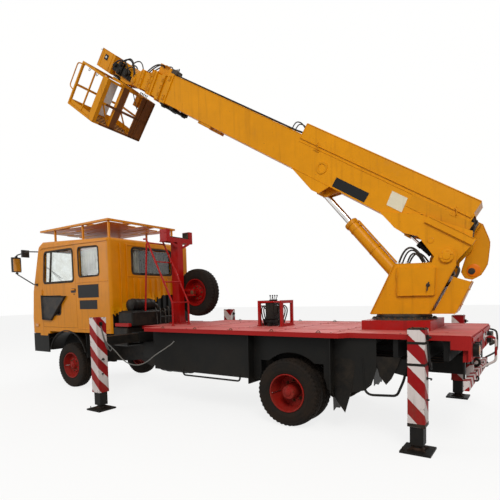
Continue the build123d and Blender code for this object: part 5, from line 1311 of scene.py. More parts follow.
# ======================================================================
# Boom
# ======================================================================
class TRUCK_OT_boom_base_details(bpy.types.Operator):
    """Seams and clips of the cover, blank plates, welds, pads, pins, hose tray and the rear's hoses"""

    bl_idname = "truck.boom_base_details"
    bl_label = "Boom base details"

    def execute(self, context):
        r = sizes().hose_radius
        strips, clips = [], []
        for s in (-1, 1):
            z = s * HOUSING_HALF
            for t, z_now, wide in ((COVER_LOW, z, 0.016), (0.5, s * BOOM_HALF, 0.0128)):
                line = BOOM.all([(x, t, z_now) for x in np.linspace(0.022, 2.75, 9)])
                strips.append(bar((0.012, wide, 0.003), line, BOOM.z))
            top = BOOM.all([(x, COVER_TOP, z) for x in np.linspace(0.022, 2.752, 9)])
            strips.append(rod(0.008, 8, top, BOOM.z))
            front = BOOM.all([(2.758, y, z) for y in (COVER_LOW, 0.65, 0.763)])
            strips.append(rod(0.007, 8, front, BOOM.z))
            for x in (0.22, 2.42):
                clips.append(pipe(BOOM.all([(x - 0.03, 0.48, s * 0.222), (x - 0.03, 0.5, s * 0.25),
                                            (x, 0.56, s * 0.256), (x + 0.03, 0.56, s * 0.245),
                                            (x + 0.03, 0.585, s * 0.23)]), 0.007, 0.02, 8))
                clips.append(block(BOOM.moved(x, 0.478, s * 0.226), (0.1, 0.022, 0.012), 0.003))
            for y, x0, count in ((FLANK_LOW, 1.1, 12), (FLANK_TOP, 2.78, 9)):
                edge = BOOM.all([(x, y, s * BOOM_HALF) for x in np.linspace(x0, 5.64, count)])
                strips.append(rod(0.006, 6, edge, BOOM.z))
            foot = [(1.06, 0.112), (0.78, 0.02), (0.64, 0.014), (0.45, 0.062), (0.12, -0.077), (0.04, -0.117),
                    (-0.06, -0.112), (-0.117, -0.06), (-0.167, 0.245), (-0.095, 0.4)]
            strips.append(bar((0.012, 0.028, 0.003), BOOM.all(flat_rounded(foot, 0.03, s * 0.25)), BOOM.z))
            cap = BOOM.moved(0.285, 0.085, s * 0.262, s)
            strips.append(turned(cap, [(0.04, 0), (0.04, 0.006), (0.034, 0.008), (0.03, 0.004), (0.0, 0.004)], 28))
            collar = BOOM.moved(5.715, 0.355, s * 0.235, s)
            clips += [block(collar.moved(0, y, 0.006), (0.055, 0.09, 0.016), 0.004) for y in (-0.17, 0.17)]
            clips.append(bolts([collar.moved(dx, y, 0.013) for dx in (-0.014, 0.014)
                                for y in (-0.195, -0.145, 0.145, 0.195)], 0.009, 0.008))
            lug = BOOM.moved(2.08, 0.0, s * 0.0755, s)
            clips.append(lathe(lug, [(0.052, 0), (0.052, 0.01), (0.04, 0.013), (0.036, 0.022), (0.02, 0.024)], 28))
        piece("boom_seams", strips, "boom", "boom paint")
        piece("boom_clips", clips, "boom", "cover paint")
        arm = BOOM.moved(0.15, 0.295, -0.286, -1)
        scoop = [ring(0.04, 0.062, -0.006, 0.006, BOOM.moved(0.56, 0.285, -0.224, -1), 32)]
        scoop += [block(arm.moved(0, y, 0.0), (0.62, 0.012, 0.012), 0.003) for y in (-0.04, 0.04)]
        scoop.append(block(BOOM.moved(0.385, 0.415, -0.221), (0.86, 0.175, 0.012), 0.004))
        piece("boom_arm_box", scoop, "boom", "cover paint")
        piece("boom_scoop", lathe(BOOM.moved(0.56, 0.285, NEAR_FLANK, -1),
                                  [(0.042, -0.001), (0.041, 0.002), (0.02, 0.0025)], 28), "boom", "rusty")
        flat = Place(BOOM.at(0, 0, NEAR_FLANK), -BOOM.x, -BOOM.z)
        cream = [(-0.82, 0.235), (-0.85, 0.43), (-1.09, 0.43), (-1.06, 0.235)]
        piece("cream_plate", prism(flat, cream, 0, 0.004, 0.001), "boom", "cream plate")
        piece("boom_placard", prism(flat, rectangle(-1.92, 0.13, -1.36, 0.27), 0, 0.004, 0.001), "boom", "placard")
        under = [block(BOOM.moved(4.6, 0.088, s * 0.165), (0.3, 0.045, 0.1), 0.006) for s in (-1, 1)]
        boss = ring(0.058, 0.09, -0.002, 0.01, BOOM.moved(2.207, 0.294, -0.22, -1))
        piece("boom_boss", boss, "boom", "cover paint")
        lug_block = block(BOOM.moved(0.695, 0.05, 0), (0.31, 0.06, 0.16), 0.01)
        piece("boom_lug_block", lug_block, "boom", "oily black")
        piece("boom_under_pads", under, "boom", "cover paint")
        rollers = []
        for x0 in (5.455, 5.705):
            rollers.append(lathe(BOOM.moved(x0, 0.07, 0), [(0.03, -0.2), (0.038, -0.192), (0.038, -0.12),
                                                           (0.028, -0.112), (0.028, 0.112), (0.038, 0.12),
                                                           (0.038, 0.192), (0.03, 0.2)], 24))
            rollers += [block(BOOM.moved(x0, 0.088, z), (0.1, 0.055, 0.012), 0.004)
                        for z in (-0.212, -0.105, 0.105, 0.212)]
        piece("boom_rollers", rollers, "boom", "oily black")
        tray = []
        for k, z in enumerate((-0.195, -0.165, -0.135)):
            tray.append(pipe(BOOM.all([(2.7, 0.64, z), (2.9, 0.625, z), (5.55, 0.622, z), (5.66, 0.66, z),
                                       (5.7, 0.7 + 0.02 * k, z + 0.02)]), 0.01, 0.06, 8))
        piece("boom_top_pipes", tray, "boom", "hose rubber")
        saddles = [block(BOOM.moved(x, 0.612, -0.165), (0.035, 0.034, 0.115), 0.004)
                   for x in np.linspace(3.05, 5.45, 7)]
        saddles.append(block(BOOM.moved(5.7, 0.648, -0.13), (0.13, 0.09, 0.16), 0.01))
        piece("boom_top_saddles", saddles, "boom", "iron")
        hoop = [pipe(BOOM.all([(2.755, 0.69, z), (2.86, 0.745, z), (2.955, 0.735, z), (2.975, 0.66, z),
                               (2.965, 0.604, z)]), 0.009, 0.06, 8) for z in (-0.205, -0.1)]
        piece("boom_hoops", hoop, "boom", "hose rubber")
        rear = []
        for k, z in enumerate((-0.175, -0.145, -0.11, -0.07, -0.03, 0.02, 0.07)):
            line = BOOM.all([(0.01, 0.56 - 0.03 * k, z), (-0.06 - 0.008 * k, 0.5 - 0.02 * k, z),
                             (-0.125 + 0.004 * k, 0.3, z + 0.01), (-0.11, 0.1 + 0.02 * k, z + 0.02),
                             (-0.05 - 0.01 * k, -0.02 + 0.012 * k, z), (0.04, 0.075, z)])
            rear.append(rod(r * (1.0 + 0.15 * (k % 2)), 8, rounded(line, 0.12)))
        piece("boom_rear_hoses", rear, "boom", "hose rubber")
        blocks = [block(BOOM.moved(-0.035, 0.47, -0.03), (0.07, 0.17, 0.3), 0.01),
                  lathe(BOOM.moved(-0.045, 0.33, 0.03), [(0.055, -0.12), (0.055, 0.11), (0.04, 0.12)], 24)]
        piece("boom_rear_valves", blocks, "boom", "oily black")
        disc = BOOM.moved(-0.335, 0.005, 0.305, -1)
        piece("nose_cap", lathe(disc, [(0.088, 0), (0.088, 0.006), (0.074, 0.011), (0.03, 0.012)], 36),
              "boom", "orange cap")
        piece("nose_cap_centre", lathe(disc.moved(0.015, 0.02, 0), [(0.045, 0.008), (0.045, 0.015), (0.03, 0.017)],
                                       28), "boom", "plastic")
        nose = [(-0.09, 0.588), (-0.298, 0.43), (-0.437, 0.16), (-0.447, 0.0), (-0.388, -0.107), (-0.3, -0.137),
                (-0.212, -0.09), (-0.152, 0.12)]
        rim = bar((0.01, 0.024, 0.003), BOOM.all(flat_rounded(nose, 0.06, 0.312)), BOOM.z)
        piece("nose_rim", rim, "boom", "cover paint")
        return {"FINISHED"}


HEAD_HALF = 0.13
HEAD_CORNERS = ((0.716, -0.146), (1.156, -0.146), (1.148, 0.192), (0.716, 0.199))


class TRUCK_OT_boom_tip_details(bpy.types.Operator):
    """Bolted collars and wear pads of the sliding sections, the head's machinery, hoses and blank plate"""

    bl_idname = "truck.boom_tip_details"
    bl_label = "Boom tip details"

    def execute(self, context):
        r = sizes().hose_radius
        ribs = []
        middle = (COLLAR_LOW + COLLAR_HIGH) / 2
        for s0 in (5.85, 6.13, 6.195):
            for s in (-1, 1):
                line = BOOM.all([(s0, y, s * COLLAR_HALF) for y in (COLLAR_LOW, middle, COLLAR_HIGH)])
                ribs.append(bar((0.014, 0.018, 0.003), line, BOOM.z))
                pad = BOOM.moved(s0 + 0.035, 0, s * 0.219, s)
                for t in (0.2, 0.33, 0.45):
                    ribs.append(block(pad.moved(0, s * t, 0.004), (0.04, 0.06, 0.012), 0.003))
                    ribs.append(bolts([pad.moved(0, s * (t + d), 0.009) for d in (-0.016, 0.016)], 0.008, 0.008))
        ribs.append(block(BOOM.moved(6.04, 0.696, 0), (0.215, 0.012, 0.31), 0.003))
        held = BOOM.all([(6.04 + a, 0.702, b) for a in (-0.085, 0.085) for b in (-0.12, 0, 0.12)])
        ribs.append(bolts(facing(held, BOOM.y), 0.009, 0.008))
        piece("second_collars", ribs, "boom_second", "cover paint")
        ribs = []
        for s in (-1, 1):
            for s0 in (6.425, 6.492):
                line = BOOM.all([(s0, y, s * 0.193) for y in (0.135, 0.3, 0.47)])
                ribs.append(bar((0.012, 0.016, 0.003), line, BOOM.z))
            pad = BOOM.moved(6.458, 0, s * 0.192, s)
            for t in (0.2, 0.31, 0.41):
                ribs.append(bolts([pad.moved(0, s * t, 0.0)], 0.011, 0.01))
            pin = BOOM.moved(6.7, 0.23, s * 0.14, s)
            ribs.append(lathe(pin, [(0.06, -0.006), (0.06, 0.008), (0.048, 0.012), (0.03, 0.02), (0.02, 0.021)],
                              28))
        piece("third_collars", ribs, "boom_third", "cover paint")
        hoses = [hose(BOOM.at(6.06, 0.66, z), BOOM.at(6.52, 0.44, z * 0.6), 0.1 + 0.03 * k, r,
                      BOOM.y + 0.2 * k * BOOM.z) for k, z in enumerate((-0.12, -0.06, 0.02, 0.1))]
        piece("second_hoses", hoses, "boom_second", "hose rubber")
        dark, bright = [], []
        for s in (-1, 1):
            cheek = BASKET.moved(0, 0, s * 0.1, s)
            for x0, y0, wide, tall, deep in ((0.27, 0.02, 0.2, 0.17, 0.045), (0.455, 0.045, 0.13, 0.24, 0.06),
                                             (0.6, 0.02, 0.14, 0.15, 0.05), (0.15, -0.02, 0.1, 0.1, 0.03)):
                dark.append(block(cheek.moved(x0, s * y0, deep / 2), (wide, tall, deep), 0.008))
            for x0, y0, radius, deep in ((0.245, 0.03, 0.055, 0.085), (0.45, 0.12, 0.04, 0.095),
                                         (0.455, -0.03, 0.048, 0.09), (0.61, 0.05, 0.042, 0.08)):
                drum = [(radius, 0.0), (radius, deep - 0.01), (radius * 0.8, deep), (radius * 0.4, deep + 0.006)]
                dark.append(lathe(cheek.moved(x0, s * y0, 0), drum, 24))
            bright.append(bolts([cheek.moved(0.395 + 0.06 * k, s * (0.125 + 0.05 * (k % 2)), 0.062)
                                 for k in range(3)], 0.011, 0.012))
        gear = BASKET.upright(0.5, -0.145, 0)
        dark.append(lathe(gear, [(0.15, 0.0), (0.15, 0.03), (0.12, 0.042), (0.095, 0.05)], 40))
        dark.append(lathe(gear, [(0.062, 0.0), (0.062, -0.012), (0.05, -0.02)], 24))
        piece("head_machinery", dark, "basket_head", "oily black", slot="black_paint")
        bright.append(bolts(around(gear, 10, 0.128, 0.036), 0.01, 0.01))
        piece("head_bolts", bright, "basket_head", "rusty")
        lines = []
        runs = ((0.02, 0.1, 0.42, 0.2, 0.14, -0.14), (0.08, 0.11, 0.56, 0.13, 0.15, -0.11),
                (0.0, 0.06, 0.3, 0.05, 0.13, -0.17), (0.16, 0.05, 0.7, 0.02, 0.16, -0.15),
                (0.05, 0.12, 0.47, 0.22, 0.17, 0.1), (0.24, 0.06, 0.66, 0.06, 0.17, 0.14))
        for k, (x0, y0, x1, y1, lift, z) in enumerate(runs):
            lines.append(hose(BASKET.at(x0, y0, z), BASKET.at(x1, y1, z * 0.9), lift, r * (1 + 0.2 * (k % 2)),
                              BASKET.y + 0.15 * (k % 3 - 1) * BASKET.z, 24))
        piece("head_hoses", lines, "basket_head", "hose rubber")
        box = []
        for s in (-1, 1):
            frame_line = BASKET.all([(x, y, s * HEAD_HALF) for x, y in HEAD_CORNERS])
            box.append(rod(0.007, 6, frame_line, BASKET.z, closed=True))
            box += [block(BASKET.moved(x, 0.027, s * 0.131), (0.014, 0.33, 0.01), 0.003) for x in (0.8, 1.09)]
        for x, y in HEAD_CORNERS:
            box.append(rod(0.007, 6, BASKET.all([(x, y, -HEAD_HALF), (x, y, 0.0), (x, y, HEAD_HALF)])))
        piece("head_box_edges", box, "basket_head", "cover paint")
        plate_at = Place(BASKET.at(0.965, 0.075, -0.1305), -BASKET.x, -BASKET.z)
        piece("head_plate", prism(plate_at, rectangle(-0.055, -0.05, 0.055, 0.05), 0, 0.005, 0.002),
              "basket_head", "placard")
        piece("head_lamp", lathe(plate_at, [(0.024, 0.004), (0.024, 0.012), (0.015, 0.018)], 20),
              "basket_head", "clear lens")
        aerial = pipe(BASKET.all([(1.1, 0.175, -0.1), (1.135, 0.19, -0.1), (1.15, 0.15, -0.17)]), 0.006, 0.02, 8)
        piece("head_aerial", aerial, "basket_head", "bright")
        return {"FINISHED"}


class TRUCK_OT_basket_details(bpy.types.Operator):
    """Gussets, toe boards, pale sheet, brown plates, controls with levers, hooks and floor ribs"""

    bl_idname = "truck.basket_details"
    bl_label = "Basket details"

    def execute(self, context):
        rear, front, top, low, half = 0.043, 0.903, -0.195, -1.045, 0.62
        yellow, brown, dark = [], [], []
        here = BASKET.moved
        for s in (-1, 1):
            yellow.append(block(here((rear + front) / 2, low + 0.075, s * (half - 0.022)),
                                (front - rear + 0.004, 0.09, 0.006), 0.002))
            for x0 in (rear + 0.04, front - 0.02):
                for y0, up in ((top - 0.04, -1), (low + 0.04, 1)):
                    corner = [(x0, y0), (x0 + (0.07 if x0 < 0.5 else -0.07), y0), (x0, y0 + up * 0.07)]
                    yellow.append(prism(here(0, 0, s * (half - 0.02)), corner, -0.003, 0.003))
        yellow.append(block(here(front - 0.022, low + 0.075, 0), (0.006, 0.09, 2 * half - 0.05), 0.002))
        yellow.append(block(here(rear + 0.08, (top + low) / 2, -half + 0.001), (0.16, 0.84, 0.005), 0.002))
        for x0 in np.linspace(rear + 0.1, front - 0.08, 8):
            dark.append(block(here(x0, low + 0.02, 0), (0.022, 0.01, 2 * half - 0.06), 0.002))
        for z0 in np.linspace(-half + 0.1, half - 0.1, 12):
            dark.append(block(here((rear + front) / 2, low + 0.022, z0), (front - rear - 0.06, 0.008, 0.012),
                              0.002))
        piece("basket_trim", yellow, "basket", "basket paint")
        piece("basket_floor_ribs", dark, "basket", "rusty")
        # Brown plates on the rear face: partly rust, partly painted shade that darkens the basket's rear side.
        face_x = rear - 0.001
        for z0, wide in ((0.455, 0.334), (-0.16, 0.134)):
            brown.append(block(here(face_x, (top + low) / 2, z0), (0.004, top - low - 0.01, wide), 0.001))
        for y0 in ((top + low) / 2 - 0.02, low + 0.02):
            brown.append(block(here(face_x, y0, 0.075), (0.004, 0.044, 2 * half - 0.16), 0.001))
        for z0 in (0.285, 0.615, 0.4):
            brown.append(block(here(face_x - 0.008, (top + low) / 2, z0), (0.022, 0.84, 0.02), 0.003))
        piece("basket_rear_plates", brown, "basket", "brown paint")
        sheet = block(here(front - 0.045, (top + low) / 2, 0.09), (0.005, 0.74, 0.38), 0.001)
        piece("basket_sheet", sheet, "basket", "white plate")
        box = here(rear + 0.2, top - 0.15, 0.455)
        levers = []
        for k in range(5):
            z0 = -0.09 + 0.045 * k
            levers.append(pipe(box.all([(0.0, 0.098, z0), (0.006 * (k % 3), 0.155, z0), (0.01, 0.185, z0)]), 0.005,
                               0.02, 8))
            knob = [(0.008, 0.176), (0.013, 0.186), (0.012, 0.2), (0.005, 0.207)]
            levers.append(lathe(box.upright(0.01, 0, z0), knob, 14))
            levers.append(lathe(box.upright(0.0, 0, z0), [(0.016, 0.098), (0.013, 0.112), (0.006, 0.118)], 14))
        levers.append(block(box.moved(0, 0.101, 0), (0.132, 0.012, 0.262), 0.003))
        piece("basket_levers", levers, "basket", "plastic")
        cable = rod(0.009, 8, rounded(BASKET.all([(rear + 0.1, top - 0.2, 0.4), (rear + 0.03, top - 0.3, 0.3),
                                                  (rear + 0.05, top - 0.1, 0.12), (rear + 0.2, top + 0.05, 0.1),
                                                  (0.36, top + 0.055, 0.09)]), 0.1))
        piece("basket_cable", cable, "basket", "hose rubber")
        hook = [pipe(BASKET.all([(x, top - 0.03, -half + 0.012), (x, top - 0.09, -half - 0.004),
                                 (x - 0.04, top - 0.09, -half - 0.004), (x - 0.04, top - 0.03, -half + 0.012)]),
                     0.005, 0.02, 8) for x in (front - 0.25, front - 0.5)]
        piece("basket_hooks", hook, "basket", "rusty")
        return {"FINISHED"}


# ======================================================================
# Deck
# ======================================================================
DECK_TOP = 1.34
DECK_HALF = 1.2
DECK_NARROW = 1.06
DECK_FRONT = REAR_X + 2.8
DECK_REAR = REAR_X - 2.28
DECK_STEP = REAR_X - 0.79
POST_X = REAR_X + 3.09
VALVE_X = REAR_X + 0.8
LADDER_X, LADDER_RAILS = REAR_X + 2.63, (0.22, 0.65)


def strip(points, width, height):
    """A flat bar along straight runs, its wide side square to z."""
    return bar((width, height, 0.25 * min(width, height)), points, Z)


class TRUCK_OT_deck_details(bpy.types.Operator):
    """Plate seams, rolled edge, tie rings, valve block with its levers and hoses, rest pads and ladder feet"""

    bl_idname = "truck.deck_details"
    bl_label = "Deck details"

    def execute(self, context):
        r = sizes().hose_radius
        seams, screws, rings = [], [], []
        for x in np.arange(DECK_REAR + 0.75, DECK_FRONT - 0.2, 0.85):
            half = (DECK_HALF if x > DECK_STEP else DECK_NARROW) - 0.03
            seams.append(strip([(x, -half, DECK_TOP + 0.001), (x, half, DECK_TOP + 0.001)], 0.018, 0.005))
            for y in np.linspace(-half + 0.08, half - 0.08, 8):
                screws.append((x + 0.035, y, DECK_TOP))
        for s in (-1, 1):
            edge = [(DECK_REAR + 0.01, s * DECK_NARROW), (DECK_STEP - 0.09, s * DECK_NARROW),
                    (DECK_STEP, s * DECK_HALF), (DECK_FRONT, s * DECK_HALF)]
            line = np.array([(x, y - s * 0.004, DECK_TOP - 0.001) for x, y in edge])
            seams.append(rod(0.007, 8, line, Z))
            seams.append(strip([(DECK_REAR + 0.3, s * 0.62, DECK_TOP + 0.001),
                                (DECK_FRONT - 0.3, s * 0.62, DECK_TOP + 0.001)], 0.014, 0.004))
            for x in np.arange(DECK_STEP + 0.3, DECK_FRONT - 0.1, 0.72):
                ring_at = Place((x, s * (DECK_HALF - 0.05), DECK_TOP + 0.004), X, Z)
                rings.append(block(ring_at, (0.07, 0.03, 0.008), 0.002))
                a = np.linspace(0, math.pi, 12)
                hoop = np.c_[0.024 * np.cos(a), -s * 0.01 * np.sin(a), 0.004 + 0.018 * np.sin(a)]
                rings.append(rod(0.005, 8, ring_at.all(hoop)))
        front = [(DECK_FRONT, y, DECK_TOP - 0.001) for y in np.linspace(-DECK_HALF, DECK_HALF, 6)]
        seams.append(rod(0.007, 8, front, Z))
        piece("deck_seams", seams, "truck", "deck top")
        piece("deck_screws", bolts(facing(screws, Z), 0.009, 0.005), "truck", "rusty")
        piece("deck_tie_rings", rings, "truck", "rusty")
        block_at = Place((VALVE_X, 0.115, DECK_TOP + 0.255), X, Z)
        dark = [block(block_at, (0.17, 0.26, 0.28), 0.01), block(block_at.moved(c=-0.17), (0.3, 0.2, 0.07), 0.008),
                block(block_at.moved(c=-0.225), (0.05, 0.34, 0.05), 0.006)]
        for k in range(5):
            y = -0.1 + 0.05 * k
            dark.append(lathe(block_at.moved(0.0, y), [(0.018, 0.14), (0.018, 0.185), (0.012, 0.19)], 14))
            dark.append(pipe(block_at.all([(0.0, y, 0.185), (0.015 * (k % 3 - 1), y, 0.245)]), 0.006))
            knob = [(0.006, 0.24), (0.013, 0.248), (0.012, 0.262), (0.004, 0.268)]
            dark.append(lathe(block_at.moved(0.015 * (k % 3 - 1), y), knob, 12))
        for x, y in ((-0.12, 0.11), (0.12, -0.11)):
            dark.append(lathe(block_at.moved(x, y), [(0.045, -0.05), (0.045, 0.09), (0.03, 0.1)], 20))
        piece("deck_valves", dark, "truck", "oily black")
        hoses = []
        for k in range(7):
            y, side = 0.036 * k, -1 if k % 2 else 1
            bend = ((0.08, 0, 0.28), (0.17, 0.01, 0.36), (0.235, 0, 0.27), (0.15, 0.02, 0.004))
            line = [(VALVE_X + out * side, y + shift, DECK_TOP + z) for out, shift, z in bend]
            hoses.append(rod(r * 0.95, 8, rounded(line, 0.1)))
        piece("deck_hoses", hoses, "truck", "hose rubber")
        shapes = []
        for x in (REAR_X + 0.56, REAR_X + 0.99):
            for s, y in ((-1, -0.08), (1, 0.26)):
                shapes.append(block(Place((x, y, DECK_TOP + 0.004), X, Z), (0.085, 0.085, 0.008), 0.002))
                shapes.append(bolts(facing([(x + a, y + s * 0.025, DECK_TOP + 0.008) for a in (-0.027, 0.027)], Z),
                                    0.008, 0.008))
        for s in (-1, 1):
            ear = Place((POST_X, s * 0.3185, 3.115), X, Y * s)
            shapes += [bolts([ear.moved(x, 0.0, 0.05)], 0.011, 0.01) for x in (-0.055, 0.055)]
            brace = [(POST_X - 0.092, s * 0.079, 2.86), (POST_X - 0.092, s * 0.26, 2.948)]
            shapes.append(strip(brace, 0.012, 0.05))
            foot = [(s * 0.078, DECK_TOP + 0.02), (s * 0.078, DECK_TOP + 0.17), (s * 0.135, DECK_TOP + 0.02)]
            for x in (-0.06, 0.06):
                shapes.append(prism(Place((POST_X + x, 0, 0), Y, X), foot, -0.005, 0.005))
        held = [(POST_X + x, y, DECK_TOP + 0.02) for x in (-0.13, 0.13) for y in (-0.11, 0.11)]
        shapes.append(bolts(facing(held, Z), 0.013, 0.012))
        piece("rest_fittings", shapes, "truck", "red paint")
        pads = [span((POST_X - 0.075, -0.262, 3.0402), (POST_X + 0.075, 0.262, 3.06), 0.006)]
        for s in (-1, 1):
            y0, y1 = sorted((s * 0.2695, s * 0.25))
            pads.append(span((POST_X - 0.075, y0, 3.062), (POST_X + 0.075, y1, 3.18), 0.006))
        piece("rest_pads", pads, "truck", "rubber")
        feet = []
        for y in LADDER_RAILS:
            feet.append(lathe(Place((LADDER_X, y, DECK_TOP), X, Z),
                              [(0.038, 0.0), (0.038, 0.008), (0.024, 0.012), (0.0195, 0.03)], 20))
            feet.append(pipe([(REAR_X + 3.225, y, 2.915), (REAR_X + 3.26, y, 2.985), (REAR_X + 3.33, y, 2.99)],
                             0.017, 0.05))
            for t in (0.0, 1 / 3, 2 / 3, 0.985):
                at = np.array((LADDER_X + t * 0.6, y, 1.77 + t * 1.16))
                feet.append(lathe(Place(at, X, Y), [(0.0215, -0.014), (0.0215, 0.014)], 14))
        piece("ladder_fittings", feet, "truck", "red paint")
        carrier = Place((REAR_X + 2.79, -0.0755, 1.957), X, Y)
        parts = [bolts([carrier.moved(x, z, -0.03) for x in (0.26, 0.34) for z in (0.05, -0.05)], 0.013, 0.012)]
        nut = lathe(WORLD, [(0.06, -0.045), (0.06, -0.03), (0.044, -0.028), (0.044, 0.004), (0.03, 0.012)], 6)
        parts.append(placed(nut, carrier))
        piece("carrier_nuts", parts, "truck", "rusty")
        return {"FINISHED"}


# ======================================================================
# Outriggers
# ======================================================================
LEG_FACE, LEG_BAND = 0.0962, 0.194
SLEEVE_HALF, SLEEVE_END, SLEEVE_Z = 0.094, 1.043, 1.15


class TRUCK_OT_leg_details(bpy.types.Operator):
    """Cap plates, wear bands, pins with rings, handles, ports and hoses of the legs, sleeve lips and jack feet"""

    bl_idname = "truck.leg_details"
    bl_label = "Leg details"

    def execute(self, context):
        r = sizes().hose_radius
        for name in ("front_left", "front_right", "rear_left", "rear_right"):
            low, high = corners("leg_" + name)
            s = 1.0 if name.endswith("left") else -1.0
            jack_low, jack_high = corners("jack_" + name)
            x, y = (jack_low[0] + jack_high[0]) / 2, (jack_low[1] + jack_high[1]) / 2
            top, foot = high[2], low[2]
            leg = Place((x, y, 0), X, Z)
            body = "outrigger_" + name
            shapes = [block(leg.moved(c=top + 0.004), (0.198, 0.198, 0.012), 0.004),
                      block(leg.moved(c=top + 0.013), (0.1, 0.1, 0.01), 0.003)]
            for z, tall in ((foot + 0.022, 0.04), (1.02, 0.03), (1.268, 0.03)):
                for a, b, wide, deep in ((LEG_FACE, 0, 0.004, LEG_BAND), (-LEG_FACE, 0, 0.004, LEG_BAND),
                                         (0, s * LEG_FACE, LEG_BAND, 0.004)):
                    shapes.append(block(leg.moved(a, b, z), (wide, deep, tall), 0.0015))
            piece("leg_trim_" + name, shapes, body, "near stripes" if s > 0 else "far stripes")
            dark = [bolts(facing([(x + a, y + b, top + 0.01) for a in (-0.075, 0.075) for b in (-0.075, 0.075)], Z),
                          0.009, 0.009)]
            lock = Place((x - 0.095, y, 0.86), Y, -X)
            dark.append(pipe(lock.all([(0.0, 0.0, 0.0), (0.0, 0.0, 0.055), (0.075 * s, 0.0, 0.06)]), 0.008, 0.02))
            dark.append(lathe(lock, [(0.02, 0.0), (0.02, 0.012), (0.012, 0.014)], 16))
            handle = Place((x, y, 0.62), X, Z)
            dark.append(pipe(handle.all([(-0.13, s * 0.03, 0.0), (-0.1, s * 0.03, 0.0)]), 0.01))
            port = Place((x - 0.096, y + s * 0.02, top - 0.09), Y, -X)
            dark.append(block(port.moved(c=0.012), (0.05, 0.06, 0.03), 0.005))
            dark.append(lathe(port, [(0.013, 0.02), (0.013, 0.05), (0.009, 0.055)], 6))
            piece("leg_fittings_" + name, dark, body, "oily black")
            inner = y - s * 0.095
            start = np.array((x - 0.104, y + s * 0.02, top - 0.13))
            lines = []
            for k in (0, 1):
                end = np.array((x - 0.082 - 0.03 * k, inner - s * (0.035 + 0.04 * k), 1.02))
                mid = (start + end) / 2 + np.array((-0.03, -s * (0.01 + 0.03 * k), -0.26 - 0.1 * k))
                lines.append(rod(r * 0.8, 8, bowed(start, mid, end, 26)))
            piece("leg_hoses_" + name, lines, body, "grey hose" if name == "front_left" else "hose rubber")
            pad = Place((x, y, 0.025), X, Z)
            ribs = [prism(Place(pad.origin, (a, b, 0), (b, -a, 0)), [(0.05, 0.0), (0.15, 0.0), (0.055, 0.045)],
                          -0.006, 0.006) for a, b in ((1, 1), (-1, 1), (-1, -1), (1, -1))]
            ribs.append(lathe(pad, [(0.075, 0.0), (0.075, 0.012), (0.058, 0.026)], 28))
            ribs.append(lathe(pad, [(0.06, 0.046), (0.066, 0.052), (0.066, 0.062)], 28))
            lifting = np.array([(0.125, 0.125, 0.0), (0.125, 0.125, 0.03), (0.15, 0.1, 0.03), (0.15, 0.1, 0.0)])
            ribs.append(rod(0.005, 6, pad.all(lifting)))
            piece("jack_foot_" + name, ribs, "jack_" + name, "rusty black", slot="black_paint")
        lips = []
        for x in (REAR_X + 3.2, REAR_X - 1.75):
            for s in (-1, 1):
                mouth = [(x + a * SLEEVE_HALF, s * SLEEVE_END, SLEEVE_Z + b * SLEEVE_HALF)
                         for a, b in ((-1, -1), (1, -1), (1, 1), (-1, 1))]
                lips.append(bar((0.012, 0.012, 0.003), mouth, Y, closed=True))
                held = [(x + a, s * (SLEEVE_END + 0.0065), SLEEVE_Z + b) for a in (-SLEEVE_HALF, SLEEVE_HALF)
                        for b in (-0.05, 0.05)]
                lips.append(bolts(facing(held, (0, s, 0)), 0.008, 0.008))
        piece("sleeve_lips", lips, "truck", "black paint")
        return {"FINISHED"}


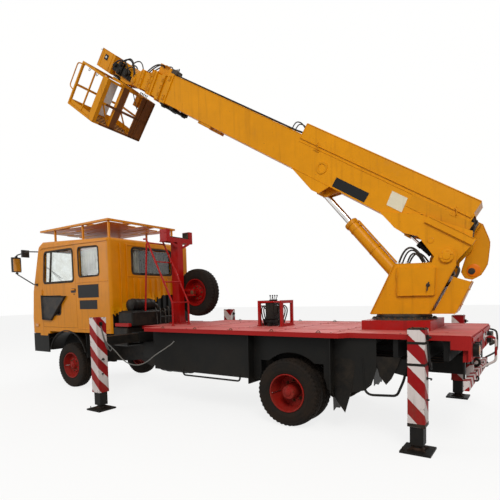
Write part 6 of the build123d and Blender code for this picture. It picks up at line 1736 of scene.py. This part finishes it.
# ======================================================================
# Tail
# ======================================================================
class TRUCK_OT_tail_details(bpy.types.Operator):
    """Lamp bezels and brackets, blank plates, towing jaw, stay rods and the hooks of the rear bar"""

    bl_idname = "truck.tail_details"
    bl_label = "Tail details"

    def execute(self, context):
        face = DECK_REAR
        dark, red = [], []
        for s in (-1, 1):
            for y in (0.88, 0.7):
                lamp = Place((face - 0.03, s * y, 1.17), Y, (-1, 0, 0))
                dark.append(ring(0.06, 0.078, -0.028, 0.034, lamp, 28))
            lens_at = Place((face - 0.0605, s * 0.88, 1.17), Y, (-1, 0, 0))
            dome = lathe(lens_at, [(0.058, -0.004), (0.058, 0.002), (0.045, 0.008), (0.015, 0.01)], 28)
            piece("rear_lens_amber_" + ("left" if s > 0 else "right"), dome, "truck", "amber lens")
            red.append(span((face - 0.013, s * 0.46 - 0.018, 1.07), (face - 0.003, s * 0.46 + 0.018, 1.282), 0.002))
            red.append(strip([(face - 0.01, s * 0.06, 1.3), (face - 0.01, s * 1.03, 1.3)], 0.012, 0.045))
            for z in (0.77, 0.85):
                dark.append(bolts(facing([(REAR_X - 2.26, s * (0.38 + a), z) for a in (-0.025, 0.025)],
                                         (-1, 0, 0)), 0.01, 0.01))
            hook = [(REAR_X - 2.2615, s * 0.6, 0.765), (REAR_X - 2.3, s * 0.6, 0.765),
                    (REAR_X - 2.31, s * 0.6, 0.805), (REAR_X - 2.29, s * 0.6, 0.83)]
            dark.append(pipe(hook, 0.01, 0.02))
            dark.append(span((REAR_X - 2.205, s * 0.93 - 0.025, 0.84), (REAR_X - 2.185, s * 0.93 + 0.025, 1.1),
                             0.003))
        piece("tail_strips", red, "truck", "red paint")
        plate_now = span((face - 0.01, 0.02, 1.095), (face - 0.002, 0.36, 1.205), 0.002)
        piece("rear_plate", plate_now, "truck", "placard")
        boards = [prism(Place((face - 0.0005, y, 1.225), (0, 1, 0.35), (-1, 0, 0)),
                        rectangle(-0.11, -0.055, 0.11, 0.055), 0, 0.005, 0.001) for y in (-0.3, -0.62)]
        piece("rear_boards", boards, "truck", "white plate")
        jaw = Place((REAR_X - 2.15, 0, 0.9), Y, (-1, 0, 0))
        dark.append(block(jaw.moved(c=0.004), (0.76, 0.16, 0.012), 0.003))
        dark.append(block(jaw.moved(c=0.016), (0.2, 0.15, 0.016), 0.004))
        a = np.linspace(-0.3, math.pi + 0.3, 20)
        dark.append(rod(0.017, 10, jaw.all(np.c_[0 * a, 0.045 * np.cos(a), 0.06 + 0.05 * np.sin(a)])))
        dark.append(bolts([jaw.moved(x, y, 0.024) for x in (-0.075, 0.075) for y in (-0.05, 0.05)], 0.012, 0.011))
        piece("tail_fittings", dark, "truck", "oily black")
        grab = pipe([(face - 0.004, -1.02, 1.27), (face - 0.095, -1.02, 1.25), (face - 0.11, -1.02, 1.15),
                     (face - 0.105, -1.02, 0.93), (REAR_X - 2.235, -1.02, 0.835)], 0.013, 0.06)
        horn = lathe(Place((face - 0.012, -0.93, 1.08), Y, (-1, 0, 0)),
                     [(0.05, 0.0), (0.055, 0.02), (0.03, 0.06), (0.012, 0.09)], 22)
        piece("tail_grab", [grab, horn], "truck", "plastic")
        return {"FINISHED"}


# ======================================================================
# Under the body
# ======================================================================
RAIL_SIDE, PIPE_SIDE = 0.43, 0.445


class TRUCK_OT_chassis_details(bpy.types.Operator):
    """Inner guards, leaf springs with U-bolts, brake chambers, tank straps, pipes, exhaust and torn flaps"""

    bl_idname = "truck.chassis_details"
    bl_label = "Chassis details"

    def execute(self, context):
        guards = []
        for s in (-1, 1):
            under = [(REAR_X + 3.36, 1.12), (REAR_X + 3.36, 0.56), (REAR_X + 3.47, 0.5), (REAR_X + 3.77, 0.62),
                     (REAR_X + 4.21, 0.57), (REAR_X + 4.7, 0.55), (REAR_X + 5.15, 0.66), (REAR_X + 5.18, 1.12)]
            inner = [(REAR_X + 0.6, 1.1), (REAR_X + 0.62, 0.62), (REAR_X + 1.12, 0.58), (REAR_X + 1.14, 1.1)]
            for line in (under, inner):
                at = Place((0, s * RAIL_SIDE, 0), X, -Y)
                low = 0.0 if s < 0 else -0.006
                guards.append(prism(at, line, low, low + 0.006))
            y0, y1 = sorted((s * 0.6, s * 1.1))
            guards.append(span((REAR_X + 3.36, y0, 0.975), (REAR_X + 3.76, y1, 1.325), 0.02))
        piece("inner_guards", guards, "truck", "oily black", slot="black_paint")
        leaves, irons = [], []
        for s in (-1, 1):
            for x, z, count, long, y in ((REAR_X, 0.53, 7, 1.36, 0.405), (FRONT_X, 0.51, 5, 1.26, 0.335)):
                for k in range(count):
                    half = long / 2 * (1 - 0.13 * k)
                    flex = np.linspace(-half, half, 15)
                    line = np.c_[x + flex, np.full(15, s * (y + 0.04)),
                                 np.full(15, z + 0.005 + 0.012 * (count - k))]
                    leaves.append(bar((0.079, 0.0095, 0.002), line, Z))
                for dx in (-0.055, 0.055):
                    hoop = [(x + dx, s * (y - 0.004), z - 0.05), (x + dx, s * (y - 0.004), z + 0.13),
                            (x + dx, s * (y + 0.084), z + 0.13), (x + dx, s * (y + 0.084), z - 0.05)]
                    irons.append(pipe(hoop, 0.0085, 0.02))
                irons.append(block(Place((x, s * (y + 0.04), z - 0.03), X, Z), (0.15, 0.11, 0.02), 0.004))
                irons.append(block(Place((x, s * (y + 0.04), z + 0.118), X, Z), (0.15, 0.1, 0.022), 0.004))
            for dx in (-0.64, 0.64):
                pin = Place((REAR_X + dx, s * 0.515, 0.66), X, Y * s)
                irons.append(lathe(pin, [(0.028, 0.0), (0.028, 0.012), (0.018, 0.018), (0.018, 0.03)], 6))
            for x, z in ((REAR_X + 0.2, 0.52), (FRONT_X + 0.16, 0.6)):
                drum = Place((x, s * 0.3, z), Y, X)
                profile = [(0.06, 0.0), (0.085, 0.012), (0.088, 0.06), (0.096, 0.062), (0.096, 0.078),
                           (0.088, 0.08), (0.08, 0.14), (0.04, 0.155)]
                irons.append(lathe(drum, profile, 24))
                irons.append(pipe([(x, s * 0.3, z), (x - 0.08, s * 0.3, z - 0.01)], 0.012))
        housing = Place((REAR_X, 0, AXLE_Z), Y, (-1, 0, 0))
        irons.append(ring(0.135, 0.165, 0.15, 0.166, housing, 40))
        turns = np.linspace(0, 2 * math.pi, 12, endpoint=False)
        irons.append(bolts([housing.moved(0.15 * math.cos(a), 0.15 * math.sin(a), 0.166) for a in turns], 0.01,
                           0.009))
        irons.append(lathe(housing, [(0.05, 0.19), (0.03, 0.214)], 16))
        piece("spring_leaves", leaves, "truck", "rusty black")
        piece("axle_fittings", irons, "truck", "oily black")
        tank = Place((REAR_X + 2.12, 0.735, 0.765), Y, X)
        bands = [ring(0.2455, 0.253, z - 0.02, z + 0.02, tank, 48) for z in (0.13, 0.51)]
        bands.append(turned(tank, [(0.245, 0.001), (0.225, -0.012), (0.13, -0.022), (0.02, -0.026)], 40))
        bands.append(lathe(Place((REAR_X + 2.6, 0.84, 0.975), X, (0, 0.45, 0.9)),
                           [(0.04, 0.0), (0.04, 0.028), (0.052, 0.03), (0.052, 0.052), (0.04, 0.058)], 24))
        for s in (-1, 1):
            bottle = Place((REAR_X + 0.74, s * 0.62, 0.88), Y, X)
            for z in (0.1, 0.52):
                bands.append(ring(0.1405, 0.146, z - 0.015, z + 0.015, bottle, 36))
            for z, d in ((0.0, -1.0), (0.62, 1.0)):
                bands.append(turned(Place(bottle.at(0, 0, z), Y * (-d), X * d),
                                    [(0.14, 0.0), (0.118, 0.016), (0.06, 0.026), (0.015, 0.028)], 30))
        bands.append(span((REAR_X + 1.8, -1.0, 1.018), (REAR_X + 2.5, -0.43, 1.034), 0.005))
        piece("tank_fittings", bands, "truck", "oily black", slot="black_paint")
        pipes = []
        for s in (-1, 1):
            for k, z in enumerate((0.94, 0.97, 1.0)):
                line = [(REAR_X + x, s * PIPE_SIDE, z - 0.02 * k * low)
                        for x, low in ((-1.9, 0), (-0.6, 0), (-0.5, 1), (1.3, 1), (3.3, 0))]
                pipes.append(pipe(line, 0.0065, 0.05, 8))
        exhaust = [(REAR_X + 4.4, -0.47, 0.7), (REAR_X + 3.3, -0.5, 0.66), (REAR_X + 2.9, -0.56, 0.66)]
        pipes.append(pipe(exhaust, 0.035, 0.12, 14))
        muffler = Place((REAR_X + 2.62, -0.56, 0.6), Y, X)
        profile = [(0.036, 0.0), (0.08, 0.01), (0.085, 0.03), (0.085, 0.42), (0.08, 0.44), (0.036, 0.45)]
        pipes.append(lathe(muffler.moved(0, 0, -0.12), profile, 28))
        piece("pipes", pipes, "truck", "rusty black")
        flaps = []
        long_flap = ((-2.79, 1.0), (-3.16, 1.0), (-3.101, 0.589), (-3.016, 0.285), (-2.9, 0.44), (-2.822, 0.559))
        short_flap = ((-3.4, 1.05), (-3.72, 1.05), (-3.687, 0.947), (-3.61, 0.78), (-3.541, 0.698), (-3.46, 0.8))
        for outline in (long_flap, short_flap):
            x, z = np.array(outline).T
            front = np.c_[x, 1.0 + 0.05 * np.sin(6.0 * x) * (1.05 - z), z]
            flaps.append(surface(np.array([front, front + (0, 0.008, 0)]), wrap_v=True, caps=True))
        for s in (-1, 1):
            flap = [(s * 0.62, 0.62), (s * 1.08, 0.62), (s * 1.06, 0.3), (s * 0.98, 0.325), (s * 0.86, 0.29),
                    (s * 0.72, 0.33), (s * 0.63, 0.31)]
            flaps.append(prism(Place((REAR_X - 0.66, 0, 0), Y, X), flap, -0.004, 0.004))
        piece("torn_flaps", flaps, "truck", "oily black", slot="rubber")
        tube = [(-3.25, 1.0, 1.02), (-3.274, 1.0, 0.594), (-3.338, 1.0, 0.549), (-3.674, 1.0, 0.574),
                (-3.758, 1.0, 0.78), (-3.8, 1.0, 1.03)]
        guard = [pipe(tube, 0.016, 0.05, 10)]
        sheet = [(-3.9, 1.03), (-2.86, 1.03), (-2.86, 0.92), (-3.4, 0.9), (-3.9, 0.8)]
        guard.append(prism(Place((0, 0.99, 0), X, -Y), sheet, 0.0, 0.008))
        piece("rear_guard", guard, "truck", "black paint")
        return {"FINISHED"}


# ======================================================================
# Behind the cab
# ======================================================================
class TRUCK_OT_oil_set(bpy.types.Operator):
    """Oil tank, air cleaner, pump block and hoses that fill the space between the cab and the ladder"""

    bl_idname = "truck.oil_set"
    bl_label = "Oil set"

    def execute(self, context):
        r = sizes().hose_radius
        front = REAR_X + 3.71
        dark = [span((front - 0.4, 0.3, 1.342), (front, 1.02, 1.62), 0.02),
                span((front - 0.36, 0.34, 1.615), (front - 0.04, 0.98, 1.635), 0.006),
                span((front - 0.34, -0.42, 1.342), (front - 0.02, 0.26, 1.5), 0.015)]
        cleaner = Place((front - 0.19, 0.62, 1.735), X, Y)
        profile = [(0.06, -0.3), (0.115, -0.285), (0.12, -0.24), (0.12, 0.16), (0.132, 0.165), (0.132, 0.19),
                   (0.12, 0.195), (0.115, 0.26), (0.05, 0.285)]
        dark.append(lathe(cleaner, profile, 36))
        for z in (-0.2, 0.06):
            dark.append(ring(0.12, 0.127, z - 0.014, z + 0.014, cleaner, 36))
        dark.append(lathe(Place((front - 0.24, 0.46, 1.635), X, Z).moved(0.1, 0.0),
                          [(0.05, 0.0), (0.05, 0.07), (0.062, 0.075), (0.062, 0.1), (0.02, 0.11)], 22))
        pump = Place((front - 0.18, -0.08, 1.56), X, Y)
        dark.append(lathe(pump, [(0.07, -0.24), (0.095, -0.22), (0.095, 0.1), (0.07, 0.12), (0.04, 0.16)], 28))
        for k in range(12):
            dark.append(ring(0.0955, 0.102, -0.2 + 0.024 * k, -0.194 + 0.024 * k, pump, 28))
        dark.append(block(pump.moved(0, 0.02, 0.25), (0.15, 0.13, 0.2), 0.012))
        piece("oil_set", dark, "truck", "oily black", slot="black_paint")
        lines = []
        for k in range(6):
            y = -0.3 + 0.11 * k
            start = np.array((front - 0.18 + 0.02 * (k % 3), y, 1.62 - 0.02 * (k % 2)))
            end = np.array((front - 0.46 - 0.03 * (k % 2), y + 0.22, DECK_TOP + 0.01))
            bow = np.array((front - 0.42 + 0.02 * k, y + 0.08, 1.78 + 0.03 * (k % 3)))
            lines.append(rod(r, 8, bowed(start, bow, end, 24)))
        lines.append(pipe([(front - 0.19, 0.4, 1.735), (front - 0.19, 0.2, 1.735), (front - 0.1, 0.12, 1.6)], 0.036,
                          0.06, 14))
        piece("oil_hoses", lines, "truck", "hose rubber")
        t = np.linspace(0, 1, 60)
        x = np.interp(t, (0, 0.1, 0.35, 0.6, 0.85, 1.0), (0.865, 0.76, 0.59, 0.345, 0.101, -0.12))
        y = np.interp(t, (0, 0.1, 0.35, 0.85, 1.0), (1.8, 1.7, 1.6, 1.42, 1.19))
        z = 1.155 - 0.4 * np.sin(np.pi * t) ** 0.8 - 0.02 * t
        kernel = np.ones(7) / 7
        path = np.c_[x, y, z]
        path[3:-3] = np.array([np.convolve(path[:, i], kernel, "valid") for i in range(3)]).T
        piece("leg_supply_hose", rod(r * 0.85, 10, path), "outrigger_front_left", "grey hose")
        return {"FINISHED"}


# ======================================================================
# Cab wear and fittings
# ======================================================================
def curtain(x_or_y, low, high, bottom, top, along_x, folds=9, depth=0.014):
    """A hanging cloth: each column of points is moved in and out by a sine of its place along the rail."""
    t = np.linspace(0, 1, folds * 6)
    rows = []
    for k, z in enumerate(np.linspace(top, bottom, 6)):
        sway = depth * (0.4 + 0.15 * k) * np.sin(2 * math.pi * folds * t + 0.25 * k)
        run = low + (high - low) * t
        flat = np.full(len(t), z)
        rows.append(np.c_[run, x_or_y + sway, flat] if along_x else np.c_[x_or_y + sway, run, flat])
    rows = np.array(rows)
    shift = np.array((0, 0.003, 0) if along_x else (0.003, 0, 0))
    return surface(np.concatenate([rows, (rows + shift)[::-1]]), wrap_u=True)


class TRUCK_OT_cab_wear(bpy.types.Operator):
    """Door panels, curtains, loose boards on the rack, the rear wall's torn edge and the ladder's stay"""

    bl_idname = "truck.cab_wear"
    bl_label = "Cab wear"

    def execute(self, context):
        for side, s in SIDES:
            low, high = corners("door_" + side)
            outline = [(min(4.03, high[0] - 0.02), 1.985), (max(3.03, low[0] + 0.02), 1.955), (3.6, 1.44),
                       (min(3.98, high[0] - 0.03), 1.455)]
            panel = plate(side_outline(outline, s), left_right(s).moved(c=0.001), 0.019, 0.05)
            piece("door_panel_" + side, panel, "door_" + side, "plastic")
            cloth = curtain(s * 1.035, 2.02, 2.6, 2.26, 2.86, True, 7)
            piece("side_curtain_" + side, cloth, "truck", "curtain")
        piece("rear_blind", curtain(1.735, -0.66, 0.66, 2.24, 2.86, False, 12), "truck", "blind")
        piece("rear_curtain", curtain(1.7, 0.28, 0.62, 2.26, 2.86, False, 6), "truck", "curtain")
        boards = []
        for k, (y, x0, x1) in enumerate(((-0.74, 1.9, 4.1), (-0.45, 2.02, 4.14), (-0.15, 1.86, 4.12),
                                         (0.15, 2.05, 4.15), (0.45, 1.92, 4.1), (0.74, 1.88, 4.13))):
            x = np.linspace(x0, x1, 16)
            z = 3.388 + 0.014 * np.sin(2.4 * x + k)
            boards.append(bar((0.265, 0.016, 0.004), np.c_[x, np.full(16, y), z], Z))
        piece("rack_boards", boards, "truck", "cover paint")
        y = np.linspace(1.11, -0.3, 70)
        edge = 1.865 - 0.27 * y + 0.03 * np.sin(19 * y) + 0.022 * np.sin(47 * y + 1.0)
        curl = 0.03 + 0.022 * np.sin(11 * y) + 0.015 * np.sin(31 * y)
        rows = np.array([np.c_[np.full(70, CAB_REAR - 0.004), y, edge + 0.11],
                         np.c_[CAB_REAR - 0.35 * curl, y, edge + 0.04], np.c_[CAB_REAR - curl, y, edge - 0.045],
                         np.c_[CAB_REAR - curl + 0.004, y, edge - 0.045],
                         np.c_[CAB_REAR - 0.3 * curl, y, edge + 0.04],
                         np.c_[np.full(70, CAB_REAR - 0.001), y, edge + 0.11]])
        piece("torn_rear_edge", surface(rows, wrap_u=True), "truck", "boom paint")
        stay = [pipe([(1.16, 0.65, DECK_TOP + 0.005), (1.045, 0.65, 2.9)], 0.016, sides=12)]
        stay.append(span((1.11, 1.03, 1.341), (1.5, 1.1, 1.405), 0.006))
        piece("ladder_stay", stay, "truck", "red paint")
        return {"FINISHED"}


# ======================================================================
# Finishes of the frame's own nodes
# ======================================================================
NODE_FINISH = {
    "cab_shell": "cab paint", "roof_rack": "cab paint", "boom_base": "boom paint", "boom_second": "boom paint",
    "boom_third": "boom paint", "turret": "boom paint", "lift_barrel": "boom paint", "basket": "basket paint",
    "basket_head": "boom paint", "lift_rod": "chrome", "level_rod": "chrome", "level_barrel": "black paint",
    "deck": "deck top", "deck_stand": "red paint", "boom_rest": "red paint", "ladder": "red paint",
    "turret_base": "red paint", "slew_ring": "iron", "chassis_frame": "black paint", "engine_block": "oily black",
    "front_axle": "oily black", "rear_axle": "oily black", "drive_shaft": "iron", "tanks": "black paint",
    "outrigger_sleeves": "black paint", "front_bumper": "black paint", "tail_bar": "bar stripes",
    "mudguards": "black paint", "mirrors": "plastic", "lamps": "lamp lenses", "cab_seats": "seat cloth",
    "dashboard": "dash plastic", "cab_glass": "glass", "door_glass_left": "glass", "door_glass_right": "glass",
    "door_left": "cab paint", "door_right": "cab paint", "spare_rim": "wheel paint", "spare_tyre": "tyre",
    "knuckle_left": "iron", "knuckle_right": "iron", "front_rim_left": "wheel paint",
    "front_rim_right": "wheel paint", "rear_rim_left": "wheel paint", "rear_rim_right": "wheel paint",
    "front_tyre_left": "tyre", "front_tyre_right": "tyre", "rear_tyre_left": "tyre", "rear_tyre_right": "tyre",
    "leg_front_left": "near stripes", "leg_rear_left": "near rear stripes", "leg_front_right": "far stripes",
    "leg_rear_right": "far rear stripes", "jack_front_left": "black paint", "jack_front_right": "black paint",
    "jack_rear_left": "black paint", "jack_rear_right": "black paint",
}


class TRUCK_OT_finishes(bpy.types.Operator):
    """Gives every node of the frame its paint, rubber, glass or metal"""

    bl_idname = "truck.finishes"
    bl_label = "Finishes"

    def execute(self, context):
        for node, material in NODE_FINISH.items():
            dress(node, material)
        return {"FINISHED"}


# ======================================================================
# Stage
# ======================================================================
CAMERA_AT = (-5.076, 6.274, 1.831)
CAMERA_YAW, CAMERA_PITCH, CAMERA_ROLL = -55.4, -3.245, -1.432
CAMERA_LENS = 30.43
CAMERA_SHIFT = (0.009, 0.1428)
FLOOR_HALF = 60
WHITE = (1, 1, 0.995, 1)
ROOM_LIGHT, FLOOR_GLOW = 0.52, 0.82


def camera_axes():
    """Right, up and back of the camera from its yaw, pitch and roll."""
    yaw, pitch, roll = np.radians((CAMERA_YAW, CAMERA_PITCH, CAMERA_ROLL))
    ahead = np.array([math.cos(yaw) * math.cos(pitch), math.sin(yaw) * math.cos(pitch), math.sin(pitch)])
    right = np.array([math.sin(yaw), -math.cos(yaw), 0.0])
    up = np.cross(right, ahead)
    turned_right = right * math.cos(roll) + up * math.sin(roll)
    turned_up = up * math.cos(roll) - right * math.sin(roll)
    return turned_right, turned_up, -ahead


def area_light(name, at, aim, side, power, tint):
    """A square lamp that faces a point."""
    data = bpy.data.lights.new(name, "AREA")
    data.shape, data.size, data.energy, data.color = "SQUARE", side, power, tint
    lamp = bpy.data.objects.new(name, data)
    back = np.array(at, float) - np.array(aim, float)
    place = Place(at, np.cross(Z, back), back)
    lamp.matrix_world = Matrix(np.column_stack([place.x, place.y, place.z]).tolist()).to_4x4()
    lamp.location = at
    bpy.context.scene.collection.objects.link(lamp)


def seen_ray(tree):
    """1 on rays from the camera, through glass and off glossy metal, which see the white surroundings."""
    path = tree.nodes.new("ShaderNodeLightPath").outputs
    return math_of(tree, "MAXIMUM", math_of(tree, "MAXIMUM", path["Is Camera Ray"], path["Is Transmission Ray"]),
                   path["Is Glossy Ray"])


class TRUCK_OT_stage(bpy.types.Operator):
    """Pale floor, white surroundings, soft lamps and the camera"""

    bl_idname = "truck.stage"
    bl_label = "Stage"

    def execute(self, context):
        mesh = bpy.data.meshes.new("floor")
        mesh.from_pydata([(FLOOR_HALF * x, FLOOR_HALF * y, 0) for x, y in ((-1, -1), (1, -1), (1, 1), (-1, 1))], [],
                         [(0, 1, 2, 3)])
        floor = bpy.data.objects.new("floor", mesh)
        context.scene.collection.objects.link(floor)
        made, tree, face = blank_material("FloorWhite")
        preset(face, Roughness=0.9)
        glow = put(tree, "ShaderNodeEmission", {"Color": WHITE, "Strength": 1.0})
        shown = seen_ray(tree)
        tree.links.new(mix_of(tree, shown, (0.2, 0.2, 0.19), (0.86, 0.86, 0.85)), face.inputs["Base Color"])
        seen = times(tree, shown, FLOOR_GLOW)
        both = put(tree, "ShaderNodeMixShader", {0: seen, 1: face.outputs[0], 2: glow.outputs[0]})
        tree.links.new(both.outputs[0], tree.nodes["Material Output"].inputs[0])
        mesh.materials.append(made)
        world = bpy.data.worlds.new("WhiteRoom")
        world.use_nodes = True
        tree = world.node_tree
        shown = seen_ray(tree)
        light = tree.nodes["Background"]
        light.inputs["Color"].default_value = (1.0, 1.0, 1.0, 1)
        light.inputs["Strength"].default_value = ROOM_LIGHT
        plain = put(tree, "ShaderNodeBackground", {"Color": WHITE, "Strength": 1.0})
        both = put(tree, "ShaderNodeMixShader", {0: shown, 1: light.outputs[0], 2: plain.outputs[0]})
        tree.links.new(both.outputs[0], tree.nodes["World Output"].inputs[0])
        context.scene.world = world
        area_light("key", (-8.0, 9.0, 9.5), (-1.0, 0.0, 2.5), 5.0, 900.0, (1.0, 0.97, 0.92))
        area_light("fill", (9.0, 9.0, 5.0), (1.0, 0.0, 2.0), 6.0, 350.0, (0.95, 0.97, 1.0))
        area_light("back", (2.0, -11.0, 8.0), (0.0, 0.0, 2.0), 6.0, 420.0, (1.0, 1.0, 1.0))
        data = bpy.data.cameras.new("camera")
        data.sensor_width, data.lens = 36.0, CAMERA_LENS
        data.shift_x, data.shift_y = CAMERA_SHIFT
        camera = bpy.data.objects.new("camera", data)
        right, up, back = camera_axes()
        camera.matrix_world = Matrix(np.column_stack([right, up, back]).tolist()).to_4x4()
        camera.location = CAMERA_AT
        context.scene.collection.objects.link(camera)
        context.scene.camera = camera
        context.scene.view_settings.view_transform = "Standard"
        return {"FINISHED"}


class TRUCK_PT_panel(bpy.types.Panel):
    """Lists the sizes, the colours and the steps of the truck"""

    bl_idname = "TRUCK_PT_panel"
    bl_label = "Cherry Picker Truck"
    bl_space_type = "VIEW_3D"
    bl_region_type = "UI"
    bl_category = "Cherry Picker"

    def draw(self, context):
        for group_now in (context.scene.truck_sizes, context.scene.truck_colours):
            column = self.layout.column(align=True)
            for name in group_now.__annotations__:
                column.prop(group_now, name)
        column = self.layout.column(align=True)
        for step in STEPS:
            column.operator(step.bl_idname)


STEPS = (
    TRUCK_OT_stage,
    TRUCK_OT_finishes,
    TRUCK_OT_tyres,
    TRUCK_OT_wheel_fittings,
    TRUCK_OT_cab_windows,
    TRUCK_OT_cab_panels,
    TRUCK_OT_cab_fittings,
    TRUCK_OT_turret_details,
    TRUCK_OT_cylinder_details,
    TRUCK_OT_boom_base_details,
    TRUCK_OT_boom_tip_details,
    TRUCK_OT_basket_details,
    TRUCK_OT_deck_details,
    TRUCK_OT_leg_details,
    TRUCK_OT_tail_details,
    TRUCK_OT_chassis_details,
    TRUCK_OT_oil_set,
    TRUCK_OT_cab_wear,
)
CLASSES = (TruckSizes, TruckColours, *STEPS, TRUCK_PT_panel)


def register():
    """Registers the classes and puts both groups of values on the scene."""
    for one in CLASSES:
        bpy.utils.register_class(one)
    bpy.types.Scene.truck_sizes = PointerProperty(type=TruckSizes)
    bpy.types.Scene.truck_colours = PointerProperty(type=TruckColours)


def unregister():
    """Takes the values and the classes off again."""
    del bpy.types.Scene.truck_colours
    del bpy.types.Scene.truck_sizes
    for one in reversed(CLASSES):
        bpy.utils.unregister_class(one)


def main():
    """Builds the truck step by step."""
    register()
    for step in STEPS:
        family, name = step.bl_idname.split(".")
        if getattr(getattr(bpy.ops, family), name)() != {"FINISHED"}:
            raise RuntimeError("the step " + step.bl_label + " did not finish")


if __name__ == "__main__":
    main()
